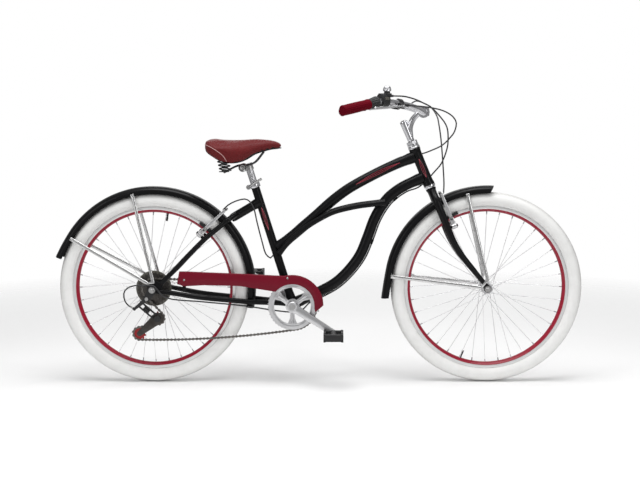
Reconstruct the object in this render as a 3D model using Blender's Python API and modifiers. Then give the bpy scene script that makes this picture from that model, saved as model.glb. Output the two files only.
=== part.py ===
"""City bicycle with full fenders, a chain guard, rim brakes and a rear derailleur.

Metres. +X is forward, +Y is the rider's left and +Z is up. The origin is on the ground, half way
between the two wheel axles. Right-hand pieces, on the chain side, have negative y.
"""
import math

import bmesh
import bpy
from mathutils import Matrix, Vector

# Clearances
GAP = 0.0003                    # between pieces that touch
RUN_GAP = 0.0005                # between a turning piece and what it turns on

# Wheels
WHEELBASE = 1.164
WHEEL_STEPS = 26
WHEEL_SPIN = math.pi / 2.0 + math.pi / WHEEL_STEPS      # sets a flat on the ground
TYRE_RADIUS = 0.334             # to the flats of the tread
TYRE_HALF_WIDTH = 0.0265
TREAD_HALF_WIDTH = 0.0080
TYRE_WALL = 0.0045
TYRE_HEIGHT = 0.0485            # above the rim
RIM_RADIUS = TYRE_RADIUS - TYRE_HEIGHT
RIM_HALF_WIDTH = 0.0150
RIM_DEPTH = 0.0200
RIM_LIP = 0.0015
RIM_WELL_DEPTH = 0.0065
SPOKES_A_SIDE = 18
SPOKE_RADIUS = 0.0011
SPOKE_STAGGER = 0.0013                      # so that crossing spokes clear each other
SPOKE_CROSSING = math.radians(60.0)
AXLE_RADIUS = 0.0048
HUB_BORE = AXLE_RADIUS + 0.0008
LOCKNUT_RADIUS = 0.0085
LOCKNUT_WIDTH = 0.0050
AXLE_NUT_RADIUS = 0.0105
AXLE_NUT_WIDTH = 0.0095
FRONT_DROPOUT_SPACE = 0.1000
REAR_DROPOUT_SPACE = 0.1300
FRONT_FLANGE_RADIUS = 0.0205
FRONT_FLANGE_OFFSET = FRONT_DROPOUT_SPACE / 2.0 - 0.0160
REAR_FLANGE_RADIUS = 0.0225
REAR_FLANGE_LEFT = REAR_DROPOUT_SPACE / 2.0 - 0.0310
FLANGE_WIDTH = 0.0050
DROPOUT_THICKNESS = 0.0055

# Frame
HEAD_ANGLE = math.radians(22.5)             # from the vertical
HEAD_LENGTH = 0.138
LOWER_CUP_HEIGHT = 0.0100
UPPER_STACK_HEIGHT = 0.0270
SEAT_ANGLE = math.radians(17.4)             # from the vertical
SEAT_TUBE_LENGTH = 0.442
CHAIN_STAY_REACH = 0.486                    # from the rear axle to the crank axle, level
CRANK_AXLE_DROP = 0.059                     # below the wheel axles
SHELL_RADIUS = 0.0205
SHELL_LENGTH = 0.0680
TOP_TUBE_RADIUS = 0.0180
LATERAL_ON_DOWN_TUBE = 0.252                # share of the down tube's length, from its front
DOWN_TUBE_RADIUS = 0.0185
LATERAL_RADIUS = 0.0095
CHAIN_STAY_RADIUS = 0.0090
SEAT_STAY_RADIUS = 0.0088
YOKE_RADIUS = 0.0155
TOP_TUBE_ON_HEAD = 0.110                    # up the head tube from its lower end
DOWN_TUBE_ON_HEAD = 0.032
TOP_TUBE_ON_SEAT = 0.202                    # up the seat tube from the crank axle
COLLAR_HEIGHT = 0.0150
COLLAR_WALL = 0.0035

# Fork and steering
CROWN_OVER_TYRE = 0.074
FORK_LENGTH = TYRE_RADIUS + CROWN_OVER_TYRE  # along the steering axis, axle to head tube
FORK_RAKE = 0.048
CROWN_GAP = 0.0120                          # from the head tube's lower end
CROWN_HEIGHT = 0.0220
BLADE_RADIUS = 0.0135
BLADE_TIP_RADIUS = 0.0085
QUILL_RADIUS = 0.0111
STEERER_BORE = QUILL_RADIUS + 0.0004
STEERER_RADIUS = STEERER_BORE + 0.0013
HEAD_BORE = STEERER_RADIUS + 0.0023
HEAD_TUBE_RADIUS = HEAD_BORE + 0.0029
QUILL_HEIGHT = 0.0750                       # from the headset to the post's top
QUILL_DEPTH = 0.0600                        # inside the steerer
BAR_FORWARD = 0.0767                        # clamp's centre, ahead of the steering axis
BAR_HEIGHT = 0.2414                         # clamp's centre, up the axis from the head tube
BAR_RADIUS = 0.0111
BAR_CLAMP_RADIUS = 0.0127
STEM_CLAMP_RADIUS = BAR_CLAMP_RADIUS + 0.0073
STEM_CLAMP_HALF_WIDTH = 0.0190
GRIP_RADIUS = BAR_RADIUS + 0.0052
GRIP_LENGTH = 0.1200

# Fenders
FENDER_RADIUS = TYRE_RADIUS + 0.0230        # over the crown
FENDER_HALF_WIDTH = TYRE_HALF_WIDTH + 0.0035
FENDER_THICKNESS = 0.0012
FENDER_STAY_RADIUS = 0.0022

# Drive
CRANK_LENGTH = 0.170
CRANK_TURN = math.radians(-32.7)            # right crank, from level ahead
RING_TEETH = 42
CHAIN_PITCH = 0.0127
CHAIN_LINE = 0.0465
CHAIN_HALF_WIDTH = 0.0032
CHAIN_PLATE = 0.0013
CHAIN_HALF_HEIGHT = 0.0040
RING_THICKNESS = 0.0030
COG_TEETH = (14, 16, 18, 20, 22, 24, 28)
COG_SPACING = 0.0050
COG_THICKNESS = 0.0018
COG_IN_USE = 2                              # index in COG_TEETH
PULLEY_TEETH = 11
PULLEY_THICKNESS = 0.0026
GUARD_THICKNESS = 0.0016
GUARD_FLANGE = 0.0100
GUARD_OFFSET = CHAIN_LINE + 0.0135          # guard's face from the centre plane
SPINDLE_RADIUS = 0.0080
CRANK_ARM_INNER = GUARD_OFFSET + GUARD_THICKNESS + 0.0039
SPINDLE_HALF_LENGTH = CRANK_ARM_INNER + 0.0085
CRANK_ARM_THICKNESS = 0.0120
CRANK_BOSS_RADIUS = 0.0190
PEDAL_AXLE_RADIUS = 0.0045
PEDAL_LENGTH = 0.0680
PEDAL_WIDTH = 0.0950
PEDAL_OFFSET = CRANK_ARM_INNER + CRANK_ARM_THICKNESS + PEDAL_WIDTH / 2.0 + 0.0050
PEDAL_HEIGHT = 0.0270

# Brakes
BRAKE_PIVOT_RADIUS = RIM_RADIUS - 0.0345    # from the wheel axle
BRAKE_PIVOT_OFFSET = RIM_HALF_WIDTH + 0.0290
BRAKE_ARM_LENGTH = 0.1120
BRAKE_ARM_AHEAD = 0.0240                    # along the stud, from the blade or stay
BRAKE_STUD_RADIUS = 0.0040
BRAKE_BOSS_RADIUS = 0.0090
BRAKE_PAD_LENGTH = 0.0600
BRAKE_PAD_HEIGHT = 0.0100
BRAKE_PAD_THICKNESS = 0.0080
BRAKE_PAD_CLEARANCE = 0.0018                # from the rim, at rest
FRONT_BRAKE_ANGLE = math.radians(123.5)     # blade, round the front axle, from level ahead
REAR_BRAKE_ANGLE = math.radians(43.7)       # stay, round the rear axle, from level ahead
FRONT_BRAKE_LEAN = math.radians(112.0)      # arm, from level ahead
REAR_BRAKE_LEAN = math.radians(43.5)

# Saddle
POST_RADIUS = 0.0127
SEAT_TUBE_BORE = POST_RADIUS + 2.0 * GAP
SEAT_TUBE_RADIUS = SEAT_TUBE_BORE + 0.0013
POST_HEIGHT = 0.0720                        # above the seat tube
POST_DEPTH = 0.1600                         # inside the seat tube
SADDLE_LENGTH = 0.2605
SADDLE_HALF_WIDTH = 0.1015
SADDLE_RAIL_RADIUS = 0.0035
SADDLE_RAIL_OFFSET = 0.0220
SPRING_COIL_RADIUS = 0.0150
SPRING_WIRE_RADIUS = 0.0024
SPRING_CURLS = 3
SPRING_OFFSET = 0.0450

# Cables
CABLE_RADIUS = 0.0025
CABLE_STOP_LENGTH = 0.0040                  # between the shift cable's two housings

# Places that follow from the sizes
FORWARD = Vector((1.0, 0.0, 0.0))
LEFT = Vector((0.0, 1.0, 0.0))
UP = Vector((0.0, 0.0, 1.0))
REAR = Vector((-WHEELBASE / 2.0, 0.0, TYRE_RADIUS))
FRONT = Vector((WHEELBASE / 2.0, 0.0, TYRE_RADIUS))
STEER_UP = Vector((-math.sin(HEAD_ANGLE), 0.0, math.cos(HEAD_ANGLE)))
STEER_OUT = Vector((math.cos(HEAD_ANGLE), 0.0, math.sin(HEAD_ANGLE)))
HEAD_BASE = FRONT + STEER_UP * FORK_LENGTH - STEER_OUT * FORK_RAKE
CRANK_AXLE = REAR + FORWARD * CHAIN_STAY_REACH - UP * CRANK_AXLE_DROP
SEAT_UP = Vector((-math.sin(SEAT_ANGLE), 0.0, math.cos(SEAT_ANGLE)))
SEAT_TOP = CRANK_AXLE + SEAT_UP * SEAT_TUBE_LENGTH

RIGHT_SIDE = -1.0
LEFT_SIDE = 1.0
SIDES = (("right", RIGHT_SIDE), ("left", LEFT_SIDE))


def pitch_radius(teeth):
    """Radius of the circle that the chain's pins follow."""
    return CHAIN_PITCH / (2.0 * math.sin(math.pi / teeth))


RING_PITCH_RADIUS = pitch_radius(RING_TEETH)
COG_PITCH_RADIUS = pitch_radius(COG_TEETH[COG_IN_USE])
PULLEY_PITCH_RADIUS = pitch_radius(PULLEY_TEETH)
FREEWHEEL_OUTER = CHAIN_LINE + COG_SPACING * COG_IN_USE     # smallest sprocket's middle
FREEWHEEL_INNER = FREEWHEEL_OUTER - COG_SPACING * (len(COG_TEETH) - 1)
GUARD_DISC_GAP = 0.0030
GUARD_DISC_THICKNESS = 0.0010
REAR_FLANGE_RIGHT = (
    FREEWHEEL_INNER - GUARD_DISC_GAP - GUARD_DISC_THICKNESS - 2.0 * GAP - FLANGE_WIDTH / 2.0
)

for item in list(bpy.data.objects):
    bpy.data.objects.remove(item, do_unlink=True)

PARTS = bpy.data.collections.new("bicycle")
CUTTERS = bpy.data.collections.new("cutters")
bpy.context.scene.collection.children.link(PARTS)
bpy.context.scene.collection.children.link(CUTTERS)


# Materials
def make_material(name, colour, roughness, metallic):
    """A Principled material with one colour."""
    material = bpy.data.materials.new(name)
    material.use_nodes = True
    shader = material.node_tree.nodes["Principled BSDF"]
    shader.inputs["Base Color"].default_value = (*colour, 1.0)
    shader.inputs["Roughness"].default_value = roughness
    shader.inputs["Metallic"].default_value = metallic
    return material


BLACK_PAINT = make_material("black_paint", (0.010, 0.010, 0.012), 0.25, 0.0)
DARK_METAL = make_material("dark_metal", (0.035, 0.033, 0.032), 0.45, 0.8)
CHROME = make_material("chrome", (0.72, 0.72, 0.74), 0.12, 1.0)
ALUMINIUM = make_material("aluminium", (0.62, 0.62, 0.64), 0.32, 1.0)
STEEL = make_material("steel", (0.52, 0.52, 0.54), 0.30, 1.0)
CREAM_TYRE = make_material("cream_tyre", (0.72, 0.68, 0.58), 0.75, 0.0)
RIM_PAINT = make_material("rim_paint", (0.20, 0.012, 0.018), 0.30, 0.2)
RED_GUARD = make_material("red_guard", (0.16, 0.008, 0.014), 0.28, 0.0)
RED_VINYL = make_material("red_vinyl", (0.22, 0.022, 0.018), 0.50, 0.0)
RED_RUBBER = make_material("red_rubber", (0.16, 0.006, 0.012), 0.60, 0.0)
RED_PLASTIC = make_material("red_plastic", (0.45, 0.012, 0.012), 0.45, 0.0)
BLACK_PLASTIC = make_material("black_plastic", (0.012, 0.012, 0.013), 0.50, 0.0)
CABLE_HOUSING = make_material("cable_housing", (0.020, 0.020, 0.022), 0.45, 0.0)


# Modelling helpers
def link(name, data, material, cutter=False):
    """Put a mesh or a curve into the scene as a named object."""
    data.materials.append(material)
    item = bpy.data.objects.new(name, data)
    PARTS.objects.link(item)
    if cutter:
        set_aside(item)
    return item


def set_aside(item):
    """Make an object a guide or a cutter, which is no part of the bicycle."""
    PARTS.objects.unlink(item)
    CUTTERS.objects.link(item)
    item.hide_render = True
    item.display_type = "WIRE"


def aim(item, centre, direction, spin=0.0):
    """Stand an object's own Z axis along a direction, at a place."""
    turn = direction.to_track_quat("Z", "Y").to_matrix().to_4x4()
    item.matrix_world = Matrix.Translation(centre) @ turn @ Matrix.Rotation(spin, 4, "Z")
    return item


def smooth(mesh, angle=40.0):
    """Shade a mesh smooth, with its edges kept sharp."""
    mesh.shade_smooth()
    mesh.set_sharp_from_angle(angle=math.radians(angle))


def turned(name, profile, steps, centre, direction, material, loop=False, spin=0.0):
    """Turn a profile of (radius, height) points, listed downward, round a direction."""
    mesh = bpy.data.meshes.new(name)
    count = len(profile)
    edges = [(index, index + 1) for index in range(count - 1)]
    if loop:
        edges.append((count - 1, 0))
    mesh.from_pydata([(radius, 0.0, height) for radius, height in profile], edges, [])
    item = link(name, mesh, material)
    screw = item.modifiers.new("Screw", "SCREW")
    screw.steps = steps
    screw.render_steps = steps
    screw.use_merge_vertices = True
    screw.merge_threshold = 0.00005
    return aim(item, centre, direction, spin)


def rod(name, start, end, radius, material, sides=12):
    """A solid round bar between two points."""
    length = (end - start).length
    shape = bmesh.new()
    bmesh.ops.create_cone(
        shape, cap_ends=True, segments=sides, radius1=radius, radius2=radius, depth=length
    )
    mesh = bpy.data.meshes.new(name)
    shape.to_mesh(mesh)
    shape.free()
    smooth(mesh)
    item = link(name, mesh, material)
    return aim(item, (start + end) / 2.0, end - start)


def block(name, centre, size, material, direction=UP):
    """A box of (x, y, z) size, with its Z axis along a direction."""
    shape = bmesh.new()
    bmesh.ops.create_cube(shape, size=1.0)
    bmesh.ops.scale(shape, vec=size, verts=shape.verts)
    mesh = bpy.data.meshes.new(name)
    shape.to_mesh(mesh)
    shape.free()
    item = link(name, mesh, material)
    return aim(item, centre, direction)


def upright_block(name, centre, size, along, material):
    """A box of (along, y, across) size, with one side along a direction in the centre plane."""
    across = along.cross(LEFT).normalized()
    turn = Matrix((along.normalized(), LEFT, across)).transposed().to_4x4()
    item = block(name, Vector(), size, material)
    item.matrix_world = Matrix.Translation(centre) @ turn
    return item


def tube(name, points, radii, material, sides=10):
    """A round tube through points, as a curve object. Radii is one size, or one for each point."""
    curve = bpy.data.curves.new(name, "CURVE")
    curve.dimensions = "3D"
    curve.bevel_depth = 1.0
    curve.bevel_resolution = (sides - 4) // 2
    curve.use_fill_caps = True
    spline = curve.splines.new("POLY")
    spline.points.add(len(points) - 1)
    for index, point in enumerate(points):
        radius = radii[index] if isinstance(radii, (list, tuple)) else radii
        spline.points[index].co = (*point, 1.0)
        spline.points[index].radius = radius
        spline.points[index].tilt = 0.0
    return link(name, curve, material)


def plate(name, outlines, middle, thickness, material):
    """A flat plate in the wheels' plane. Each outline is a list of (x, z); the first is the edge."""
    curve = bpy.data.curves.new(name, "CURVE")
    curve.dimensions = "2D"
    curve.fill_mode = "BOTH"
    curve.extrude = thickness / 2.0
    for outline in outlines:
        spline = curve.splines.new("POLY")
        spline.points.add(len(outline) - 1)
        for index, (x, z) in enumerate(outline):
            spline.points[index].co = (x, z, 0.0, 1.0)
        spline.use_cyclic_u = True
    item = link(name, curve, material)
    item.matrix_world = Matrix.Translation((0.0, middle, 0.0)) @ Matrix.Rotation(
        math.pi / 2.0, 4, "X"
    )
    return item


def as_mesh(item):
    """Turn a curve object into a mesh object of the same name, with its caps welded."""
    bpy.context.view_layer.update()
    evaluated = item.evaluated_get(bpy.context.evaluated_depsgraph_get())
    mesh = bpy.data.meshes.new_from_object(evaluated)
    shape = bmesh.new()
    shape.from_mesh(mesh)
    bmesh.ops.remove_doubles(shape, verts=shape.verts, dist=0.00001)
    shape.to_mesh(mesh)
    shape.free()
    name = item.name
    place = item.matrix_world.copy()
    bpy.data.objects.remove(item, do_unlink=True)
    mesh.name = name
    solid = bpy.data.objects.new(name, mesh)
    PARTS.objects.link(solid)
    solid.matrix_world = place
    smooth(mesh)
    return solid


def boolean(item, other, operation):
    """Join another object to a mesh object, or cut it away. The other becomes a guide."""
    modifier = item.modifiers.new(operation.title(), "BOOLEAN")
    modifier.operation = operation
    modifier.solver = "EXACT"
    modifier.object = other
    if other.name in PARTS.objects:
        set_aside(other)
    return item


def joined(item, *others):
    """Unite a mesh object with others."""
    for other in others:
        boolean(item, other, "UNION")
    return item


def cut(item, *others):
    """Cut others out of a mesh object."""
    for other in others:
        boolean(item, other, "DIFFERENCE")
    return item


def joint(name, centre, parent=None):
    """An empty on a joint's axis, which carries the pieces that move with it."""
    empty = bpy.data.objects.new(name, None)
    PARTS.objects.link(empty)
    empty.empty_display_size = 0.03
    empty.matrix_world = Matrix.Translation(centre)
    if parent:
        carry(parent, empty)
    return empty


def carry(carrier, *items):
    """Parent pieces to a joint's empty, without moving them."""
    bpy.context.view_layer.update()
    for item in items:
        place = item.matrix_world.copy()
        item.parent = carrier
        item.matrix_parent_inverse = carrier.matrix_world.inverted()
        item.matrix_world = place


def smooth_route(points, spacing):
    """Points at an even spacing along a smooth curve through the given points."""
    points = [Vector(point) for point in points]
    before = points[0] * 2.0 - points[1]
    after = points[-1] * 2.0 - points[-2]
    padded = [before, *points, after]
    route = [points[0].copy()]
    for index in range(1, len(padded) - 2):
        p0, p1, p2, p3 = padded[index - 1:index + 3]
        span = (p2 - p1).length
        slope1 = (p2 - p0) * (span / ((p1 - p0).length + span))
        slope2 = (p3 - p1) * (span / (span + (p3 - p2).length))
        steps = max(1, round(span / spacing))
        for step in range(1, steps + 1):
            t = step / steps
            route.append(
                p1 * (2.0 * t ** 3 - 3.0 * t ** 2 + 1.0)
                + slope1 * (t ** 3 - 2.0 * t ** 2 + t)
                + p2 * (3.0 * t ** 2 - 2.0 * t ** 3)
                + slope2 * (t ** 3 - t ** 2)
            )
    return route


def bowed(start, end, bows):
    """Points from start to end. Each bow is (share of the way, rise off the straight line)."""
    along = end - start
    across = along.cross(LEFT).normalized()
    if across.z < 0.0:
        across = -across
    return [start, *[start + along * share + across * rise for share, rise in bows], end]


def at(x, y, z):
    """A point as a vector."""
    return Vector((x, y, z))


def around(centre, radius, angle, y=0.0):
    """A point on a circle in the wheels' plane."""
    return centre + at(radius * math.cos(angle), y, radius * math.sin(angle))


def arc(centre, radius, start, end, steps):
    """(x, z) points along an arc, angles in radians from level ahead."""
    angles = [start + (end - start) * step / steps for step in range(steps + 1)]
    return [
        (centre.x + radius * math.cos(angle), centre.z + radius * math.sin(angle))
        for angle in angles
    ]


def both_ways(half):
    """A half profile followed by its mirror image, in reverse."""
    return half + [(radius, -height) for radius, height in reversed(half)]


def clear_of(radius, steps):
    """Radius of a many-sided bore whose flats clear a round piece."""
    return (radius + GAP) / math.cos(math.pi / steps)


# Wheels
def make_tyre(name, hub):
    """An open tyre, with its beads inside the rim's walls."""
    bead = RIM_HALF_WIDTH - RIM_LIP - 0.0017
    tread = TYRE_RADIUS / math.cos(math.pi / WHEEL_STEPS)
    outside = [
        (RIM_RADIUS - 0.0050, bead),
        (RIM_RADIUS + 0.0015, bead + 0.0012),
        (RIM_RADIUS + 0.45 * TYRE_HEIGHT, TYRE_HALF_WIDTH),
        (tread, TREAD_HALF_WIDTH),
    ]
    inside = [
        (TYRE_RADIUS - 2.0 * TYRE_WALL, 0.58 * TYRE_HALF_WIDTH),
        (RIM_RADIUS - 0.0050, bead - 0.0028),
    ]
    profile = both_ways(outside) + [
        (radius, -height) for radius, height in reversed(inside)
    ] + inside
    return turned(name, profile, WHEEL_STEPS, hub, LEFT, CREAM_TYRE, loop=True, spin=WHEEL_SPIN)


def make_rim(name, hub):
    """A double-walled rim's outline, with machined sides for the brakes."""
    inner = RIM_RADIUS - RIM_DEPTH
    waist = RIM_RADIUS - 0.0090
    well = RIM_HALF_WIDTH - RIM_LIP
    profile = [
        (RIM_RADIUS, RIM_HALF_WIDTH),
        (RIM_RADIUS, well),
        (RIM_RADIUS - RIM_WELL_DEPTH, well - 0.0003),
        (RIM_RADIUS - RIM_WELL_DEPTH, 0.0003 - well),
        (RIM_RADIUS, -well),
        (RIM_RADIUS, -RIM_HALF_WIDTH),
        (waist, -RIM_HALF_WIDTH),
        (inner, 0.0065 - RIM_HALF_WIDTH),
        (inner, RIM_HALF_WIDTH - 0.0065),
        (waist, RIM_HALF_WIDTH),
    ]
    return turned(name, profile, WHEEL_STEPS, hub, LEFT, RIM_PAINT, loop=True, spin=WHEEL_SPIN)


def make_spokes(name, hub, flanges, flange_radius, ends, barrel_radius):
    """A hub shell with crossed spokes. Flanges and ends are y offsets, left first."""
    left, right = flanges
    half = FLANGE_WIDTH / 2.0
    shoulder = barrel_radius + 0.0015
    profile = [
        (HUB_BORE, ends[0]),
        (shoulder, ends[0]),
        (shoulder, left + half),
        (flange_radius, left + half),
        (flange_radius, left - half),
        (barrel_radius, left - half - 0.0025),
        (barrel_radius, right + half + 0.0025),
        (flange_radius, right + half),
        (flange_radius, right - half),
        (shoulder, right - half),
        (shoulder, ends[1]),
        (HUB_BORE, ends[1]),
    ]
    item = turned(name, profile, 12, hub, LEFT, STEEL, loop=True)
    shape = bmesh.new()
    tip_radius = (RIM_RADIUS - RIM_DEPTH) * math.cos(math.pi / WHEEL_STEPS) - 0.0010
    step = 2.0 * math.pi / SPOKES_A_SIDE
    for side, flange in enumerate(flanges):
        for index in range(SPOKES_A_SIDE):
            turn = (index + side * 0.5) * step
            outward = 1.0 if index % 2 == 0 else -1.0
            root_y = flange + outward * SPOKE_STAGGER
            root = around(hub, flange_radius - 0.0030, turn, root_y)
            tip_y = math.copysign(0.0020, flange) + outward * SPOKE_STAGGER
            tip = around(hub, tip_radius, turn + outward * SPOKE_CROSSING, tip_y)
            along = tip - root
            place = Matrix.Translation((root + tip) / 2.0)
            place = place @ along.to_track_quat("Z", "Y").to_matrix().to_4x4()
            bmesh.ops.create_cone(
                shape,
                cap_ends=True,
                segments=3,
                radius1=SPOKE_RADIUS,
                radius2=SPOKE_RADIUS,
                depth=along.length,
                matrix=place,
            )
    mesh = bpy.data.meshes.new(name + "_wires")
    shape.to_mesh(mesh)
    shape.free()
    wires = link(name + "_wires", mesh, STEEL)
    return joined(item, wires)


def make_axle(name, hub, inner, outers):
    """An axle with locknuts inside the dropouts and nuts outside. Outers are y, right then left."""
    right, left = outers
    nut_right = right - GAP
    nut_left = left + GAP
    profile = [
        (0.0, nut_left + AXLE_NUT_WIDTH),
        (AXLE_NUT_RADIUS - 0.0030, nut_left + AXLE_NUT_WIDTH),
        (AXLE_NUT_RADIUS, nut_left),
        (AXLE_RADIUS, nut_left),
        (AXLE_RADIUS, inner - GAP),
        (LOCKNUT_RADIUS, inner - GAP),
        (LOCKNUT_RADIUS, inner - LOCKNUT_WIDTH),
        (AXLE_RADIUS, inner - LOCKNUT_WIDTH),
        (AXLE_RADIUS, LOCKNUT_WIDTH - inner),
        (LOCKNUT_RADIUS, LOCKNUT_WIDTH - inner),
        (LOCKNUT_RADIUS, GAP - inner),
        (AXLE_RADIUS, GAP - inner),
        (AXLE_RADIUS, nut_right),
        (AXLE_NUT_RADIUS, nut_right),
        (AXLE_NUT_RADIUS - 0.0030, nut_right - AXLE_NUT_WIDTH),
        (0.0, nut_right - AXLE_NUT_WIDTH),
    ]
    return turned(name, profile, 8, hub, LEFT, STEEL)


# Frame
def make_head_tube():
    """The head tube, with the bearing cups pressed into it."""
    top = HEAD_LENGTH + UPPER_STACK_HEIGHT
    cup = HEAD_TUBE_RADIUS + 0.0025
    mouth = clear_of(STEERER_RADIUS, 12)
    profile = [
        (mouth, top),
        (mouth + 0.0020, top),
        (cup - 0.0045, HEAD_LENGTH + 0.0100),
        (cup, HEAD_LENGTH + 0.0080),
        (cup, HEAD_LENGTH),
        (HEAD_TUBE_RADIUS, HEAD_LENGTH),
        (HEAD_TUBE_RADIUS, 0.0),
        (cup, 0.0),
        (cup - 0.0030, -LOWER_CUP_HEIGHT),
        (HEAD_BORE, -LOWER_CUP_HEIGHT),
        (HEAD_BORE, top - 0.0060),
        (mouth, top - 0.0050),
    ]
    return turned("head_tube", profile, 12, HEAD_BASE, STEER_UP, BLACK_PAINT, loop=True)


def head_cutter(name):
    """The head tube's outer space, which the frame's tubes stop at."""
    start = HEAD_BASE - STEER_UP * 0.02
    end = HEAD_BASE + STEER_UP * (HEAD_LENGTH - GAP)
    return rod(name, start, end, HEAD_TUBE_RADIUS + GAP, BLACK_PAINT, 36)


def seat_cutter(name):
    """The seat tube's outer space."""
    start = CRANK_AXLE
    return rod(name, start, SEAT_TOP + SEAT_UP * 0.02, SEAT_TUBE_RADIUS + GAP, BLACK_PAINT, 24)


def shell_cutter(name):
    """The crank shell's outer space."""
    reach = LEFT * SHELL_LENGTH
    return rod(name, CRANK_AXLE - reach, CRANK_AXLE + reach, SHELL_RADIUS + GAP, BLACK_PAINT, 32)


def top_tube_route():
    """The arched top tube's centre line, from the head tube to the seat tube."""
    start = HEAD_BASE + STEER_UP * TOP_TUBE_ON_HEAD
    end = CRANK_AXLE + SEAT_UP * TOP_TUBE_ON_SEAT
    bows = [(0.15, 0.0185), (0.28, 0.0290), (0.42, 0.0360), (0.50, 0.0355), (0.58, 0.0310),
            (0.69, 0.0210), (0.84, 0.0090)]
    return smooth_route(bowed(start, end, bows), 0.060)


def down_tube_route():
    """The S-shaped down tube's centre line, from the head tube to the crank axle."""
    start = HEAD_BASE + STEER_UP * DOWN_TUBE_ON_HEAD
    bows = [(0.12, 0.0285), (0.21, 0.0375), (0.28, 0.0325), (0.36, 0.0170), (0.45, -0.0110),
            (0.55, -0.0390), (0.65, -0.0505), (0.75, -0.0500), (0.85, -0.0335)]
    return smooth_route(bowed(start, CRANK_AXLE, bows), 0.060)


def make_top_tube():
    """The top tube, mitred to the head tube and the seat tube."""
    item = as_mesh(tube("top_tube", top_tube_route(), TOP_TUBE_RADIUS, BLACK_PAINT, 10))
    return cut(item, head_cutter("top_tube_front_mitre"), seat_cutter("top_tube_rear_mitre"))


def make_down_tube():
    """The down tube, mitred to the head tube, the seat tube and the crank shell."""
    item = as_mesh(tube("down_tube", down_tube_route(), DOWN_TUBE_RADIUS, BLACK_PAINT, 10))
    return cut(
        item,
        head_cutter("down_tube_front_mitre"),
        seat_cutter("down_tube_rear_mitre"),
        shell_cutter("down_tube_shell_mitre"),
    )


def point_along(route, share):
    """The point at a share of a route's length."""
    lengths = [(after - before).length for before, after in zip(route, route[1:])]
    left = share * sum(lengths)
    for before, after, length in zip(route, route[1:], lengths):
        if left <= length:
            return before.lerp(after, left / length)
        left -= length
    return route[-1].copy()


def make_lateral_tubes():
    """Twin tubes that pass either side of the down tube and the top tube to the seat tube."""
    front = point_along(down_tube_route(), LATERAL_ON_DOWN_TUBE)
    rear = CRANK_AXLE + SEAT_UP * (TOP_TUBE_ON_SEAT - 0.012) + FORWARD * 0.0100
    bows = [(0.10, 0.0140), (0.21, 0.0288), (0.325, 0.0408), (0.44, 0.0486), (0.57, 0.0475),
            (0.68, 0.0424), (0.80, 0.0307), (0.90, 0.0184)]
    middle = smooth_route(bowed(front, rear, bows), 0.070)
    beside_tubes = DOWN_TUBE_RADIUS + LATERAL_RADIUS + GAP
    beside_seat = SEAT_TUBE_RADIUS + LATERAL_RADIUS + GAP
    sides = []
    for label, side in SIDES:
        route = []
        for index, point in enumerate(middle):
            share = max(0.0, index / (len(middle) - 1) - 0.80) / 0.20
            offset = beside_tubes + (beside_seat - beside_tubes) * share
            route.append(point + LEFT * side * offset)
        name = "lateral_tubes" if side < 0.0 else "lateral_tube_" + label
        sides.append(as_mesh(tube(name, route, LATERAL_RADIUS, BLACK_PAINT, 8)))
    crossing = point_along(middle, 0.42)
    bridge = rod(
        "lateral_bridge",
        crossing - LEFT * beside_tubes,
        crossing + LEFT * beside_tubes,
        0.0050,
        BLACK_PAINT,
        8,
    )
    return joined(sides[0], sides[1], bridge)


def make_seat_tube():
    """The seat tube, with the crank shell across its foot."""
    item = rod("seat_tube", CRANK_AXLE, SEAT_TOP, SEAT_TUBE_RADIUS, BLACK_PAINT, 14)
    half = LEFT * SHELL_LENGTH / 2.0
    shell = rod("crank_shell", CRANK_AXLE - half, CRANK_AXLE + half, SHELL_RADIUS, BLACK_PAINT, 16)
    bore_start = CRANK_AXLE + SEAT_UP * 0.030
    bore_end = SEAT_TOP + SEAT_UP * 0.01
    post_bore = rod("post_bore", bore_start, bore_end, SEAT_TUBE_BORE, BLACK_PAINT, 16)
    spindle_bore = rod(
        "spindle_bore",
        CRANK_AXLE - half * 1.2,
        CRANK_AXLE + half * 1.2,
        SPINDLE_RADIUS + RUN_GAP,
        BLACK_PAINT,
        12,
    )
    joined(item, shell)
    return cut(item, spindle_bore, post_bore)


COLLAR_RADIUS = clear_of(SEAT_TUBE_RADIUS, 12) + COLLAR_WALL


def make_seat_collar():
    """The quick-release collar round the top of the seat tube, with its ears behind."""
    inner = COLLAR_RADIUS - COLLAR_WALL
    outer = COLLAR_RADIUS
    low = SEAT_TOP - SEAT_UP * (COLLAR_HEIGHT - 0.0030)
    lip = clear_of(POST_RADIUS, 12)
    profile = [
        (lip, COLLAR_HEIGHT),
        (outer, COLLAR_HEIGHT),
        (outer, 0.0),
        (inner, 0.0),
        (inner, COLLAR_HEIGHT - 0.0030 + GAP),
        (lip, COLLAR_HEIGHT - 0.0030 + GAP),
    ]
    item = turned("seat_collar", profile, 12, low, SEAT_UP, STEEL, loop=True)
    back = SEAT_UP.cross(LEFT)
    if back.x > 0.0:
        back = -back
    middle = low + SEAT_UP * COLLAR_HEIGHT / 2.0 + back * (outer + 0.0035)
    ears = upright_block(
        "collar_ears", middle, (0.0110, 0.0150, COLLAR_HEIGHT - 0.0030), back, STEEL
    )
    hole = rod(
        "collar_bolt_hole",
        middle + back * 0.0010 - LEFT * 0.03,
        middle + back * 0.0010 + LEFT * 0.03,
        0.0030,
        STEEL,
        10,
    )
    joined(item, ears)
    return cut(item, hole)


def round_hole(centre, radius, steps=10):
    """(x, z) points of a round hole."""
    return arc(centre, radius, 0.0, 2.0 * math.pi * (steps - 1) / steps, steps - 1)


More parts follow.
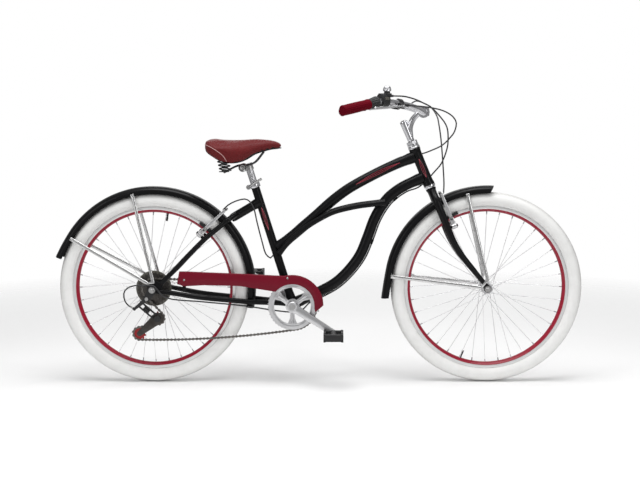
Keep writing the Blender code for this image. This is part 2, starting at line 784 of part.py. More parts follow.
def rear_dropout(name, side):
    """A rear dropout: a plate round the axle that runs to both stays."""
    seat_stay_end = REAR + at(*SEAT_STAY_FOOT)
    down = around(Vector(), -1.0, SEAT_STAY_FOOT_TURN)
    across = at(-down.z, 0.0, down.x)
    edge = seat_stay_end + down * (2.0 * GAP)
    lobe = [edge - across * 0.0090, edge + across * 0.0090]
    if lobe[0].x < lobe[1].x:
        lobe.reverse()
    outline = arc(REAR, DROPOUT_RADIUS, math.radians(150.0), math.radians(320.0), 5)
    outline += [(REAR.x + 0.0400, REAR.z - 0.0130), (REAR.x + 0.0400, REAR.z - 0.0040)]
    outline += [(point.x, point.z) for point in lobe]
    outline += [(REAR.x + 0.0050, REAR.z + 0.0330), (REAR.x - 0.0150, REAR.z + 0.0310)]
    outline += [(REAR.x - 0.0215, REAR.z + 0.0240)]
    middle = side * (REAR_DROPOUT_SPACE + DROPOUT_THICKNESS) / 2.0
    hole = round_hole(REAR, AXLE_RADIUS + GAP)
    return as_mesh(plate(name, [outline, hole], middle, DROPOUT_THICKNESS, BLACK_PAINT))


DROPOUT_RADIUS = 0.0170
SEAT_STAY_FOOT = (0.0300, 0.0, 0.0200)      # from the rear axle
SEAT_STAY_FOOT_TURN = math.radians(47.0)
DROPOUT_MIDDLE = (REAR_DROPOUT_SPACE + DROPOUT_THICKNESS) / 2.0


STAY_BESIDE_SHELL = SHELL_LENGTH / 2.0 - 0.0070


def chain_stay_route(side):
    """A chain stay's centre line, from the dropout to the crank shell."""
    beside_fender = FENDER_HALF_WIDTH + CHAIN_STAY_RADIUS
    offsets = [(0.06, beside_fender + 0.0230, 0.0), (0.30, beside_fender + 0.0130, -0.007),
               (0.57, beside_fender + 0.0060, -0.006), (0.715, beside_fender + 0.0040, -0.004),
               (0.83, STAY_BESIDE_SHELL + 0.0045, -0.002), (0.93, STAY_BESIDE_SHELL, 0.0)]
    start = REAR + at(0.0260, 0.0, -0.0060)
    end = CRANK_AXLE + at(-0.0080, 0.0, 0.0030)
    route = [start + LEFT * side * DROPOUT_MIDDLE]
    for share, offset, rise in offsets:
        route.append(start.lerp(end, share) + at(0.0, side * offset, rise))
    route.append(end + LEFT * side * STAY_BESIDE_SHELL)
    return smooth_route(route, 0.100)


def make_chain_stays():
    """Both chain stays, with the dropouts at their ends and a plate between them."""
    pieces = []
    for label, side in SIDES:
        route = chain_stay_route(side)
        radii = [CHAIN_STAY_RADIUS - 0.0010] + [CHAIN_STAY_RADIUS] * (len(route) - 1)
        name = "chain_stays" if side < 0.0 else "chain_stay_" + label
        pieces.append(as_mesh(tube(name, route, radii, BLACK_PAINT, 8)))
        pieces.append(rear_dropout("rear_dropout_" + label, side))
    plate_middle = CRANK_AXLE + at(-0.0720, 0.0, 0.0090)
    pieces.append(
        block("stay_plate", plate_middle, (0.036, 2.0 * STAY_BESIDE_SHELL + 0.006, 0.0040), BLACK_PAINT)
    )
    joined(*pieces)
    return cut(pieces[0], shell_cutter("chain_stays_shell_mitre"))


def brake_frame(hub, root_angle, lean, ahead_sign):
    """Root, arm direction and stud direction of a brake, in the wheel's plane."""
    root = around(hub, BRAKE_PIVOT_RADIUS, root_angle)
    arm = at(math.cos(lean), 0.0, math.sin(lean))
    stud = at(ahead_sign * math.sin(lean), 0.0, -ahead_sign * math.cos(lean))
    return root, arm, stud


FRONT_BRAKE = brake_frame(FRONT, FRONT_BRAKE_ANGLE, FRONT_BRAKE_LEAN, 1.0)
REAR_BRAKE = brake_frame(REAR, REAR_BRAKE_ANGLE, REAR_BRAKE_LEAN, -1.0)
BRAKE_BOSS_LENGTH = 0.0180


def brake_stud(name, brake, side, material):
    """The stud that a brake arm turns on, with its bolt's head."""
    root, _arm, stud = brake
    start = root + LEFT * side * BRAKE_PIVOT_OFFSET
    shoulder = start + stud * (BRAKE_ARM_AHEAD + BRAKE_BOSS_LENGTH / 2.0 + RUN_GAP)
    pin = rod(name, start, shoulder + stud * 0.0010, BRAKE_STUD_RADIUS, material, 8)
    head = rod(name + "_head", shoulder, shoulder + stud * 0.0035, 0.0062, material, 8)
    return pin, head


def seat_stay_route(side):
    """A seat stay's centre line, from the yoke to the dropout, as (radius, angle, y) steps."""
    over_fender = FENDER_RADIUS + SEAT_STAY_RADIUS
    beside_fender = FENDER_HALF_WIDTH + SEAT_STAY_RADIUS + 0.0030
    steps = [
        (over_fender + 0.0220, 41.6, 0.0130),
        (over_fender + 0.0060, 42.0, 0.0300),
        (FENDER_RADIUS - 0.0030, 42.4, beside_fender),
        (0.3230, 42.8, beside_fender + 0.0005),
        (BRAKE_PIVOT_RADIUS, math.degrees(REAR_BRAKE_ANGLE), BRAKE_PIVOT_OFFSET),
        (0.1515, 42.9, 0.0520),
        (0.1085, 41.4, 0.0570),
    ]
    route = [around(REAR, radius, math.radians(turn), side * y) for radius, turn, y in steps]
    foot = REAR + at(*SEAT_STAY_FOOT) + LEFT * side * (DROPOUT_MIDDLE - 0.0010)
    route.append(around(foot, 0.0215, SEAT_STAY_FOOT_TURN))
    route.append(foot)
    return route


def make_seat_stays():
    """Both seat stays and the yoke that joins them to the seat tube, with the brake studs."""
    start = CRANK_AXLE + SEAT_UP * YOKE_ON_SEAT
    end = around(REAR, FENDER_RADIUS + 0.0080, math.radians(41.7))
    pieces = [rod("seat_stays", start, end, YOKE_RADIUS, BLACK_PAINT, 14)]
    for label, side in SIDES:
        route = smooth_route(seat_stay_route(side), 0.070)
        radii = [SEAT_STAY_RADIUS] * (len(route) - 2) + [0.0082, 0.0078]
        pieces.append(as_mesh(tube("seat_stay_" + label, route, radii, BLACK_PAINT, 8)))
        pieces.extend(brake_stud("rear_stud_" + label, REAR_BRAKE, side, BLACK_PAINT))
    joined(*pieces)
    return cut(pieces[0], seat_cutter("seat_stays_mitre"))


YOKE_ON_SEAT = 0.3780                       # up the seat tube from the crank axle


# Fenders
def make_fender(name, hub, sections):
    """A rolled fender over a wheel. Sections are (angle, added radius, added half width)."""
    half = FENDER_HALF_WIDTH
    arch = [
        (FENDER_RADIUS - 0.0260, 1.00),
        (FENDER_RADIUS - 0.0110, 0.97),
        (FENDER_RADIUS - 0.0030, 0.62),
        (FENDER_RADIUS, 0.0),
    ]
    across = [(radius, -share) for radius, share in arch]
    across += [(radius, share) for radius, share in reversed(arch[:-1])]
    shape = bmesh.new()
    rows = []
    for angle, lift, widen in sections:
        row = []
        for radius, share in across:
            place = around(hub, radius + lift, angle, share * (half + widen))
            row.append(shape.verts.new(place))
        rows.append(row)
    for before, after in zip(rows, rows[1:]):
        for index in range(len(across) - 1):
            shape.faces.new(
                (before[index], before[index + 1], after[index + 1], after[index])
            )
    bmesh.ops.recalc_face_normals(shape, faces=shape.faces)
    top = max(shape.faces, key=lambda face: face.calc_center_median().z)
    if top.normal.z < 0.0:
        bmesh.ops.reverse_faces(shape, faces=shape.faces)
    mesh = bpy.data.meshes.new(name)
    shape.to_mesh(mesh)
    shape.free()
    smooth(mesh, 60.0)
    item = link(name, mesh, BLACK_PAINT)
    wall = item.modifiers.new("Solidify", "SOLIDIFY")
    wall.thickness = FENDER_THICKNESS
    wall.offset = -1.0
    wall.use_even_offset = True
    return item


def even_angles(start, end, steps):
    """Angles in radians, evenly from start to end in degrees."""
    return [math.radians(start + (end - start) * step / steps) for step in range(steps + 1)]


def make_rear_fender():
    """The rear fender, with its flared tip."""
    sections = [(angle, 0.0, 0.0) for angle in even_angles(-11.7, 147.0, 14)]
    sections += [
        (math.radians(153.0), 0.0008, 0.0),
        (math.radians(158.0), 0.0030, 0.0005),
        (math.radians(162.2), 0.0065, 0.0010),
    ]
    return make_fender("rear_fender", REAR, sections)


def make_front_fender():
    """The front fender."""
    sections = [(angle, 0.0, 0.0) for angle in even_angles(86.3, 170.0, 6)]
    sections += [
        (math.radians(176.0), 0.0018, 0.0),
        (math.radians(181.0), 0.0065, 0.0),
        (math.radians(186.0), 0.0125, 0.0),
    ]
    return make_fender("front_fender", FRONT, sections)


def make_fender_stays(name, hub, side, inner_face, eyes, feet):
    """Two wires from a dropout to the fender's edge. Eyes are (x, z) from the axle."""
    middle = side * (inner_face + GAP + 0.0011)
    first, second = [hub + at(x, middle, z) for x, z in eyes]
    along = (second - first).normalized()
    length = (second - first).length + 0.0100
    item = upright_block(
        name, (first + second) / 2.0, (length, 0.0022, 0.0090), along, STEEL
    )
    pieces = [item]
    beside = FENDER_HALF_WIDTH + FENDER_STAY_RADIUS + GAP + 0.0006
    for index, (eye, angle) in enumerate(zip((first, second), feet)):
        foot = around(hub, FENDER_RADIUS - 0.0190, math.radians(angle), side * beside)
        wire_start = eye + LEFT * side * 0.0028
        wire = rod(f"{name}_wire_{index}", wire_start, foot, FENDER_STAY_RADIUS, STEEL, 8)
        turn = math.radians(angle)
        radial = at(math.cos(turn), 0.0, math.sin(turn))
        tab = upright_block(
            f"{name}_tab_{index}", foot, (0.0140, 2.0 * FENDER_STAY_RADIUS, 0.0100), radial, STEEL
        )
        pieces.extend((wire, tab))
    return joined(*pieces)


# Chain guard
def make_chain_guard():
    """A pressed guard beside the chain, with its upper edge turned in over it."""
    face = -GUARD_OFFSET
    flange = face + GUARD_FLANGE
    outer_radius = RING_PITCH_RADIUS + 0.0240
    inner_radius = RING_PITCH_RADIUS - 0.0080
    shift = CRANK_AXLE - at(-0.0960, 0.0, 0.2750)
    tail = REAR - at(-0.5820, 0.0, 0.3340)
    upper = [(-0.4880, 0.3970, tail), (-0.4640, 0.3970, tail), (-0.4000, 0.3940, tail),
             (-0.2770, 0.3890, shift)]
    lower = [(-0.4960, 0.3530, tail), (-0.4720, 0.3450, tail), (-0.4000, 0.3490, tail),
             (-0.2770, 0.3455, shift)]
    upper_points = [(x + move.x, z + move.z) for x, z, move in upper]
    lower_points = [(x + move.x, z + move.z) for x, z, move in lower]
    start_outer = math.radians(104.0)
    start_inner = math.radians(139.0)
    upper_points += arc(CRANK_AXLE, outer_radius, start_outer, math.radians(12.0), 9)
    lower_points += arc(CRANK_AXLE, inner_radius, start_inner, math.radians(-6.0), 9)
    upper_points.append((CRANK_AXLE.x + 0.1085, CRANK_AXLE.z + 0.0030))
    lower_points.append((CRANK_AXLE.x + 0.0800, CRANK_AXLE.z - 0.0210))
    shape = bmesh.new()
    rows = []
    for (low_x, low_z), (top_x, top_z) in zip(lower_points, upper_points):
        rows.append([
            shape.verts.new((low_x, face, low_z)),
            shape.verts.new((top_x, face, top_z)),
            shape.verts.new((top_x, flange, top_z)),
        ])
    for before, after in zip(rows, rows[1:]):
        for index in range(2):
            shape.faces.new(
                (before[index], after[index], after[index + 1], before[index + 1])
            )
    bmesh.ops.recalc_face_normals(shape, faces=shape.faces)
    shape.faces.ensure_lookup_table()
    if shape.faces[0].normal.y > 0.0:
        bmesh.ops.reverse_faces(shape, faces=shape.faces)
    mesh = bpy.data.meshes.new("chain_guard")
    shape.to_mesh(mesh)
    shape.free()
    item = link("chain_guard", mesh, RED_GUARD)
    wall = item.modifiers.new("Solidify", "SOLIDIFY")
    wall.thickness = GUARD_THICKNESS
    wall.offset = 1.0
    wall.use_even_offset = True
    foot = tail + at(-0.4710, face, 0.3230)
    strap = block(
        "guard_strap", foot + at(0.0, 0.0010, 0.0280), (0.0120, 0.0030, 0.0560), RED_GUARD
    )
    stay_room = as_mesh(
        tube("guard_stay_room", chain_stay_route(RIGHT_SIDE), CHAIN_STAY_RADIUS + GAP, RED_GUARD, 8)
    )
    below = block(
        "guard_strap_below",
        foot + at(0.0, 0.0, -0.0200),
        (0.0300, 0.0300, 0.0400),
        RED_GUARD,
    )
    cut(strap, stay_room, below)
    return joined(item, strap)


def make_front_axle():
    """The front axle, between the fork's dropouts."""
    inner = FRONT_DROPOUT_SPACE / 2.0
    outer = inner + DROPOUT_THICKNESS
    return make_axle("front_axle", FRONT, inner, (-outer, outer))


def make_rear_axle():
    """The rear axle. Its right nut also holds the derailleur's plate."""
    inner = REAR_DROPOUT_SPACE / 2.0
    outer = inner + DROPOUT_THICKNESS
    return make_axle("rear_axle", REAR, inner, (-(outer + GAP + CLAW_THICKNESS), outer))


CLAW_THICKNESS = 0.0030


# Drive
def link_outline(first, first_radius, second, second_radius, steps=5):
    """(x, z) points round two circles, as a belt over them would lie."""
    gap = second - first
    turn = math.atan2(gap.z, gap.x)
    lean = math.acos((first_radius - second_radius) / gap.length)
    outline = arc(second, second_radius, turn - lean, turn + lean, steps)
    outline += arc(first, first_radius, turn + lean, turn - lean + 2.0 * math.pi, steps)
    return outline


def tangent(first, second):
    """Where a chain leaves one wheel and meets the next. A wheel is (centre, radius, sense)."""
    centre_a, radius_a, sense_a = first
    centre_b, radius_b, sense_b = second
    gap = centre_b - centre_a
    lean = math.acos((sense_a * radius_a - sense_b * radius_b) / gap.length)
    turn = math.atan2(gap.z, gap.x) - lean
    outward = at(math.cos(turn), 0.0, math.sin(turn))
    return centre_a + outward * sense_a * radius_a, centre_b + outward * sense_b * radius_b


GUIDE_AXLE = REAR + at(0.0160, 0.0, -0.1020)
TENSION_AXLE = REAR + at(-0.0490, 0.0, -0.1560)
CHAIN_SAG = 0.0110
CHAIN_WHEELS = (
    (CRANK_AXLE, RING_PITCH_RADIUS, 1.0),
    (REAR, COG_PITCH_RADIUS, 1.0),
    (GUIDE_AXLE, PULLEY_PITCH_RADIUS, -1.0),
    (TENSION_AXLE, PULLEY_PITCH_RADIUS, 1.0),
)
CHAIN_STEPS = (24.0, 36.0, 45.0, 45.0)       # degrees between points on each wheel
PINS_SHOWN = 8                              # every eighth pin joins the bands


def chain_path():
    """The chain's closed centre line, from where it meets the ring below."""
    path = []
    count = len(CHAIN_WHEELS)
    for index, wheel in enumerate(CHAIN_WHEELS):
        centre, radius, sense = wheel
        _left_from, meets = tangent(CHAIN_WHEELS[index - 1], wheel)
        leaves, next_meets = tangent(wheel, CHAIN_WHEELS[(index + 1) % count])
        start = math.atan2(meets.z - centre.z, meets.x - centre.x)
        end = math.atan2(leaves.z - centre.z, leaves.x - centre.x)
        while (end - start) * sense < 0.0:
            end += 2.0 * math.pi * sense
        steps = max(2, math.ceil(abs(end - start) / math.radians(CHAIN_STEPS[index])))
        for step in range(steps + 1):
            path.append(around(centre, radius, start + (end - start) * step / steps))
        if index == count - 1:
            for step in range(1, 5):
                share = step / 5.0
                sag = 4.0 * CHAIN_SAG * share * (1.0 - share)
                path.append(leaves.lerp(next_meets, share) - UP * sag)
    return path


def offset_path(path, distance):
    """(x, z) points of a closed path, moved outward by a distance."""
    outline = []
    count = len(path)
    for index, point in enumerate(path):
        along = (path[(index + 1) % count] - path[index - 1]).normalized()
        outline.append((point.x + along.z * distance, point.z - along.x * distance))
    return outline


def chain_pins(path):
    """The pins that join the chain's bands, along its closed path."""
    _left_from, meets = tangent(CHAIN_WHEELS[-1], CHAIN_WHEELS[0])
    leaves, _meets = tangent(CHAIN_WHEELS[0], CHAIN_WHEELS[1])
    start = math.atan2(meets.z - CRANK_AXLE.z, meets.x - CRANK_AXLE.x)
    reach = math.atan2(leaves.z - CRANK_AXLE.z, leaves.x - CRANK_AXLE.x) - start
    reach += 2.0 * math.pi if reach < 0.0 else 0.0
    step = 2.0 * math.pi * PINS_SHOWN / RING_TEETH
    pins = [
        around(CRANK_AXLE, RING_PITCH_RADIUS, start + index * step)
        for index in range(int(reach / step) + 1)
    ]
    travelled = 0.0
    due = len(pins) * PINS_SHOWN * CHAIN_PITCH
    closed = [*path, path[0]]
    total = sum((after - before).length for before, after in zip(closed, closed[1:]))
    for before, after in zip(closed, closed[1:]):
        length = (after - before).length
        while due <= travelled + length and due < total - PINS_SHOWN * CHAIN_PITCH / 2.0:
            pins.append(before.lerp(after, (due - travelled) / length))
            due += PINS_SHOWN * CHAIN_PITCH
        travelled += length
    return pins


def make_chain():
    """The chain: its side plates as two bands, with pins between them."""
    path = chain_path()
    outlines = [offset_path(path, CHAIN_HALF_HEIGHT), offset_path(path, -CHAIN_HALF_HEIGHT)]
    pieces = []
    for label, side in (("outer", -1.0), ("inner", 1.0)):
        middle = -CHAIN_LINE + side * (CHAIN_HALF_WIDTH - CHAIN_PLATE / 2.0)
        name = "chain" if label == "outer" else "chain_inner_band"
        pieces.append(as_mesh(plate(name, outlines, middle, CHAIN_PLATE, STEEL)))
    reach = LEFT * (CHAIN_HALF_WIDTH - CHAIN_PLATE / 2.0)
    shape = bmesh.new()
    for pin in chain_pins(path):
        place = Matrix.Translation(pin - LEFT * CHAIN_LINE) @ Matrix.Rotation(
            math.pi / 2.0, 4, "X"
        )
        bmesh.ops.create_cone(
            shape,
            cap_ends=True,
            segments=4,
            radius1=0.0024,
            radius2=0.0024,
            depth=2.0 * reach.length,
            matrix=place,
        )
    mesh = bpy.data.meshes.new("chain_pins")
    shape.to_mesh(mesh)
    shape.free()
    pieces.append(link("chain_pins", mesh, STEEL))
    return joined(*pieces)


def make_freewheel():
    """The stepped sprockets and the clear guard disc behind them, in one turned body."""
    barrel = 0.0180
    half = COG_THICKNESS / 2.0
    guard = pitch_radius(COG_TEETH[-1]) + 0.0058
    first = -FREEWHEEL_OUTER
    disc = GUARD_DISC_GAP - FREEWHEEL_INNER
    profile = [
        (HUB_BORE, disc + GUARD_DISC_THICKNESS),
        (guard, disc + GUARD_DISC_THICKNESS),
        (guard, disc),
        (barrel, disc),
    ]
    for index in reversed(range(len(COG_TEETH))):
        face = first + COG_SPACING * index
        radius = pitch_radius(COG_TEETH[index]) - CHAIN_HALF_HEIGHT
        profile += [(barrel, face + half), (radius, face + half), (radius, face - half)]
        if index:
            profile.append((barrel, face - half))
    profile += [(barrel - 0.004, first - half - 0.0020), (HUB_BORE, first - half - 0.0020)]
    return turned("freewheel", profile, 10, REAR, LEFT, DARK_METAL, loop=True)


RING_ARM_TURNS = (35.0, 145.0, 270.0)


def ring_outline():
    """The toothed edge of the chainring, with the chain's pins in its gaps."""
    _left_from, meets = tangent(CHAIN_WHEELS[-1], CHAIN_WHEELS[0])
    phase = math.atan2(meets.z - CRANK_AXLE.z, meets.x - CRANK_AXLE.x)
    step = 2.0 * math.pi / RING_TEETH
    outline = []
    for tooth in range(RING_TEETH):
        gap = phase + tooth * step
        for share, radius in (
            (0.00, RING_PITCH_RADIUS - CHAIN_HALF_HEIGHT - 0.0010),
            (0.50, RING_PITCH_RADIUS + 0.0034),
        ):
            turn = gap + share * step
            outline.append((
                CRANK_AXLE.x + radius * math.cos(turn), CRANK_AXLE.z + radius * math.sin(turn)
            ))
    return outline


def ring_windows():
    """The three openings between the ring's arms."""
    outer = RING_PITCH_RADIUS - 0.0210
    inner = 0.0245
    windows = []
    for index, turn in enumerate(RING_ARM_TURNS):
        after = RING_ARM_TURNS[(index + 1) % 3] + (360.0 if index == 2 else 0.0)
        start = math.radians(turn)
        end = math.radians(after)
        lean_outer = math.asin(0.0160 / outer)
        lean_inner = math.asin(0.0090 / inner)
        window = arc(CRANK_AXLE, outer, start + lean_outer, end - lean_outer, 6)
        window += arc(CRANK_AXLE, 0.0440, end - 0.19, end - 0.19, 1)[:1]
        window += arc(CRANK_AXLE, inner, end - lean_inner, start + lean_inner, 3)
        window += arc(CRANK_AXLE, 0.0440, start + 0.19, start + 0.19, 1)[:1]
        windows.append(window)
    return windows


def pedal_axle(side):
    """The end of a crank arm, at its pedal's axle."""
    turn = CRANK_TURN if side < 0.0 else CRANK_TURN + math.pi
    return around(CRANK_AXLE, CRANK_LENGTH, turn)


def make_crank(name, side):
    """A crank arm with its pedal's axle."""
    end = pedal_axle(side)
    outline = link_outline(CRANK_AXLE, 0.0150, end, 0.0110)
    middle = side * (CRANK_ARM_INNER + CRANK_ARM_THICKNESS / 2.0)
    item = as_mesh(plate(name, [outline], middle, CRANK_ARM_THICKNESS, ALUMINIUM))
    outer = CRANK_ARM_INNER + CRANK_ARM_THICKNESS
    boss_inner = CHAIN_LINE - RING_THICKNESS / 2.0 if side < 0.0 else SHELL_LENGTH / 2.0 + 0.006
    boss = rod(
        name + "_boss",
        CRANK_AXLE + LEFT * side * boss_inner,
        CRANK_AXLE + LEFT * side * (outer + 0.0010),
        CRANK_BOSS_RADIUS,
        ALUMINIUM,
        14,
    )
    axle = rod(
        name + "_pedal_axle",
        end + LEFT * side * (CRANK_ARM_INNER + 0.0020),
        end + LEFT * side * (PEDAL_OFFSET + PEDAL_WIDTH / 2.0 - 0.0075),
        PEDAL_AXLE_RADIUS,
        ALUMINIUM,
        10,
    )
    return joined(item, boss, axle)


def make_crank_right():
    """The right crank, with the chainring on its boss."""
    item = make_crank("crank_right", RIGHT_SIDE)
    outlines = [ring_outline(), *ring_windows()]
    ring = as_mesh(plate("chainring", outlines, -CHAIN_LINE, RING_THICKNESS, ALUMINIUM))
    bore = rod(
        "crank_right_bore",
        CRANK_AXLE - LEFT * 0.0300,
        CRANK_AXLE - LEFT * (SPINDLE_HALF_LENGTH + GAP),
        SPINDLE_RADIUS + GAP,
        ALUMINIUM,
        12,
    )
    joined(item, ring)
    return cut(item, bore)


def make_crank_left():
    """The left crank, with the spindle that runs through the crank shell."""
    item = make_crank("crank_left", LEFT_SIDE)
    spindle = rod(
        "spindle",
        CRANK_AXLE - LEFT * SPINDLE_HALF_LENGTH,
        CRANK_AXLE + LEFT * SPINDLE_HALF_LENGTH,
        SPINDLE_RADIUS,
        STEEL,
        12,
    )
    return joined(item, spindle)


def make_pedal(name, side):
    """A platform pedal: a frame with a window either side of its barrel."""
    centre = pedal_axle(side) + LEFT * side * PEDAL_OFFSET
    item = block(name, centre, (PEDAL_LENGTH, PEDAL_WIDTH, PEDAL_HEIGHT), BLACK_PLASTIC)
    window_length = PEDAL_LENGTH / 2.0 - 0.0190
    for end in (-1.0, 1.0):
        window = block(
            f"{name}_window_{end:+.0f}",
            centre + FORWARD * end * (0.0110 + window_length / 2.0),
            (window_length, PEDAL_WIDTH - 0.0260, PEDAL_HEIGHT * 2.0),
            BLACK_PLASTIC,
        )
        cut(item, window)
    inner = centre - LEFT * side * (PEDAL_WIDTH / 2.0 + 0.0100)
    outer = centre + LEFT * side * (PEDAL_WIDTH / 2.0 - 0.0070)
    bore = rod(name + "_bore", inner, outer, PEDAL_AXLE_RADIUS + RUN_GAP, BLACK_PLASTIC, 10)
    return cut(item, bore)


# Derailleur
MOUNT_BOLT = REAR + at(-0.0190, 0.0, -0.0310)
LINK_TOP = REAR + at(-0.0440, 0.0, -0.0500)
LINK_ALONG = (GUIDE_AXLE - LINK_TOP).normalized()
LINK_ACROSS = at(-LINK_ALONG.z, 0.0, LINK_ALONG.x)
LINK_END = GUIDE_AXLE - LINK_ALONG * 0.0185
LINK_HALF_WIDTH = 0.0060
LINK_OFFSET = 0.0620
KNUCKLE_RADIUS = 0.0110
CAGE_HALF_GAP = 0.0050
CAGE_PLATE = 0.0015


def make_derailleur_bracket():
    """The derailleur's hanger plate and upper body, with the shift cable's ferrule."""
    claw_middle = -(REAR_DROPOUT_SPACE / 2.0 + DROPOUT_THICKNESS + GAP + CLAW_THICKNESS / 2.0)
    outline = link_outline(REAR, 0.0150, MOUNT_BOLT, 0.0110)
    hole = round_hole(REAR, AXLE_RADIUS + GAP)
    item = as_mesh(
        plate("derailleur_bracket", [outline, hole], claw_middle, CLAW_THICKNESS, BLACK_PAINT)
    )
    bolt = rod(
        "mount_bolt",
        MOUNT_BOLT - LEFT * (LINK_OFFSET - LINK_HALF_WIDTH),
        MOUNT_BOLT + LEFT * (claw_middle - 0.0050),
        0.0090,
        BLACK_PAINT,
        10,
    )
    arm_end = MOUNT_BOLT.lerp(LINK_TOP, 0.53)
    arm = as_mesh(
        plate(
            "upper_body",
            [link_outline(MOUNT_BOLT, 0.0085, arm_end, 0.0070, 4)],
            -LINK_OFFSET,
            2.0 * LINK_HALF_WIDTH,
            BLACK_PAINT,
        )
    )
    ferrule_mouth = SHIFT_CABLE_END + at(0.0003, 0.0, -0.0002)
    ferrule_along = at(0.861, 0.0, -0.509)
    ferrule = rod(
        "ferrule", ferrule_mouth, ferrule_mouth + ferrule_along * 0.0110, 0.0048, BLACK_PAINT, 8
    )
    tail_end = ferrule_mouth + ferrule_along * 0.0060
    tail = as_mesh(
        plate(
            "cover_plate",
            [link_outline(MOUNT_BOLT, 0.0080, tail_end, 0.0045, 4)],
            -(LINK_OFFSET + LINK_HALF_WIDTH + 0.0035),
            0.0030,
            BLACK_PAINT,
        )
    )
    return joined(item, bolt, arm, ferrule, tail)


SHIFT_CABLE_END = REAR + at(-0.0680, -0.0660, -0.0635)


def make_derailleur_link():
    """The swinging arm of the derailleur, round at both pivots."""
    offset = LEFT * LINK_OFFSET
    start = LINK_TOP - offset
    end = LINK_END - offset
    length = (end - start).length
    item = upright_block(
        "derailleur_link",
        (start + end) / 2.0,
        (length, 2.0 * LINK_HALF_WIDTH, 0.0140),
        LINK_ALONG,
        BLACK_PAINT,
    )
    pieces = [item]
    for label, centre in (("top", start), ("low", end)):
        half = LINK_ACROSS * 0.0070
        pieces.append(
            rod("link_" + label, centre - half, centre + half, LINK_HALF_WIDTH, BLACK_PAINT, 12)
        )
    return joined(*pieces)


def make_derailleur_knuckle():
    """The lower knuckle, which carries the pulley cage."""
    face = CHAIN_LINE + CAGE_HALF_GAP + CAGE_PLATE + RUN_GAP
    return rod(
        "derailleur_knuckle",
        GUIDE_AXLE - LEFT * face,
        GUIDE_AXLE - LEFT * (LINK_OFFSET + 0.0045),
        KNUCKLE_RADIUS,
        BLACK_PAINT,
        14,
    )


PULLEY_PIN_RADIUS = 0.0025


def make_derailleur_cage():
    """Two cage plates on the pulleys' axle pins."""
    pieces = []
    for label, side in SIDES:
        middle = -CHAIN_LINE + side * (CAGE_HALF_GAP + CAGE_PLATE / 2.0)
        outline = link_outline(GUIDE_AXLE, 0.0100, TENSION_AXLE, 0.0090)
        name = "derailleur_cage" if side < 0.0 else "cage_plate_" + label
        pieces.append(as_mesh(plate(name, [outline], middle, CAGE_PLATE, DARK_METAL)))
    reach = LEFT * (CAGE_HALF_GAP + CAGE_PLATE / 2.0)
    for label, centre in (("guide", GUIDE_AXLE), ("tension", TENSION_AXLE)):
        middle = centre - LEFT * CHAIN_LINE
        name = label + "_pin"
        pieces.append(rod(name, middle - reach, middle + reach, PULLEY_PIN_RADIUS, STEEL, 8))
    return joined(*pieces)


def make_pulley(name, centre):
    """A jockey pulley."""
    bore = PULLEY_PIN_RADIUS + RUN_GAP
    half = PULLEY_THICKNESS / 2.0
    radius = PULLEY_PITCH_RADIUS - CHAIN_HALF_HEIGHT - RUN_GAP
    profile = [
        (bore, 0.0045), (0.0065, 0.0045), (0.0065, half), (radius, half),
        (radius, -half), (0.0065, -half), (0.0065, -0.0045), (bore, -0.0045),
    ]
    middle = centre - LEFT * CHAIN_LINE
    return turned(name, profile, 12, middle, LEFT, RED_PLASTIC, loop=True)


# Fork and steering
def on_steerer(up, out, y=0.0):
    """A point by its height up the steering axis from the head tube's foot, and ahead of it."""
    return HEAD_BASE + STEER_UP * up + STEER_OUT * out + LEFT * y


FRONT_DROPOUT_MIDDLE = (FRONT_DROPOUT_SPACE + DROPOUT_THICKNESS) / 2.0
HEADSET_TOP = HEAD_LENGTH + UPPER_STACK_HEIGHT


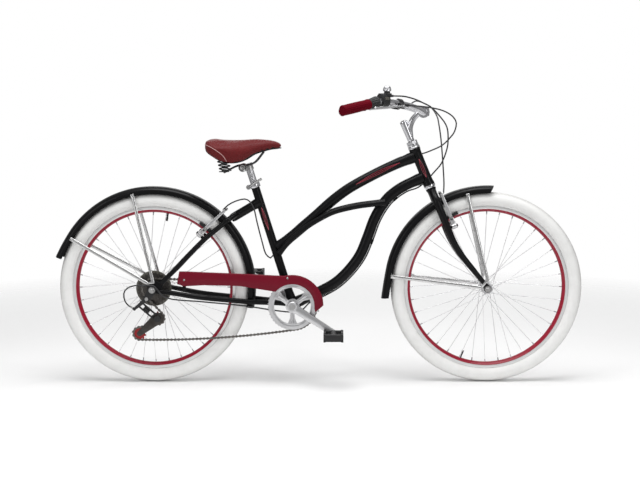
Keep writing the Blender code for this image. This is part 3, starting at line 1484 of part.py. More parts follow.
def make_fork():
    """The fork: a steerer, blades that meet below it, dropouts and brake studs."""
    beside_fender = FENDER_HALF_WIDTH + BLADE_RADIUS + 0.0020
    race = -CROWN_GAP
    steerer = rod(
        "fork", on_steerer(race - CROWN_HEIGHT, 0.0), on_steerer(HEADSET_TOP, 0.0),
        STEERER_RADIUS, BLACK_PAINT, 12
    )
    race_ring = rod(
        "crown_race", on_steerer(race - 0.0060, 0.0), on_steerer(race, 0.0), 0.0175, BLACK_PAINT, 12
    )
    pieces = [steerer, race_ring]
    for label, side in SIDES:
        steps = [
            (race - 0.0120, 0.0, 0.0060, BLADE_RADIUS + 0.0010),
            (race - 0.0230, 0.0, 0.0220, BLADE_RADIUS + 0.0005),
            (race - 0.0390, 0.0, 0.0390, BLADE_RADIUS),
            (race - 0.0640, 0.0, beside_fender + 0.0015, BLADE_RADIUS),
            (-0.33 * FORK_LENGTH, 0.0, beside_fender + 0.0025, BLADE_RADIUS - 0.0005),
            (-0.50 * FORK_LENGTH, 0.0, beside_fender + 0.0030, BLADE_RADIUS - 0.0015),
            (-0.64 * FORK_LENGTH, 0.17 * FORK_RAKE, beside_fender + 0.0045, 0.0108),
            (-0.80 * FORK_LENGTH, 0.56 * FORK_RAKE, FRONT_DROPOUT_MIDDLE - 0.0010, 0.0096),
            (-0.946 * FORK_LENGTH, 0.93 * FORK_RAKE, FRONT_DROPOUT_MIDDLE, BLADE_TIP_RADIUS),
        ]
        route = [on_steerer(up, out, side * y) for up, out, y, _radius in steps]
        radii = [radius for _up, _out, _y, radius in steps]
        blade = as_mesh(tube("fork_blade_" + label, route, radii, BLACK_PAINT, 8))
        foot = route[-1] * 1.0
        foot.y = 0.0
        outline = link_outline(FRONT, 0.0130, foot, 0.0078)
        hole = round_hole(FRONT, AXLE_RADIUS + GAP)
        dropout = as_mesh(
            plate(
                "front_dropout_" + label,
                [outline, hole],
                side * FRONT_DROPOUT_MIDDLE,
                DROPOUT_THICKNESS,
                BLACK_PAINT,
            )
        )
        pieces += [blade, dropout, *brake_stud("front_stud_" + label, FRONT_BRAKE, side, STEEL)]
    joined(*pieces)
    quill_room = rod(
        "quill_room",
        on_steerer(HEADSET_TOP - QUILL_DEPTH - 0.0100, 0.0),
        on_steerer(HEADSET_TOP + 0.0100, 0.0),
        STEERER_BORE + GAP,
        BLACK_PAINT,
        12,
    )
    return cut(steerer, quill_room)


BAR_CENTRE = on_steerer(BAR_HEIGHT, BAR_FORWARD)


def make_stem():
    """The stem: a quill post, and a neck that reaches forward to the bar's clamp."""
    top = HEADSET_TOP + QUILL_HEIGHT
    profile = [
        (0.0, top),
        (0.0105, top),
        (0.0135, top - 0.0030),
        (0.0130, top - 0.0260),
        (0.0116, HEADSET_TOP + 0.0080),
        (0.0116, HEADSET_TOP + 0.0010),
        (QUILL_RADIUS, HEADSET_TOP + 0.0005),
        (QUILL_RADIUS, HEADSET_TOP - QUILL_DEPTH),
        (0.0, HEADSET_TOP - QUILL_DEPTH),
    ]
    post = turned("stem", profile, 14, HEAD_BASE, STEER_UP, CHROME)
    route = smooth_route(
        [
            on_steerer(HEADSET_TOP + 0.0130, 0.0020),
            on_steerer(HEADSET_TOP + 0.0440, 0.0123),
            on_steerer(BAR_HEIGHT - 0.0106, 0.41 * BAR_FORWARD),
            on_steerer(BAR_HEIGHT + 0.0010, 0.72 * BAR_FORWARD),
            BAR_CENTRE,
        ],
        0.020,
    )
    neck = as_mesh(tube("stem_neck", route, 0.0100, CHROME, 10))
    half = LEFT * STEM_CLAMP_HALF_WIDTH
    clamp = rod(
        "stem_clamp", BAR_CENTRE - half, BAR_CENTRE + half, STEM_CLAMP_RADIUS, CHROME, 14
    )
    bar_room = rod(
        "bar_room",
        BAR_CENTRE - half * 1.5,
        BAR_CENTRE + half * 1.5,
        BAR_CLAMP_RADIUS + 2.0 * GAP,
        CHROME,
        14,
    )
    joined(post, neck, clamp)
    return cut(post, bar_room)


BAR_BENDS = (
    (0.0000, 0.0220, 0.0000),
    (-0.0070, 0.0360, 0.0010),
    (-0.0290, 0.0650, 0.0120),
    (-0.0630, 0.1100, 0.0220),
    (-0.1075, 0.1630, 0.0305),
    (-0.1650, 0.2215, 0.0320),
    (-0.2810, 0.3300, 0.0040),
)


def bar_point(index, side):
    """A bend of the handlebar, on one side."""
    x, y, z = BAR_BENDS[index]
    return BAR_CENTRE + at(x, side * y, z)


def make_handlebar():
    """The swept handlebar, with straight legs for the controls and the grips."""
    right = [bar_point(index, RIGHT_SIDE) for index in range(4)]
    half = smooth_route(right, 0.036)
    half += [bar_point(index, RIGHT_SIDE) for index in range(4, 7)]
    other = [at(point.x, -point.y, point.z) for point in half]
    route = list(reversed(half)) + other
    radii = [
        BAR_CLAMP_RADIUS if abs(point.y) < BAR_BENDS[1][1] else BAR_RADIUS for point in route
    ]
    return tube("handlebar", route, radii, CHROME, 10)


def leg_point(side, from_end):
    """A point on the grip's leg of the bar, measured from its end."""
    end = bar_point(6, side)
    return end + (bar_point(5, side) - end).normalized() * from_end


def make_grip(name, side):
    """A ribbed grip, closed at the bar's end."""
    end = leg_point(side, -0.0035)
    along = (leg_point(side, 0.1) - end).normalized()
    bore = clear_of(BAR_RADIUS, 12)
    depth = 0.0035 - GAP
    profile = [
        (0.0, depth),
        (bore, depth),
        (bore, GRIP_LENGTH),
        (GRIP_RADIUS + 0.0012, GRIP_LENGTH),
        (GRIP_RADIUS + 0.0012, GRIP_LENGTH - 0.0050),
        (GRIP_RADIUS, GRIP_LENGTH - 0.0080),
        (GRIP_RADIUS, 0.0060),
        (GRIP_RADIUS - 0.0020, 0.0),
        (0.0, 0.0),
    ]
    return turned(name, profile, 12, end, along, RED_RUBBER)


SHIFT_GRIP_LENGTH = 0.0370


def make_shift_grip():
    """The twist grip that changes gear, inside the right-hand grip."""
    start = leg_point(RIGHT_SIDE, GRIP_LENGTH - 0.0035 + 2.0 * GAP)
    along = (leg_point(RIGHT_SIDE, 0.2) - start).normalized()
    bore = BAR_RADIUS + RUN_GAP
    profile = [
        (bore, SHIFT_GRIP_LENGTH),
        (0.0200, SHIFT_GRIP_LENGTH),
        (0.0205, SHIFT_GRIP_LENGTH - 0.0060),
        (0.0165, 0.0030),
        (0.0150, 0.0),
        (bore, 0.0),
    ]
    return turned("shift_grip", profile, 12, start, along, BLACK_PLASTIC, loop=True)


def level_block(name, centre, size, along, material):
    """A box of (along, across, height) size, with its X axis along a direction."""
    forward = along.normalized()
    across = UP.cross(forward).normalized()
    turn = Matrix((forward, across, forward.cross(across))).transposed().to_4x4()
    item = block(name, Vector(), size, material)
    item.matrix_world = Matrix.Translation(centre) @ turn
    return item


HOUSING_LENGTH = 0.0340
HOUSING_WIDTH = 0.0340
HOUSING_HEIGHT = 0.0410


def housing_centre():
    """The shifter housing's middle, just inside the twist grip on the bar's bend."""
    bend = bar_point(5, RIGHT_SIDE)
    inward = (bar_point(4, RIGHT_SIDE) - bend).normalized()
    return bend + inward * (HOUSING_LENGTH / 2.0 + 0.0100), inward


def make_bell(centre, inward):
    """A small dome bell, with its foot in the shifter housing's top."""
    foot = centre + UP * (0.0055 + HOUSING_HEIGHT / 2.0) + inward * 0.0050
    profile = [
        (0.0, 0.0293), (0.0060, 0.0283), (0.0110, 0.0243), (0.0135, 0.0173), (0.0138, 0.0113),
        (0.0105, 0.0108), (0.0100, 0.0), (0.0, 0.0),
    ]
    return turned("bell", profile, 12, foot, UP, CHROME)


def make_shifter_housing():
    """The gear indicator's housing on the bar, with the shift cable's barrel and the bell."""
    centre, inward = housing_centre()
    body = level_block(
        "shifter_housing",
        centre + UP * 0.0065,
        (HOUSING_LENGTH, HOUSING_WIDTH, HOUSING_HEIGHT),
        inward,
        BLACK_PLASTIC,
    )
    bore = rod(
        "housing_bore",
        centre - inward * 0.04,
        centre + inward * 0.04,
        BAR_RADIUS + 2.0 * GAP,
        BLACK_PLASTIC,
        16,
    )
    mouth = SHIFT_LOOP[0]
    along = (SHIFT_LOOP[1] - mouth).normalized()
    mouth = mouth - along * GAP
    barrel = rod("shift_barrel", mouth - along * 0.0200, mouth, 0.0038, BLACK_PLASTIC, 10)
    joined(body, barrel, make_bell(centre, inward))
    return cut(body, bore)


LEVER_PIVOT = (-0.0800, 0.1730, 0.0190)     # from the bar's centre
LEVER_BENDS = ((-0.0960, 0.2010, 0.0175), (-0.1370, 0.2580, 0.0145), (-0.1800, 0.3160, 0.0120))
BARREL_END = (-0.0570, 0.1390, 0.0210)
LEVER_BOSS_HALF = 0.0050


def beside_bar(place, side):
    """A point given from the bar's centre, on one side."""
    x, y, z = place
    return by_bar(x, side * y, z)


def make_brake_bracket(name, side):
    """A brake lever's clamp on the bar, with its pivot's cheeks and the cable's barrel."""
    inner = bar_point(3, side)
    outer = bar_point(4, side)
    along = (outer - inner).normalized()
    centre = inner.lerp(outer, 0.66)
    ring = rod(
        name, centre - along * 0.0080, centre + along * 0.0080, 0.0162, DARK_METAL, 12
    )
    pivot = beside_bar(LEVER_PIVOT, side)
    reach = pivot - centre
    body = level_block(
        name + "_body",
        centre + reach * 0.42 - along * 0.0020,
        (reach.length * 0.62, 0.0160, 0.0150),
        reach,
        DARK_METAL,
    )
    pieces = [ring, body]
    for label, sign in (("upper", 1.0), ("lower", -1.0)):
        near = pivot + UP * sign * (LEVER_BOSS_HALF + RUN_GAP)
        far = near + UP * sign * 0.0030
        pieces.append(rod(f"{name}_{label}_cheek", near, far, 0.0070, DARK_METAL, 8))
        middle = (near + far) / 2.0
        strip_along = centre - pivot
        strip_along.z = 0.0
        pieces.append(
            level_block(
                f"{name}_{label}_strip",
                middle + strip_along * 0.25,
                (strip_along.length * 0.5, 0.0120, 0.0030),
                strip_along,
                DARK_METAL,
            )
        )
    pin_half = UP * (LEVER_BOSS_HALF + 0.0020)
    pieces.append(rod(name + "_pin", pivot - pin_half, pivot + pin_half, 0.0020, DARK_METAL, 6))
    barrel_end = beside_bar(BARREL_END, side)
    barrel_start = centre + reach * 0.45
    pieces.append(rod(name + "_barrel", barrel_start, barrel_end, 0.0045, DARK_METAL, 8))
    bar_room = rod(
        name + "_bar_room",
        centre - along * 0.04,
        centre + along * 0.04,
        BAR_RADIUS + 2.0 * GAP,
        DARK_METAL,
        12,
    )
    joined(*pieces)
    return cut(ring, bar_room)


def make_brake_lever(name, side):
    """A two-finger brake lever, from its boss to its rounded tip."""
    pivot = beside_bar(LEVER_PIVOT, side)
    half = UP * LEVER_BOSS_HALF
    boss = rod(name, pivot - half, pivot + half, 0.0062, ALUMINIUM, 12)
    route = [pivot] + [beside_bar(bend, side) for bend in LEVER_BENDS]
    route = smooth_route(route, 0.040)
    radii = [0.0045] * (len(route) - 1) + [0.0040]
    blade = as_mesh(tube(name + "_blade", route, radii, ALUMINIUM, 8))
    pin_room = rod(name + "_pin_room", pivot - half * 1.5, pivot + half * 1.5, 0.0025, ALUMINIUM, 8)
    joined(boss, blade)
    return cut(boss, pin_room)


def make_brake_arm(name, hub, brake, side):
    """A linear-pull brake arm, with its pad beside the rim."""
    root, arm, stud = brake
    base = root + stud * BRAKE_ARM_AHEAD + LEFT * side * BRAKE_PIVOT_OFFSET
    half = stud * BRAKE_BOSS_LENGTH / 2.0
    boss = rod(name, base - half, base + half, BRAKE_BOSS_RADIUS, STEEL, 10)
    top = base + arm * BRAKE_ARM_LENGTH - LEFT * side * 0.0010
    beam = rod(name + "_beam", base, top, 0.0058, STEEL, 6)
    track = RIM_RADIUS - BRAKE_PAD_HEIGHT / 2.0 + 0.0005
    start = root + stud * BRAKE_ARM_AHEAD - hub
    along = start.dot(arm)
    rise = -along + math.sqrt(along ** 2 - start.length_squared + track ** 2)
    pad_middle = RIM_HALF_WIDTH + BRAKE_PAD_CLEARANCE + BRAKE_PAD_THICKNESS / 2.0
    on_arm = base + arm * rise
    centre = on_arm * 1.0
    centre.y = side * pad_middle
    radial = (centre - hub)
    radial.y = 0.0
    radial.normalize()
    tangential = radial.cross(LEFT)
    pad = upright_block(
        name + "_pad",
        centre,
        (BRAKE_PAD_LENGTH, BRAKE_PAD_THICKNESS, BRAKE_PAD_HEIGHT),
        tangential,
        BLACK_PLASTIC,
    )
    holder = rod(name + "_holder", centre, on_arm, 0.0038, STEEL, 6)
    stud_room = rod(
        name + "_stud_room", base - half * 1.5, base + half * 1.5, BRAKE_STUD_RADIUS + RUN_GAP,
        STEEL, 10
    )
    joined(boss, beam, pad, holder)
    return cut(boss, stud_room)


# Saddle
POST_TOP = SEAT_TOP + SEAT_UP * POST_HEIGHT
CLAMP_BEHIND = -0.0168
CLAMP_BELOW = -0.0105
SPRING_FOOT = (-0.0793, -0.0185)            # wire's lower end, from the post's top
SPRING_HEAD = (-0.0873, 0.0175)
SADDLE_REAR = -0.1438                       # from the post's top
NOSE_PIVOT = (0.0537, 0.0415)


def by_post(x, y, z):
    """A point given from the seat post's top."""
    return POST_TOP + at(x, y, z)


def make_seat_post():
    """The seat post."""
    start = SEAT_TOP - SEAT_UP * POST_DEPTH
    return rod("seat_post", start, POST_TOP, POST_RADIUS, CHROME, 16)


def make_saddle_rails():
    """The saddle's rails on their clamp, with the springs' seats behind."""
    sleeve = rod(
        "saddle_rails",
        POST_TOP - SEAT_UP * 0.0220,
        POST_TOP + SEAT_UP * 0.0040,
        POST_RADIUS + 0.0038,
        DARK_METAL,
        12,
    )
    half = LEFT * (SADDLE_RAIL_OFFSET + 0.0090)
    middle = by_post(CLAMP_BEHIND, 0.0, CLAMP_BELOW)
    clamp = rod("rail_clamp", middle - half, middle + half, 0.0145, STEEL, 12)
    pieces = [sleeve, clamp]
    spring_x, spring_z = SPRING_FOOT
    seat_z = spring_z - SPRING_WIRE_RADIUS - GAP
    for label, side in SIDES:
        route = [
            by_post(spring_x + 0.0010, side * SADDLE_RAIL_OFFSET, seat_z - 0.0040),
            by_post(-0.0363, side * SADDLE_RAIL_OFFSET, -0.0045),
            by_post(0.0017, side * SADDLE_RAIL_OFFSET, -0.0010),
            by_post(0.0257, side * SADDLE_RAIL_OFFSET, 0.0085),
            by_post(NOSE_PIVOT[0], side * 0.0150, NOSE_PIVOT[1]),
        ]
        route = smooth_route(route, 0.040)
        pieces.append(
            as_mesh(tube("saddle_rail_" + label, route, SADDLE_RAIL_RADIUS, DARK_METAL, 6))
        )
        seat_top = by_post(spring_x, side * SPRING_OFFSET, seat_z)
        pieces.append(
            rod(
                "spring_seat_" + label,
                seat_top - UP * 0.0040,
                seat_top,
                SPRING_COIL_RADIUS + SPRING_WIRE_RADIUS,
                DARK_METAL,
                10,
            )
        )
    for label, x, z, reach in (
        ("rear_bar", spring_x + 0.0010, seat_z - 0.0040, SPRING_OFFSET),
        ("nose_bar", NOSE_PIVOT[0], NOSE_PIVOT[1], 0.0185),
    ):
        start = by_post(x, -reach, z)
        pieces.append(rod(label, start, by_post(x, reach, z), SADDLE_RAIL_RADIUS, DARK_METAL, 6))
    joined(*pieces)
    post_room = rod(
        "post_room",
        POST_TOP - SEAT_UP * 0.0600,
        POST_TOP + SEAT_UP * GAP,
        clear_of(POST_RADIUS, 16),
        DARK_METAL,
        16,
    )
    return cut(sleeve, post_room)


SADDLE_SECTIONS = (
    # share of length, top, share of half width, skirt, roof: heights from the post's top
    (0.000, 0.0845, 0.64, 0.0500, 0.0560),
    (0.030, 0.0882, 0.83, 0.0420, 0.0500),
    (0.085, 0.0888, 0.94, 0.0325, 0.0440),
    (0.186, 0.0848, 1.00, 0.0170, 0.0300),
    (0.342, 0.0830, 0.97, 0.0070, 0.0345),
    (0.500, 0.0835, 0.71, 0.0130, 0.0405),
    (0.650, 0.0858, 0.44, 0.0350, 0.0530),
    (0.850, 0.0860, 0.27, 0.0510, 0.0625),
    (0.955, 0.0795, 0.21, 0.0545, 0.0605),
    (1.000, 0.0690, 0.11, 0.0585, 0.0595),
)


def saddle_ring(top, width, skirt, roof):
    """(y, z) points round one cross-section of the saddle, open below where it is hollow."""
    height = top - skirt
    half = [
        (0.68 * width, top - 0.04 * height),
        (width, top - 0.30 * height),
        (0.98 * width, skirt + 0.10 * height),
        (0.88 * width, skirt),
        (0.76 * width, roof),
    ]
    ring = [(0.0, top)] + half + [(0.0, roof)]
    return ring + [(-y, z) for y, z in reversed(half)]


def make_saddle_cushion():
    """The padded saddle: a crowned top, skirts drawn in below, and pads over the springs."""
    shape = bmesh.new()
    rings = []
    for share, top, wide, skirt, roof in SADDLE_SECTIONS:
        x = SADDLE_REAR + share * SADDLE_LENGTH
        points = saddle_ring(top, wide * SADDLE_HALF_WIDTH, skirt, roof)
        rings.append([shape.verts.new(by_post(x, y, z)) for y, z in points])
    count = len(rings[0])
    for before, after in zip(rings, rings[1:]):
        for index in range(count):
            other = (index + 1) % count
            shape.faces.new((before[index], before[other], after[other], after[index]))
    shape.faces.new(rings[0])
    shape.faces.new(list(reversed(rings[-1])))
    bmesh.ops.recalc_face_normals(shape, faces=shape.faces)
    mesh = bpy.data.meshes.new("saddle_cushion")
    shape.to_mesh(mesh)
    shape.free()
    smooth(mesh, 60.0)
    item = link("saddle_cushion", mesh, RED_VINYL)
    soft = item.modifiers.new("Subdivision", "SUBSURF")
    soft.levels = 1
    soft.render_levels = 1
    head_x, head_z = SPRING_HEAD
    pad_z = head_z + SPRING_WIRE_RADIUS + GAP
    for label, side in SIDES:
        foot = by_post(head_x, side * SPRING_OFFSET, pad_z)
        pad_radius = SPRING_COIL_RADIUS + SPRING_WIRE_RADIUS
        pad = rod("spring_pad_" + label, foot, foot + UP * 0.0300, pad_radius, RED_VINYL, 8)
        joined(item, pad)
    lug_foot = NOSE_PIVOT[1] + SADDLE_RAIL_RADIUS + RUN_GAP
    lug = block(
        "nose_lug", by_post(NOSE_PIVOT[0], 0.0, lug_foot + 0.0100), (0.014, 0.026, 0.020), RED_VINYL
    )
    return joined(item, lug)


def make_saddle_spring(name, side):
    """A coil spring between the rails and the saddle, in one unbroken wire."""
    foot_x, foot_z = SPRING_FOOT
    head_x, head_z = SPRING_HEAD
    count = SPRING_CURLS * 8
    route = []
    for index in range(count + 1):
        share = index / count
        turn = 2.0 * math.pi * SPRING_CURLS * share
        x = foot_x + (head_x - foot_x) * share + SPRING_COIL_RADIUS * math.cos(turn)
        y = side * (SPRING_OFFSET + SPRING_COIL_RADIUS * math.sin(turn))
        route.append(by_post(x, y, foot_z + (head_z - foot_z) * share))
    closest = min(
        (route[index] - route[other]).length
        for index in range(len(route))
        for other in range(index + 5, len(route))
    )
    print(f"{name}: least gap to itself {(closest - 2.0 * SPRING_WIRE_RADIUS) * 1000.0:.2f} mm")
    return tube(name, route, SPRING_WIRE_RADIUS, DARK_METAL, 6)


def make_quick_release():
    """The collar's quick-release lever, on its bolt."""
    back = -at(SEAT_UP.z, 0.0, -SEAT_UP.x)
    low = SEAT_TOP - SEAT_UP * (COLLAR_HEIGHT - 0.0030)
    bolt = low + SEAT_UP * COLLAR_HEIGHT / 2.0 + back * (COLLAR_RADIUS + 0.0045)
    ear_half = 0.0075 + GAP
    pin = rod(
        "quick_release_lever", bolt - LEFT * 0.0160, bolt + LEFT * 0.0130, 0.0026, STEEL, 6
    )
    nut = rod("collar_nut", bolt + LEFT * ear_half, bolt + LEFT * 0.0125, 0.0055, STEEL, 8)
    cam = rod("collar_cam", bolt - LEFT * 0.0160, bolt - LEFT * ear_half, 0.0062, STEEL, 8)
    beside = COLLAR_RADIUS + 0.0065
    route = smooth_route(
        [
            bolt - LEFT * 0.0140,
            bolt + at(0.0100, -(beside - 0.0035), 0.0060),
            bolt + at(0.0250, -beside, 0.0180),
            bolt + at(0.0480, -beside - 0.0030, 0.0310),
        ],
        0.012,
    )
    handle = as_mesh(tube("collar_handle", route, 0.0034, STEEL, 6))
    return joined(pin, nut, cam, handle), bolt


# Cables
def beside_tube(route, first, last, turn, radius):
    """A cable's points beside some of a tube's points. The turn is 0 on its left, 90 above."""
    distance = radius + CABLE_RADIUS + 2.0 * GAP
    beside = []
    for index in range(first, last + 1):
        above = (route[index - 1] - route[index + 1]).normalized().cross(LEFT)
        if above.z < 0.0:
            above = -above
        out = LEFT * math.cos(math.radians(turn)) + above * math.sin(math.radians(turn))
        beside.append(route[index] + out * distance)
    return beside


def by_bar(x, y, z):
    """A point given from the bar's centre."""
    return BAR_CENTRE + at(x, y, z)


def by_head(x, y, z):
    """A point given from the head tube's foot."""
    return HEAD_BASE + at(x, y, z)


def by_seat(x, y, z):
    """A point given from the seat tube's top."""
    return SEAT_TOP + at(x, y, z)


def by_front(x, y, z):
    """A point given from the front axle."""
    return FRONT + at(x, y, z)


def by_crank(x, y, z):
    """A point given from the crank axle."""
    return CRANK_AXLE + at(x, y, z)


def by_rear(x, y, z):
    """A point given from the rear axle."""
    return REAR + at(x, y, z)


def by_rear_brake(x, y, z):
    """A point given from the rear brake's root."""
    return REAR_BRAKE[0] + at(x, y, z)


REAR_BRAKE_CABLE = (
    by_bar(-0.0567, -0.1388, 0.0211), by_bar(-0.0490, -0.1335, 0.0206),
    by_bar(-0.0240, -0.1120, 0.0191), by_bar(0.0140, -0.0850, 0.0151),
    by_bar(0.0540, -0.0550, 0.0071), by_bar(0.0800, -0.0350, -0.0029),
    by_bar(0.1020, -0.0140, -0.0179), by_bar(0.1140, 0.0020, -0.0379),
    by_bar(0.1090, 0.0180, -0.0689), by_head(0.0735, 0.0250, 0.1634),
    by_head(0.0485, 0.0300, 0.1384), by_head(0.0165, 0.0280, 0.1224),
    by_head(-0.0265, 0.0240, 0.1074),
    *beside_tube(top_tube_route(), 1, len(top_tube_route()) - 3, 45.0, TOP_TUBE_RADIUS),
    *beside_tube(top_tube_route()[-3:], 1, 1, 20.0, TOP_TUBE_RADIUS),
    by_crank(-0.0600, 0.0217, 0.1910), by_crank(-0.0700, 0.0140, 0.1690),
    by_crank(-0.0780, 0.0040, 0.1620), by_crank(-0.0940, -0.0020, 0.1770),
    by_crank(-0.1050, -0.0060, 0.2150), by_seat(0.0078, -0.0260, -0.1241),
    by_seat(-0.0032, -0.0290, -0.0741), by_seat(-0.0172, -0.0250, -0.0511),
    by_seat(-0.0342, -0.0240, -0.0426), by_rear_brake(0.1075, -0.0290, 0.1316),
    by_rear_brake(0.0825, -0.0360, 0.1186), by_rear_brake(0.0665, -0.0410, 0.1036),
)
FRONT_BRAKE_CABLE = (
    by_bar(-0.0567, 0.1388, 0.0211), by_bar(-0.0500, 0.1346, 0.0207),
    by_bar(-0.0370, 0.1270, 0.0291), by_bar(-0.0190, 0.1150, 0.0401),
    by_bar(0.0075, 0.0950, 0.0321), by_bar(0.0320, 0.0650, 0.0161), by_bar(0.0500, 0.0350, -0.0149),
    by_bar(0.0550, 0.0150, -0.0439), by_head(0.0375, -0.0020, 0.1739),
    by_head(0.0405, -0.0120, 0.1394), by_head(0.0455, -0.0200, 0.0704),
    by_front(-0.1520, -0.0280, 0.3665), by_front(-0.1540, -0.0390, 0.3340),
)
SHIFT_LOOP = (
    by_bar(-0.1130, -0.1900, 0.0521), by_bar(-0.0790, -0.1750, 0.0511),
    by_bar(-0.0540, -0.1550, 0.0461), by_bar(-0.0335, -0.1350, 0.0401),
    by_bar(-0.0070, -0.1050, 0.0291), by_bar(0.0215, -0.0720, 0.0151),
    by_bar(0.0650, -0.0180, -0.0269), by_bar(0.0810, 0.0020, -0.0509),
    by_head(0.0655, 0.0160, 0.1734), by_head(0.0640, 0.0240, 0.1299),
    by_head(0.0445, 0.0300, 0.0744), by_head(0.0165, 0.0310, 0.0404),
    by_head(-0.0045, 0.0290, 0.0164), by_head(-0.0375, 0.0200, -0.0096),
)
SHIFT_STOP = (SHIFT_LOOP[-1] - SHIFT_LOOP[-2]).normalized() * CABLE_STOP_LENGTH
SHIFT_CABLE = (
    SHIFT_LOOP[-1] + SHIFT_STOP,
    *beside_tube(down_tube_route(), 1, len(down_tube_route()) - 2, -90.0, DOWN_TUBE_RADIUS),
    by_crank(0.0360, -0.0040, -0.0190), by_crank(0.0000, -0.0140, -0.0270),
    by_crank(-0.0610, -0.0300, -0.0190), by_rear(0.3220, -0.0440, -0.0600),
    by_rear(0.1640, -0.0520, -0.0430), by_rear(0.0680, -0.0620, -0.0330),
    by_rear(0.0360, -0.0765, -0.0170), by_rear(0.0200, -0.0797, 0.0040),
    by_rear(0.0080, -0.0785, 0.0158), by_rear(-0.0080, -0.0770, 0.0170),
    by_rear(-0.0290, -0.0748, 0.0165), by_rear(-0.0560, -0.0712, 0.0165),
    by_rear(-0.0850, -0.0678, 0.0070), by_rear(-0.0985, -0.0660, -0.0120),
    by_rear(-0.0950, -0.0660, -0.0385), by_rear(-0.0830, -0.0660, -0.0546), SHIFT_CABLE_END,
)


def make_cable(name, points, spacing=0.075):
    """A cable in its housing, along its route."""
    return tube(name, smooth_route(points, spacing), CABLE_RADIUS, CABLE_HOUSING, 8)


def spin_all(items):
    """Shade turned pieces smooth."""
    for item in items:
        if item.type == "MESH":
            for modifier in item.modifiers:
                if modifier.type == "SCREW":
                    modifier.use_smooth_shade = True


# The bicycle: fixed pieces first, then each moving body on its joint
make_head_tube()
make_top_tube()
make_down_tube()
make_lateral_tubes()
make_seat_tube()
make_chain_stays()
make_seat_stays()
make_seat_collar()
make_rear_fender()
make_chain_guard()
make_rear_axle()
make_chain()
make_derailleur_bracket()
make_cable("shift_cable", SHIFT_CABLE)
make_cable("rear_brake_cable", REAR_BRAKE_CABLE)
REAR_EYES = ((0.0050, 0.0270), (-0.0150, 0.0240))
REAR_FEET = (101.8, 148.5)
FRONT_EYES = ((-0.0020, 0.0330), (-0.0240, 0.0060))
FRONT_FEET = (102.1, 172.9)
rear_eye_face = REAR_DROPOUT_SPACE / 2.0 + DROPOUT_THICKNESS
front_eye_face = FRONT_DROPOUT_MIDDLE + BLADE_TIP_RADIUS
for label, side in SIDES:
    name = "rear_fender_stays_" + label
    make_fender_stays(name, REAR, side, rear_eye_face, REAR_EYES, REAR_FEET)

steering = joint("steering_joint", HEAD_BASE)
steered = [make_fork(), make_front_axle(), make_stem(), make_handlebar(), make_front_fender()]
steered += [make_shifter_housing(), make_cable("front_brake_cable", FRONT_BRAKE_CABLE)]
steered.append(make_cable("shift_cable_loop", SHIFT_LOOP))
for label, side in SIDES:
    name = "front_fender_stays_" + label
    steered.append(make_fender_stays(name, FRONT, side, front_eye_face, FRONT_EYES, FRONT_FEET))
    steered.append(make_grip("grip_" + label, side))
    steered.append(make_brake_bracket("brake_bracket_" + label, side))
carry(steering, *steered)

front_wheel = joint("front_wheel_joint", FRONT, steering)
hub_end = FRONT_DROPOUT_SPACE / 2.0 - LOCKNUT_WIDTH - 5.0 * RUN_GAP
carry(
    front_wheel,
    make_tyre("front_tyre", FRONT),
    make_rim("front_rim", FRONT),
    make_spokes(
        "front_spokes",
        FRONT,
        (FRONT_FLANGE_OFFSET, -FRONT_FLANGE_OFFSET),
        FRONT_FLANGE_RADIUS,
        (hub_end, -hub_end),
        0.0110,
    ),
)

rear_wheel = joint("rear_wheel_joint", REAR)
hub_left = REAR_DROPOUT_SPACE / 2.0 - LOCKNUT_WIDTH - 5.0 * RUN_GAP
hub_right = REAR_FLANGE_RIGHT + FLANGE_WIDTH / 2.0 + GAP
carry(
    rear_wheel,
    make_tyre("rear_tyre", REAR),
    make_rim("rear_rim", REAR),
    make_spokes(
        "rear_spokes",
        REAR,
        (REAR_FLANGE_LEFT, -REAR_FLANGE_RIGHT),
        REAR_FLANGE_RADIUS,
        (hub_left, -hub_right),
        0.0130,
    ),
)
carry(joint("freewheel_joint", REAR), make_freewheel())

crank = joint("crank_joint", CRANK_AXLE)
carry(crank, make_crank_right(), make_crank_left())
for label, side in SIDES:
    place = pedal_axle(side) + LEFT * side * PEDAL_OFFSET
    carry(joint(f"pedal_{label}_joint", place, crank), make_pedal("pedal_" + label, side))
    lever = joint(f"brake_lever_{label}_joint", beside_bar(LEVER_PIVOT, side), steering)
    carry(lever, make_brake_lever("brake_lever_" + label, side))
    for end, hub, brake, carrier in (
        ("front", FRONT, FRONT_BRAKE, steering),
        ("rear", REAR, REAR_BRAKE, None),
    ):
        pivot = brake[0] + LEFT * side * BRAKE_PIVOT_OFFSET
        arm_joint = joint(f"{end}_brake_{label}_joint", pivot, carrier)
        carry(arm_joint, make_brake_arm(f"{end}_brake_arm_{label}", hub, brake, side))
carry(joint("shift_grip_joint", leg_point(RIGHT_SIDE, GRIP_LENGTH), steering), make_shift_grip())

swing = joint("derailleur_joint", LINK_TOP - LEFT * LINK_OFFSET)
carry(swing, make_derailleur_link())
knuckle = joint("knuckle_joint", LINK_END - LEFT * LINK_OFFSET, swing)
carry(knuckle, make_derailleur_knuckle())
cage = joint("cage_joint", GUIDE_AXLE - LEFT * CHAIN_LINE, knuckle)
carry(cage, make_derailleur_cage())
guide = joint("guide_pulley_joint", GUIDE_AXLE - LEFT * CHAIN_LINE, cage)
carry(guide, make_pulley("guide_pulley", GUIDE_AXLE))
tension = joint("tension_pulley_joint", TENSION_AXLE - LEFT * CHAIN_LINE, cage)
carry(tension, make_pulley("tension_pulley", TENSION_AXLE))

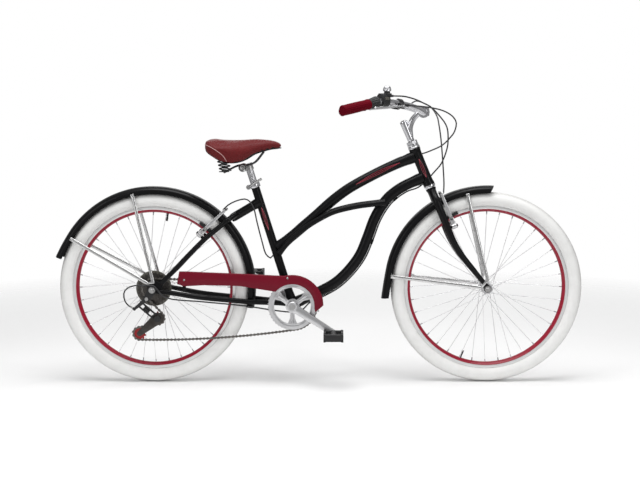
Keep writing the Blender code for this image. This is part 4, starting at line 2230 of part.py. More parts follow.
post = joint("seat_post_joint", SEAT_TOP)
carry(post, make_seat_post(), make_saddle_rails())
for label, side in SIDES:
    carry(post, make_saddle_spring("saddle_spring_" + label, side))
nose = joint("saddle_joint", by_post(NOSE_PIVOT[0], 0.0, NOSE_PIVOT[1]), post)
carry(nose, make_saddle_cushion())
quick_release, quick_release_bolt = make_quick_release()
carry(joint("quick_release_joint", quick_release_bolt), quick_release)
spin_all(bpy.data.objects)
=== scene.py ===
# %% [markdown]
# # A city bicycle, piece by piece
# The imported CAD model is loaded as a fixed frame, in metres: +X is forward, +Y is the rider's
# left and +Z is up, with the origin on the ground half way between the axles. Its solids have
# the right sizes and few faces. This lesson builds the round, detailed pieces that are seen.

# %% Load the frame
import math

import bmesh
import bpy
from mathutils import Matrix, Vector
from mathutils.bvhtree import BVHTree


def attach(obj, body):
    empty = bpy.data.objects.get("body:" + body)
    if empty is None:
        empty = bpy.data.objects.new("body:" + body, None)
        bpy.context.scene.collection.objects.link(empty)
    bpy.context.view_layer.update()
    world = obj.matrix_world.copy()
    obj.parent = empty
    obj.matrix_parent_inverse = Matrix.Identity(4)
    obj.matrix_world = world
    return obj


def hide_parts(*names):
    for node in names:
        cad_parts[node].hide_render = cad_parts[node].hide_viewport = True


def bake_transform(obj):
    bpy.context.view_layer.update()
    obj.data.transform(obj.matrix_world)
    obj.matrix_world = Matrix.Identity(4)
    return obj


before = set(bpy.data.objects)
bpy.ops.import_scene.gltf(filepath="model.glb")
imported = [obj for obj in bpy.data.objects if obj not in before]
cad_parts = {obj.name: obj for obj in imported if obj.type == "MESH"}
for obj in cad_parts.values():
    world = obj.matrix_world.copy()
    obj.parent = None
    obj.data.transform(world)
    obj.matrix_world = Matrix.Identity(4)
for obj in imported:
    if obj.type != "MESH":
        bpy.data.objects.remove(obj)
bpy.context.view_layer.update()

# %% [markdown]
# A material is a tree of nodes. Wiring Math nodes by hand is slow to write and hard to read, so
# a socket is wrapped in a small class whose + - * / build those nodes. A finish is a material
# with one method, `add`, for every other kind of node: settings first, then its sockets.


# %% Write shader maths as sums
class Value:
    """An output socket that can stand in a sum."""

    def __init__(self, socket):
        self.socket = socket

    def maths(self, operation, *terms):
        node = self.socket.id_data.nodes.new("ShaderNodeMath")
        node.operation = operation
        for slot, term in zip(node.inputs, terms):
            plug(slot, term)
        return Value(node.outputs[0])

    def __add__(self, other):
        return self.maths("ADD", self, other)

    def __sub__(self, other):
        return self.maths("SUBTRACT", self, other)

    def __rsub__(self, other):
        return self.maths("SUBTRACT", other, self)

    def __mul__(self, other):
        return self.maths("MULTIPLY", self, other)

    def __truediv__(self, other):
        return self.maths("DIVIDE", self, other)

    def __pow__(self, other):
        return self.maths("POWER", self, other)

    __radd__ = __add__
    __rmul__ = __mul__


def plug(slot, term):
    """Link a value to an input socket, or set it there."""
    if isinstance(term, Value):
        slot.id_data.links.new(term.socket, slot)
    elif isinstance(term, tuple) and len(term) == 3 and slot.type == "RGBA":
        slot.default_value = (*term, 1.0)
    else:
        slot.default_value = term


# %% Make a finish
class Finish:
    """A material with a Principled shader, and the one method that adds other nodes."""

    def __init__(self, name, **fixed):
        self.material = bpy.data.materials.new(name)
        self.material.use_nodes = True
        self.tree = self.material.node_tree
        self.shader = self.tree.nodes["Principled BSDF"]
        self.set(**fixed)
        self.place = self.add("ShaderNodeTexCoord", out="Object")

    def add(self, kind, settings=None, sockets=None, out=0):
        node = self.tree.nodes.new(kind)
        for key, term in (settings or {}).items():
            if key == "stops":
                self.set_stops(node.color_ramp, term)
            else:
                setattr(node, key, term)
        for key, term in (sockets or {}).items():
            plug(node.inputs[key], term)
        return Value(node.outputs[out])

    def set_stops(self, ramp, stops):
        while len(ramp.elements) < len(stops):
            ramp.elements.new(1.0)
        for element, (position, level) in zip(ramp.elements, stops):
            element.position = position
            element.color = (level, level, level, 1.0)

    def set(self, **sockets):
        for socket, term in sockets.items():
            plug(self.shader.inputs[socket.replace("_", " ")], term)
        return self

    def noise(self, scale, detail=3.0, roughness=0.55):
        return self.add(
            "ShaderNodeTexNoise",
            sockets={
                "Vector": self.place, "Scale": scale, "Detail": detail, "Roughness": roughness
            },
        )

    def levels(self, value, *stops):
        return self.add("ShaderNodeValToRGB", {"stops": stops}, {0: value})

    def blend(self, share, first, second):
        return self.add("ShaderNodeMix", {"data_type": "RGBA"}, {0: share, 6: first, 7: second}, 2)

    def relief(self, height, depth, strength=1.0):
        """Height from 0 to 1, and its real depth in metres."""
        bump = self.add(
            "ShaderNodeBump", sockets={"Height": height, "Distance": depth, "Strength": strength}
        )
        return self.set(Normal=bump)


print("shader helpers ready")

# %% [markdown]
# Painted steel is never one flat colour. Enamel on tubes has a faint orange peel, fine dust that
# dulls some places, and hairline scuffs. All of it is small, so it goes into roughness and bump.


# %% Enamels
def enamel(name, colour, dulled, roughness, coat, specular=0.5):
    """Gloss paint: dulled is its colour where dust lies."""
    paint = Finish(name, Specular_IOR_Level=specular, Coat_Roughness=0.12)
    dust = paint.levels(paint.noise(9.0, 5.0), (0.42, 0.0), (0.75, 1.0))
    scuff = paint.levels(paint.noise(160.0, 6.0, 0.7), (0.6, 0.0), (0.78, 1.0))
    paint.set(Base_Color=paint.blend(dust * 0.35, colour, dulled))
    paint.set(Roughness=dust * 0.1 + scuff * 0.08 + roughness)
    paint.set(Coat_Weight=coat - dust * 0.15)
    paint.relief(paint.noise(420.0, 1.0), 0.00006, 0.35)
    return paint.material


GLOSS_BLACK = enamel(
    "gloss_black_enamel", (0.0036, 0.0036, 0.0042), (0.009, 0.009, 0.01), 0.32, 0.1, 0.13
)
GUARD_RED = enamel(
    "burgundy_enamel", (0.165, 0.0035, 0.0165), (0.18, 0.01, 0.022), 0.36, 0.08, 0.15
)
RIM_RED = enamel("rim_burgundy", (0.31, 0.005, 0.025), (0.33, 0.012, 0.034), 0.34, 0.25, 0.3)
ACCENT_RED = enamel("accent_red", (0.27, 0.01, 0.03), (0.3, 0.02, 0.04), 0.3, 0.5)
print("enamels", GLOSS_BLACK.name, GUARD_RED.name, RIM_RED.name, ACCENT_RED.name)

# %% [markdown]
# Bare metals differ in how they were finished. Chrome plate is a mirror with faint ripples.
# Machined and forged aluminium scatter more, and their colour is a little warmer. Steel of the
# chain carries brown oil. Each is a full metal whose roughness varies, which reads as handling.


# %% Bare metals
def bare_metal(name, colour, stained, roughness, spread, grain, grain_depth):
    """A metal: stained is its colour in the oily or handled places."""
    metal = Finish(name, Metallic=1.0)
    handled = metal.levels(metal.noise(34.0, 5.0), (0.35, 0.0), (0.72, 1.0))
    fine = metal.noise(grain, 3.0, 0.7)
    metal.set(Base_Color=metal.blend(handled * 0.6, colour, stained))
    metal.set(Roughness=handled * spread + fine * (spread * 0.6) + roughness)
    metal.relief(fine, grain_depth, 0.4)
    return metal.material


CHROME = bare_metal(
    "chrome_plate", (0.66, 0.66, 0.68), (0.52, 0.52, 0.54), 0.13, 0.07, 300.0, 0.000004
)
ALLOY = bare_metal(
    "forged_aluminium", (0.66, 0.66, 0.67), (0.52, 0.52, 0.53), 0.26, 0.1, 900.0, 0.00001
)
MACHINED = bare_metal(
    "machined_track", (0.86, 0.86, 0.86), (0.76, 0.76, 0.77), 0.3, 0.08, 1600.0, 0.00004
)
STEEL = bare_metal(
    "bright_steel", (0.5, 0.5, 0.5), (0.34, 0.33, 0.32), 0.26, 0.12, 700.0, 0.00001
)
SPOKE_STEEL = bare_metal(
    "spoke_steel", (0.84, 0.84, 0.85), (0.7, 0.7, 0.71), 0.3, 0.1, 700.0, 0.00001
)
STAY_STEEL = bare_metal(
    "stay_steel", (0.66, 0.66, 0.66), (0.5, 0.5, 0.5), 0.17, 0.08, 500.0, 0.000005
)
DARK_STEEL = bare_metal(
    "oiled_steel", (0.085, 0.08, 0.076), (0.045, 0.038, 0.032), 0.36, 0.14, 900.0, 0.00004
)
CHAIN_STEEL = bare_metal(
    "chain_steel", (0.2, 0.19, 0.18), (0.09, 0.074, 0.06), 0.34, 0.14, 900.0, 0.00004
)
print("metals", CHROME.name, ALLOY.name, STEEL.name, DARK_STEEL.name)

# %% [markdown]
# Rubber and moulded plastic are dull, with a fine texture from the mould. The tyres are an
# off-white compound that greys a little on the tread, where it met the road. The grips are a
# deep crimson elastomer. The saddle's vinyl copies leather: cells of grain with worn high spots.


# %% Rubbers and plastics
def moulded(name, colour, worn, roughness, grain, depth, specular=0.4):
    """A moulded plastic or rubber with a fine pebbled skin."""
    plastic = Finish(name, Specular_IOR_Level=specular)
    worn_places = plastic.levels(plastic.noise(26.0, 5.0), (0.45, 0.0), (0.78, 1.0))
    pebble = plastic.add("ShaderNodeTexVoronoi", sockets={"Vector": plastic.place, "Scale": grain})
    plastic.set(Base_Color=plastic.blend(worn_places * 0.5, colour, worn))
    plastic.set(Roughness=worn_places * 0.1 + pebble * 0.1 + roughness)
    plastic.relief(pebble, depth, 0.5)
    return plastic.material


BLACK_PLASTIC = moulded(
    "black_plastic", (0.015, 0.015, 0.016), (0.034, 0.034, 0.035), 0.42, 1400.0, 0.00005
)
PULLEY_RED = moulded(
    "pulley_red", (0.33, 0.01, 0.012), (0.18, 0.012, 0.012), 0.4, 1200.0, 0.00004
)
GRIP_RED = moulded(
    "grip_crimson", (0.118, 0.0002, 0.007), (0.136, 0.001, 0.01), 0.6, 700.0, 0.00008, 0.06
)
HOUSING_BLACK = moulded(
    "cable_housing", (0.022, 0.022, 0.024), (0.05, 0.05, 0.052), 0.36, 900.0, 0.00003, 0.5
)
SMOKED = moulded(
    "smoked_plastic", (0.095, 0.09, 0.074), (0.12, 0.112, 0.092), 0.34, 1100.0, 0.00002, 0.5
)
print("plastics", BLACK_PLASTIC.name, GRIP_RED.name, HOUSING_BLACK.name)

# %% [markdown]
# The tyre's tread is too fine to model block by block on two wheels, and it wraps round a
# circle. Its pattern is a height made from the angle round the axle and the distance from the
# centre plane, both worked out from the object's own coordinates, so it needs no unwrapping.

# %% Sizes of the wheels
WHEELBASE = 1.164
TYRE_RADIUS = 0.334
TYRE_HALF_WIDTH = 0.0265
TREAD_HALF_WIDTH = 0.016
RIM_RADIUS = 0.2855
RIM_HALF_WIDTH = 0.015
RIM_DEPTH = 0.02
FORWARD = Vector((1.0, 0.0, 0.0))
LEFT = Vector((0.0, 1.0, 0.0))
UP = Vector((0.0, 0.0, 1.0))
REAR = Vector((-WHEELBASE / 2.0, 0.0, TYRE_RADIUS))
FRONT = Vector((WHEELBASE / 2.0, 0.0, TYRE_RADIUS))


# %% Tyre rubber
TREAD_REPEATS = 150.0
CHEVRON_SLOPE = 90.0
RIBS_PER_METRE = 220.0
SHOULDER_RADIUS = 0.318
TREAD_DEPTH = 0.0011


def tyre_rubber(name, hub):
    """Off-white rubber with a chevron tread, greyed where it meets the road."""
    rubber = Finish(name, Specular_IOR_Level=0.35)
    moved = rubber.add(
        "ShaderNodeVectorMath", {"operation": "SUBTRACT"}, {0: rubber.place, 1: tuple(hub)}
    )
    split = "ShaderNodeSeparateXYZ"
    x, y, z = [rubber.add(split, sockets={0: moved}, out=axis) for axis in "XYZ"]
    radius = (x * x + z * z) ** 0.5
    side = y.maths("ABSOLUTE", y)
    turn = x.maths("ARCTAN2", z, x) / (2.0 * math.pi)
    on_tread = side.maths("LESS_THAN", side, TREAD_HALF_WIDTH)
    chevron = turn * TREAD_REPEATS + side * CHEVRON_SLOPE
    block = chevron.maths("PINGPONG", chevron, 0.5) * 2.0
    rib = side.maths("PINGPONG", side * RIBS_PER_METRE, 0.5) * 2.0
    pattern = (
        rubber.levels(block, (0.22, 0.0), (0.34, 1.0)) * rubber.levels(rib, (0.16, 0.0), (0.3, 1.0))
    )
    dirt = rubber.levels(rubber.noise(24.0, 6.0, 0.65), (0.4, 0.0), (0.75, 1.0))
    near_road = rubber.levels((radius - SHOULDER_RADIUS) * 62.0, (0.0, 0.0), (1.0, 1.0))
    grooves = (1.0 - pattern) * on_tread
    # Greyer on the worn tread and in random dirty patches, and darker down in the tread's grooves.
    tread_greying = near_road * 0.26 + dirt * 0.16 + grooves * 0.3
    rubber.set(Base_Color=rubber.blend(tread_greying, (0.88, 0.88, 0.868), (0.48, 0.47, 0.45)))
    rubber.set(Roughness=dirt * 0.12 + 0.58)
    skin = rubber.noise(900.0, 2.0) * 0.06
    rubber.relief(pattern * on_tread + skin, TREAD_DEPTH, 0.9)
    return rubber.material


REAR_RUBBER = tyre_rubber("rear_tyre_rubber", REAR)
FRONT_RUBBER = tyre_rubber("front_tyre_rubber", FRONT)
print("tyre rubber", REAR_RUBBER.name, FRONT_RUBBER.name)


# %% Saddle vinyl
def saddle_vinyl():
    """Oxblood vinyl with a leather grain, duller and paler in random rubbed patches."""
    vinyl = Finish("oxblood_vinyl", Specular_IOR_Level=0.16, Sheen_Weight=0.02, Sheen_Roughness=0.5)
    warp = vinyl.noise(220.0, 2.0) * 0.0012
    shifted = vinyl.add("ShaderNodeVectorMath", {"operation": "ADD"}, {0: vinyl.place, 1: warp})
    cells = vinyl.add(
        "ShaderNodeTexVoronoi", {"feature": "DISTANCE_TO_EDGE"}, {"Vector": shifted, "Scale": 620.0}
    )
    grain = vinyl.levels(cells, (0.0, 0.0), (0.16, 1.0))
    shade = vinyl.levels(vinyl.noise(18.0, 4.0), (0.35, 0.0), (0.7, 1.0))
    rubbed = vinyl.levels(vinyl.noise(70.0, 5.0), (0.52, 0.0), (0.8, 1.0))
    leather = vinyl.blend(shade * 0.6, (0.135, 0.011, 0.0125), (0.104, 0.0085, 0.01))
    vinyl.set(Base_Color=vinyl.blend(rubbed * 0.35, leather, (0.18, 0.03, 0.028)))
    vinyl.set(Roughness=rubbed * 0.12 + (1.0 - grain) * 0.12 + 0.38)
    vinyl.relief(grain, 0.00022, 0.6)
    return vinyl.material


VINYL = saddle_vinyl()
PIPING = moulded(
    "saddle_piping", (0.56, 0.33, 0.32), (0.42, 0.2, 0.2), 0.4, 900.0, 0.00004
)
print("vinyl", VINYL.name, PIPING.name)

# %% [markdown]
# Nearly every piece of a bicycle is a tube, a turned part or a pressed plate. A `Form` collects
# such shapes in one mesh: rows of points are skinned into tubes and turned parts, and a filled
# 2D curve with a small bevel becomes a plate with softened edges. A form then becomes a piece,
# which rides on the CAD body that it belongs to.


# %% Places and routes
def at(x, y, z):
    """A point as a vector."""
    return Vector((x, y, z))


def around(centre, radius, angle, y=0.0):
    """A point on a circle in the wheels' plane."""
    return centre + at(radius * math.cos(angle), y, radius * math.sin(angle))


def spot(centre, radius, angle):
    """An (x, z) point on a circle."""
    return centre.x + radius * math.cos(angle), centre.z + radius * math.sin(angle)


def arc(centre, radius, start, end, steps):
    """(x, z) points along an arc, angles in radians from level ahead."""
    return [spot(centre, radius, angle) for angle in even(start, end, steps)]


def hole(centre, radius, corners=24):
    """(x, z) points of a round hole."""
    return arc(centre, radius, 0.0, 2.0 * math.pi * (corners - 1.0) / corners, corners - 1)


def bearing(centre, point):
    """The angle of a point seen from another, in radians from level ahead."""
    return math.atan2(point.z - centre.z, point.x - centre.x)


def even(start, end, steps):
    """Evenly spaced numbers, with both ends."""
    return [start + (end - start) * step / steps for step in range(steps + 1)]


def distances(route):
    """How far along a route each of its points lies."""
    total = [0.0]
    for before, after in zip(route, route[1:]):
        total.append(total[-1] + (after - before).length)
    return total


def hermite(t, low, high, low_slope, high_slope):
    """A smooth curve's value at t, which goes from 0 to 1 between two known values."""
    return (
        low * (2.0 * t ** 3 - 3.0 * t ** 2 + 1.0) + low_slope * (t ** 3 - 2.0 * t ** 2 + t)
        + high * (3.0 * t ** 2 - 2.0 * t ** 3) + high_slope * (t ** 3 - t ** 2)
    )


def smooth_route(points, spacing):
    """Points at an even spacing along a smooth curve through the given points."""
    points = [Vector(point) for point in points]
    padded = [points[0] * 2.0 - points[1], *points, points[-1] * 2.0 - points[-2]]
    route = [points[0].copy()]
    for index in range(1, len(padded) - 2):
        p0, p1, p2, p3 = padded[index - 1:index + 3]
        span = (p2 - p1).length
        slope1 = (p2 - p0) * (span / ((p1 - p0).length + span))
        slope2 = (p3 - p1) * (span / (span + (p3 - p2).length))
        steps = max(1, round(span / spacing))
        for step in range(1, steps + 1):
            route.append(hermite(step / steps, p1, p2, slope1, slope2))
    return route


def resample(points, values, route):
    """Values given at points, spread along a finer route through them."""
    def shares(places):
        reach = distances(places)
        return [length / reach[-1] for length in reach]

    knots = shares(points)
    spread = []
    for share in shares(route):
        index = max(i for i, knot in enumerate(knots) if knot <= share + 1e-9)
        index = min(index, len(knots) - 2)
        t = (share - knots[index]) / (knots[index + 1] - knots[index])
        spread.append(values[index] + (values[index + 1] - values[index]) * min(1.0, t))
    return spread


def bowed(start, end, bows):
    """Points from start to end. Each bow is (share of the way, rise off the straight line)."""
    along = end - start
    across = along.cross(LEFT).normalized()
    if across.z < 0.0:
        across = -across
    return [start, *[start + along * share + across * rise for share, rise in bows], end]


def frame_of(direction, side=LEFT):
    """Two unit vectors across a direction."""
    first = side - direction * side.dot(direction)
    if first.length < 1e-4:
        other = FORWARD if abs(direction.z) > 0.9 else UP
        first = other - direction * other.dot(direction)
    first.normalize()
    return first, direction.cross(first)


# %% Collect shapes in one mesh
def placed(name, data):
    """A new object, in the scene."""
    item = bpy.data.objects.new(name, data)
    bpy.context.scene.collection.objects.link(item)
    return item


def mesh_of(shape, name):
    """A new mesh with a bmesh's shape."""
    mesh = bpy.data.meshes.new(name)
    shape.to_mesh(mesh)
    return mesh


def from_modifiers(item):
    """The item's mesh as its modifiers leave it."""
    graph = bpy.context.evaluated_depsgraph_get()
    return bpy.data.meshes.new_from_object(item.evaluated_get(graph))


class Form:
    """A mesh that grows shape by shape, and then becomes one piece."""

    def __init__(self):
        self.shape = bmesh.new()

    def skin(self, rows, closed=True, loop=False, caps=True):
        """Faces between rows of points. Closed rows are rings, and a loop joins last to first."""
        made = [[self.shape.verts.new(point) for point in row] for row in rows]
        pairs = list(zip(made, made[1:]))
        if loop:
            pairs.append((made[-1], made[0]))
        for before, after in pairs:
            count = len(before)
            for index in range(count if closed else count - 1):
                other = (index + 1) % count
                self.shape.faces.new((before[index], before[other], after[other], after[index]))
        if caps and closed and not loop:
            self.shape.faces.new(list(reversed(made[0])))
            self.shape.faces.new(made[-1])
        return self

    def tube(self, route, radii, sides=20, section=None, side=LEFT):
        """A tube along a route. A section is a list of (u, v) that replaces the circle."""
        radii = radii if isinstance(radii, (list, tuple)) else [radii] * len(route)
        turns = [2.0 * math.pi * index / sides for index in range(sides)]
        section = section or [(math.cos(turn), math.sin(turn)) for turn in turns]
        rows = []
        across = None
        for index, (point, radius) in enumerate(zip(route, radii)):
            along = (route[min(index + 1, len(route) - 1)] - route[max(index - 1, 0)]).normalized()
            first, second = frame_of(along, across or side)
            across = first
            rows.append([point + (first * u + second * v) * radius for u, v in section])
        return self.skin(rows)

    def rod(self, start, end, radius, sides=20, end_radius=None):
        """A round bar with softened ends."""
        tip = radius if end_radius is None else end_radius
        along = (end - start).normalized()
        soft = min(0.0006, (end - start).length * 0.2, radius * 0.25)
        route = [start, start + along * soft, end - along * soft, end]
        return self.tube(route, [radius - soft, radius, tip, max(tip - soft, 1e-5)], sides)

    def pin(self, centre, near, far, radius, sides=20, end_radius=None):
        """A rod across the wheels' plane, between two distances to the left of a point."""
        return self.rod(centre + LEFT * near, centre + LEFT * far, radius, sides, end_radius)

    def turned(self, profile, centre, axis, steps=48, loop=False, spin=0.0):
        """A profile of (radius, height) turned round an axis."""
        axis = axis.normalized()
        first, second = frame_of(axis, UP)
        rows = []
        for step in range(steps):
            turn = 2.0 * math.pi * step / steps + spin
            out = first * math.cos(turn) + second * math.sin(turn)
            rows.append([centre + out * radius + axis * height for radius, height in profile])
        return self.skin(rows, closed=loop, loop=True, caps=False)

    def plate(self, outlines, middle, thickness, bevel=0.0004, turn=None):
        """A flat plate in the wheels' plane, at y = middle. Further outlines are its holes."""
        curve = bpy.data.curves.new("plate", "CURVE")
        curve.dimensions = "2D"
        curve.fill_mode = "BOTH"
        curve.extrude = thickness / 2.0 - bevel
        curve.bevel_depth = bevel
        curve.bevel_resolution = 1
        curve.offset = -bevel
        for outline in outlines:
            spline = curve.splines.new("POLY")
            spline.points.add(len(outline) - 1)
            for index, (x, z) in enumerate(outline):
                spline.points[index].co = (x, z, 0.0, 1.0)
            spline.use_cyclic_u = True
        item = bpy.data.objects.new("plate", curve)
        mesh = bpy.data.meshes.new_from_object(item)
        stand = Matrix.Translation((0.0, middle, 0.0)) @ Matrix.Rotation(math.pi / 2.0, 4, "X")
        mesh.transform((turn or Matrix()) @ stand)
        self.shape.from_mesh(mesh)
        bpy.data.objects.remove(item)
        bpy.data.curves.remove(curve)
        bpy.data.meshes.remove(mesh)
        return self

    def block(self, centre, size, x_axis=FORWARD, z_axis=UP, bevel=0.0008):
        """A box with rounded edges, on its own axes."""
        x_axis = x_axis.normalized()
        y_axis = z_axis.cross(x_axis).normalized()
        turn = Matrix((x_axis, y_axis, x_axis.cross(y_axis))).transposed().to_4x4()
        box = bmesh.new()
        bmesh.ops.create_cube(box, size=1.0)
        bmesh.ops.scale(box, vec=size, verts=box.verts)
        bmesh.ops.bevel(
            box, geom=box.edges, offset=min(bevel, min(size) * 0.4), segments=3, affect="EDGES",
            profile=0.5,
        )
        self.add(box, Matrix.Translation(centre) @ turn)
        box.free()
        return self

    def add(self, other, move=None):
        """Another bmesh's shapes, moved by a matrix."""
        spare = mesh_of(other, "spare")
        spare.transform(move or Matrix())
        self.shape.from_mesh(spare)
        bpy.data.meshes.remove(spare)
        return self

    def cut(self, tool):
        """Take another form's solid out of this one."""
        items = []
        for name, form in (("cut_body", self), ("cut_tool", tool)):
            bmesh.ops.recalc_face_normals(form.shape, faces=form.shape.faces)
            items.append(placed(name, mesh_of(form.shape, name)))
        cutter = items[0].modifiers.new("Cut", "BOOLEAN")
        cutter.operation = "DIFFERENCE"
        cutter.solver = "EXACT"
        cutter.use_self = True
        cutter.object = items[1]
        self.shape.clear()
        self.shape.from_mesh(from_modifiers(items[0]))
        for item in items:
            bpy.data.objects.remove(item)
        tool.shape.free()
        return self

    def piece(self, name, finish, body, slot, *nodes, angle=35.0):
        """The finished piece. It rides on a body and may stand for CAD nodes."""
        bmesh.ops.remove_doubles(self.shape, verts=self.shape.verts, dist=1e-6)
        bmesh.ops.recalc_face_normals(self.shape, faces=self.shape.faces)
        mesh = mesh_of(self.shape, name)
        self.shape.free()
        mesh.shade_smooth()
        mesh.set_sharp_from_angle(angle=math.radians(angle))
        mesh.materials.append(finish)
        item = placed(name, mesh)
        if body:
            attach(item, body)
        if nodes:
            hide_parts(*nodes)
        return item


def mirrored(half):
    """A profile from its first half: the same radii follow at the opposite heights."""
    return half + [(radius, -height) for radius, height in reversed(half)]


def told(title, *items):
    """Print the faces of new pieces."""
    print(title + ":", ", ".join(f"{item.name} {len(item.data.polygons)}" for item in items))


print("form helpers ready")

# %% [markdown]
# The camera comes first, so that each new piece can be looked at from the photographer's place.
# It stands about four metres to the right, at the height of the bar, with a longish lens. The
# floor is a large pale sheet, and big soft lamps give broad, even highlights on the enamel.

# %% Camera
VIEW_WIDTH = 640.0
FOCAL_PIXELS = 1192.7
SENSOR_WIDTH = 36.0
CAMERA_PLACE = at(0.0556, -4.1574, 0.9193)
CAMERA_PITCH = 0.1033
CAMERA_YAW = -0.0133
CAMERA_ROLL = -0.0031


def make_camera():
    """A camera at the photograph's place and angle."""
    data = bpy.data.cameras.new("camera")
    data.sensor_width = SENSOR_WIDTH
    data.lens = FOCAL_PIXELS * SENSOR_WIDTH / VIEW_WIDTH
    camera = placed("camera", data)
    ahead = at(
        math.sin(CAMERA_YAW) * math.cos(CAMERA_PITCH),
        math.cos(CAMERA_YAW) * math.cos(CAMERA_PITCH),
        -math.sin(CAMERA_PITCH),
    )
    right = at(math.cos(CAMERA_YAW), -math.sin(CAMERA_YAW), 0.0)
    above = right.cross(ahead)
    tilted_right = right * math.cos(CAMERA_ROLL) + above * math.sin(CAMERA_ROLL)
    tilted_up = tilted_right.cross(ahead)
    turn = Matrix((tilted_right, tilted_up, -ahead)).transposed().to_4x4()
    camera.matrix_world = Matrix.Translation(CAMERA_PLACE) @ turn
    bpy.context.scene.camera = camera
    return camera


camera = make_camera()
print("camera lens", round(camera.data.lens, 2), "mm")


# %% Lamps, world and floor
FLOOR_REACH = 3.4
FLOOR_LEVEL = -0.0006
LAMP_TARGET = at(0.0, 0.0, 0.45)


def make_lamp(name, place, size, power):
    """A soft rectangular lamp aimed at the bicycle."""
    data = bpy.data.lights.new(name, "AREA")
    data.shape = "RECTANGLE"
    data.size, data.size_y = size
    data.energy = power
    lamp = placed(name, data)
    lamp.location = place
    lamp.rotation_euler = (LAMP_TARGET - place).to_track_quat("-Z", "Y").to_euler()
    return lamp


def make_floor():
    """A plain pale floor that thins out into the background all round."""
    paper = Finish("studio_floor", Specular_IOR_Level=0.1, Roughness=0.9)
    cloudy = paper.levels(paper.noise(0.7, 2.0), (0.3, 0.0), (0.7, 1.0))
    paper.set(Base_Color=paper.blend(cloudy, (0.915, 0.915, 0.915), (0.935, 0.935, 0.935)))
    apart = paper.add("ShaderNodeVectorMath", {"operation": "LENGTH"}, {0: paper.place}, out=1)
    paper.set(Alpha=paper.levels(apart / FLOOR_REACH, (0.45, 1.0), (0.95, 0.0)))
    sheet = bmesh.new()
    bmesh.ops.create_circle(sheet, cap_ends=True, radius=FLOOR_REACH, segments=96)
    mesh = mesh_of(sheet, "floor")
    sheet.free()
    mesh.materials.append(paper.material)
    floor = placed("floor", mesh)
    floor.location.z = FLOOR_LEVEL


def make_world(seen, lit):
    """A plain white surround. It is seen brighter than it lights."""
    world = bpy.data.worlds.new("studio")
    world.use_nodes = True
    nodes = world.node_tree.nodes
    path = nodes.new("ShaderNodeLightPath")
    strength = nodes.new("ShaderNodeMath")
    strength.operation = "MULTIPLY_ADD"
    strength.inputs[1].default_value = seen - lit
    strength.inputs[2].default_value = lit
    world.node_tree.links.new(path.outputs["Is Camera Ray"], strength.inputs[0])
    world.node_tree.links.new(strength.outputs[0], nodes["Background"].inputs["Strength"])
    nodes["Background"].inputs["Color"].default_value = (1.0, 1.0, 1.0, 1.0)
    bpy.context.scene.world = world


bpy.context.scene.view_settings.view_transform = "Standard"
make_world(1.0, 0.34)
make_floor()
lamps = [
    make_lamp("lamp_above", at(0.1, -0.5, 3.4), (3.0, 2.0), 96.0),
    make_lamp("lamp_right", at(2.4, -2.8, 2.0), (0.9, 1.9), 22.0),
    make_lamp("lamp_left", at(-2.6, -2.6, 1.7), (0.9, 1.8), 18.0),
    make_lamp("lamp_behind", at(0.0, 3.0, 2.2), (2.6, 1.2), 16.0),
]
print("lamps", len(lamps))

# %% [markdown]
# The control cables are real lengths of housing, fixed at both ends, so their routes are lists of
# chosen points, the same ones as in the CAD source.

# %% Routes of the cables
CABLE_RADIUS = 0.0025
CABLE_SPACING = 0.012
REAR_BRAKE_ROUTE = [
    (0.3033, -0.1388, 0.966), (0.311, -0.1335, 0.9655), (0.336, -0.112, 0.964),
    (0.374, -0.085, 0.96), (0.414, -0.055, 0.952), (0.44, -0.035, 0.942),
    (0.462, -0.014, 0.927), (0.474, 0.002, 0.907), (0.469, 0.018, 0.876),
    (0.455, 0.025, 0.856), (0.43, 0.03, 0.831), (0.398, 0.028, 0.815),
    (0.355, 0.024, 0.8),
]
REAR_BRAKE_TAIL = [
    (-0.156, 0.0217, 0.466), (-0.166, 0.014, 0.444), (-0.174, 0.004, 0.437),
    (-0.19, -0.002, 0.452), (-0.201, -0.006, 0.49), (-0.218, -0.026, 0.565),
    (-0.229, -0.029, 0.615), (-0.243, -0.025, 0.638), (-0.26, -0.024, 0.6465),
    (-0.293, -0.029, 0.639), (-0.318, -0.036, 0.626), (-0.334, -0.041, 0.611),
]
FRONT_BRAKE_ROUTE = [
    (0.3033, 0.1388, 0.966), (0.31, 0.1346, 0.9656), (0.323, 0.127, 0.974),
    (0.341, 0.115, 0.985), (0.3675, 0.095, 0.977), (0.392, 0.065, 0.961),
    (0.41, 0.035, 0.93), (0.415, 0.015, 0.901), (0.419, -0.002, 0.8665),
    (0.422, -0.012, 0.832), (0.427, -0.02, 0.763), (0.43, -0.028, 0.7005),
    (0.428, -0.039, 0.668),
]
SHIFT_LOOP_ROUTE = [
    (0.247, -0.19, 0.997), (0.281, -0.175, 0.996), (0.306, -0.155, 0.991),
    (0.3265, -0.135, 0.985), (0.353, -0.105, 0.974), (0.3815, -0.072, 0.96),
    (0.425, -0.018, 0.918), (0.441, 0.002, 0.894), (0.447, 0.016, 0.866),
    (0.4455, 0.024, 0.8225), (0.426, 0.03, 0.767), (0.398, 0.031, 0.733),
    (0.377, 0.029, 0.709), (0.344, 0.02, 0.683),
]
SHIFT_TAIL = [
    (-0.06, -0.004, 0.256), (-0.096, -0.014, 0.248), (-0.157, -0.03, 0.256),
    (-0.26, -0.044, 0.274), (-0.418, -0.052, 0.291), (-0.514, -0.062, 0.301),
    (-0.546, -0.0765, 0.317), (-0.562, -0.0797, 0.338), (-0.574, -0.0785, 0.3498),
    (-0.59, -0.077, 0.351), (-0.611, -0.0748, 0.3505), (-0.638, -0.0712, 0.3505),
    (-0.667, -0.0678, 0.341), (-0.6805, -0.066, 0.322), (-0.677, -0.066, 0.2955),
    (-0.665, -0.066, 0.2794), (-0.65, -0.066, 0.2705),
]

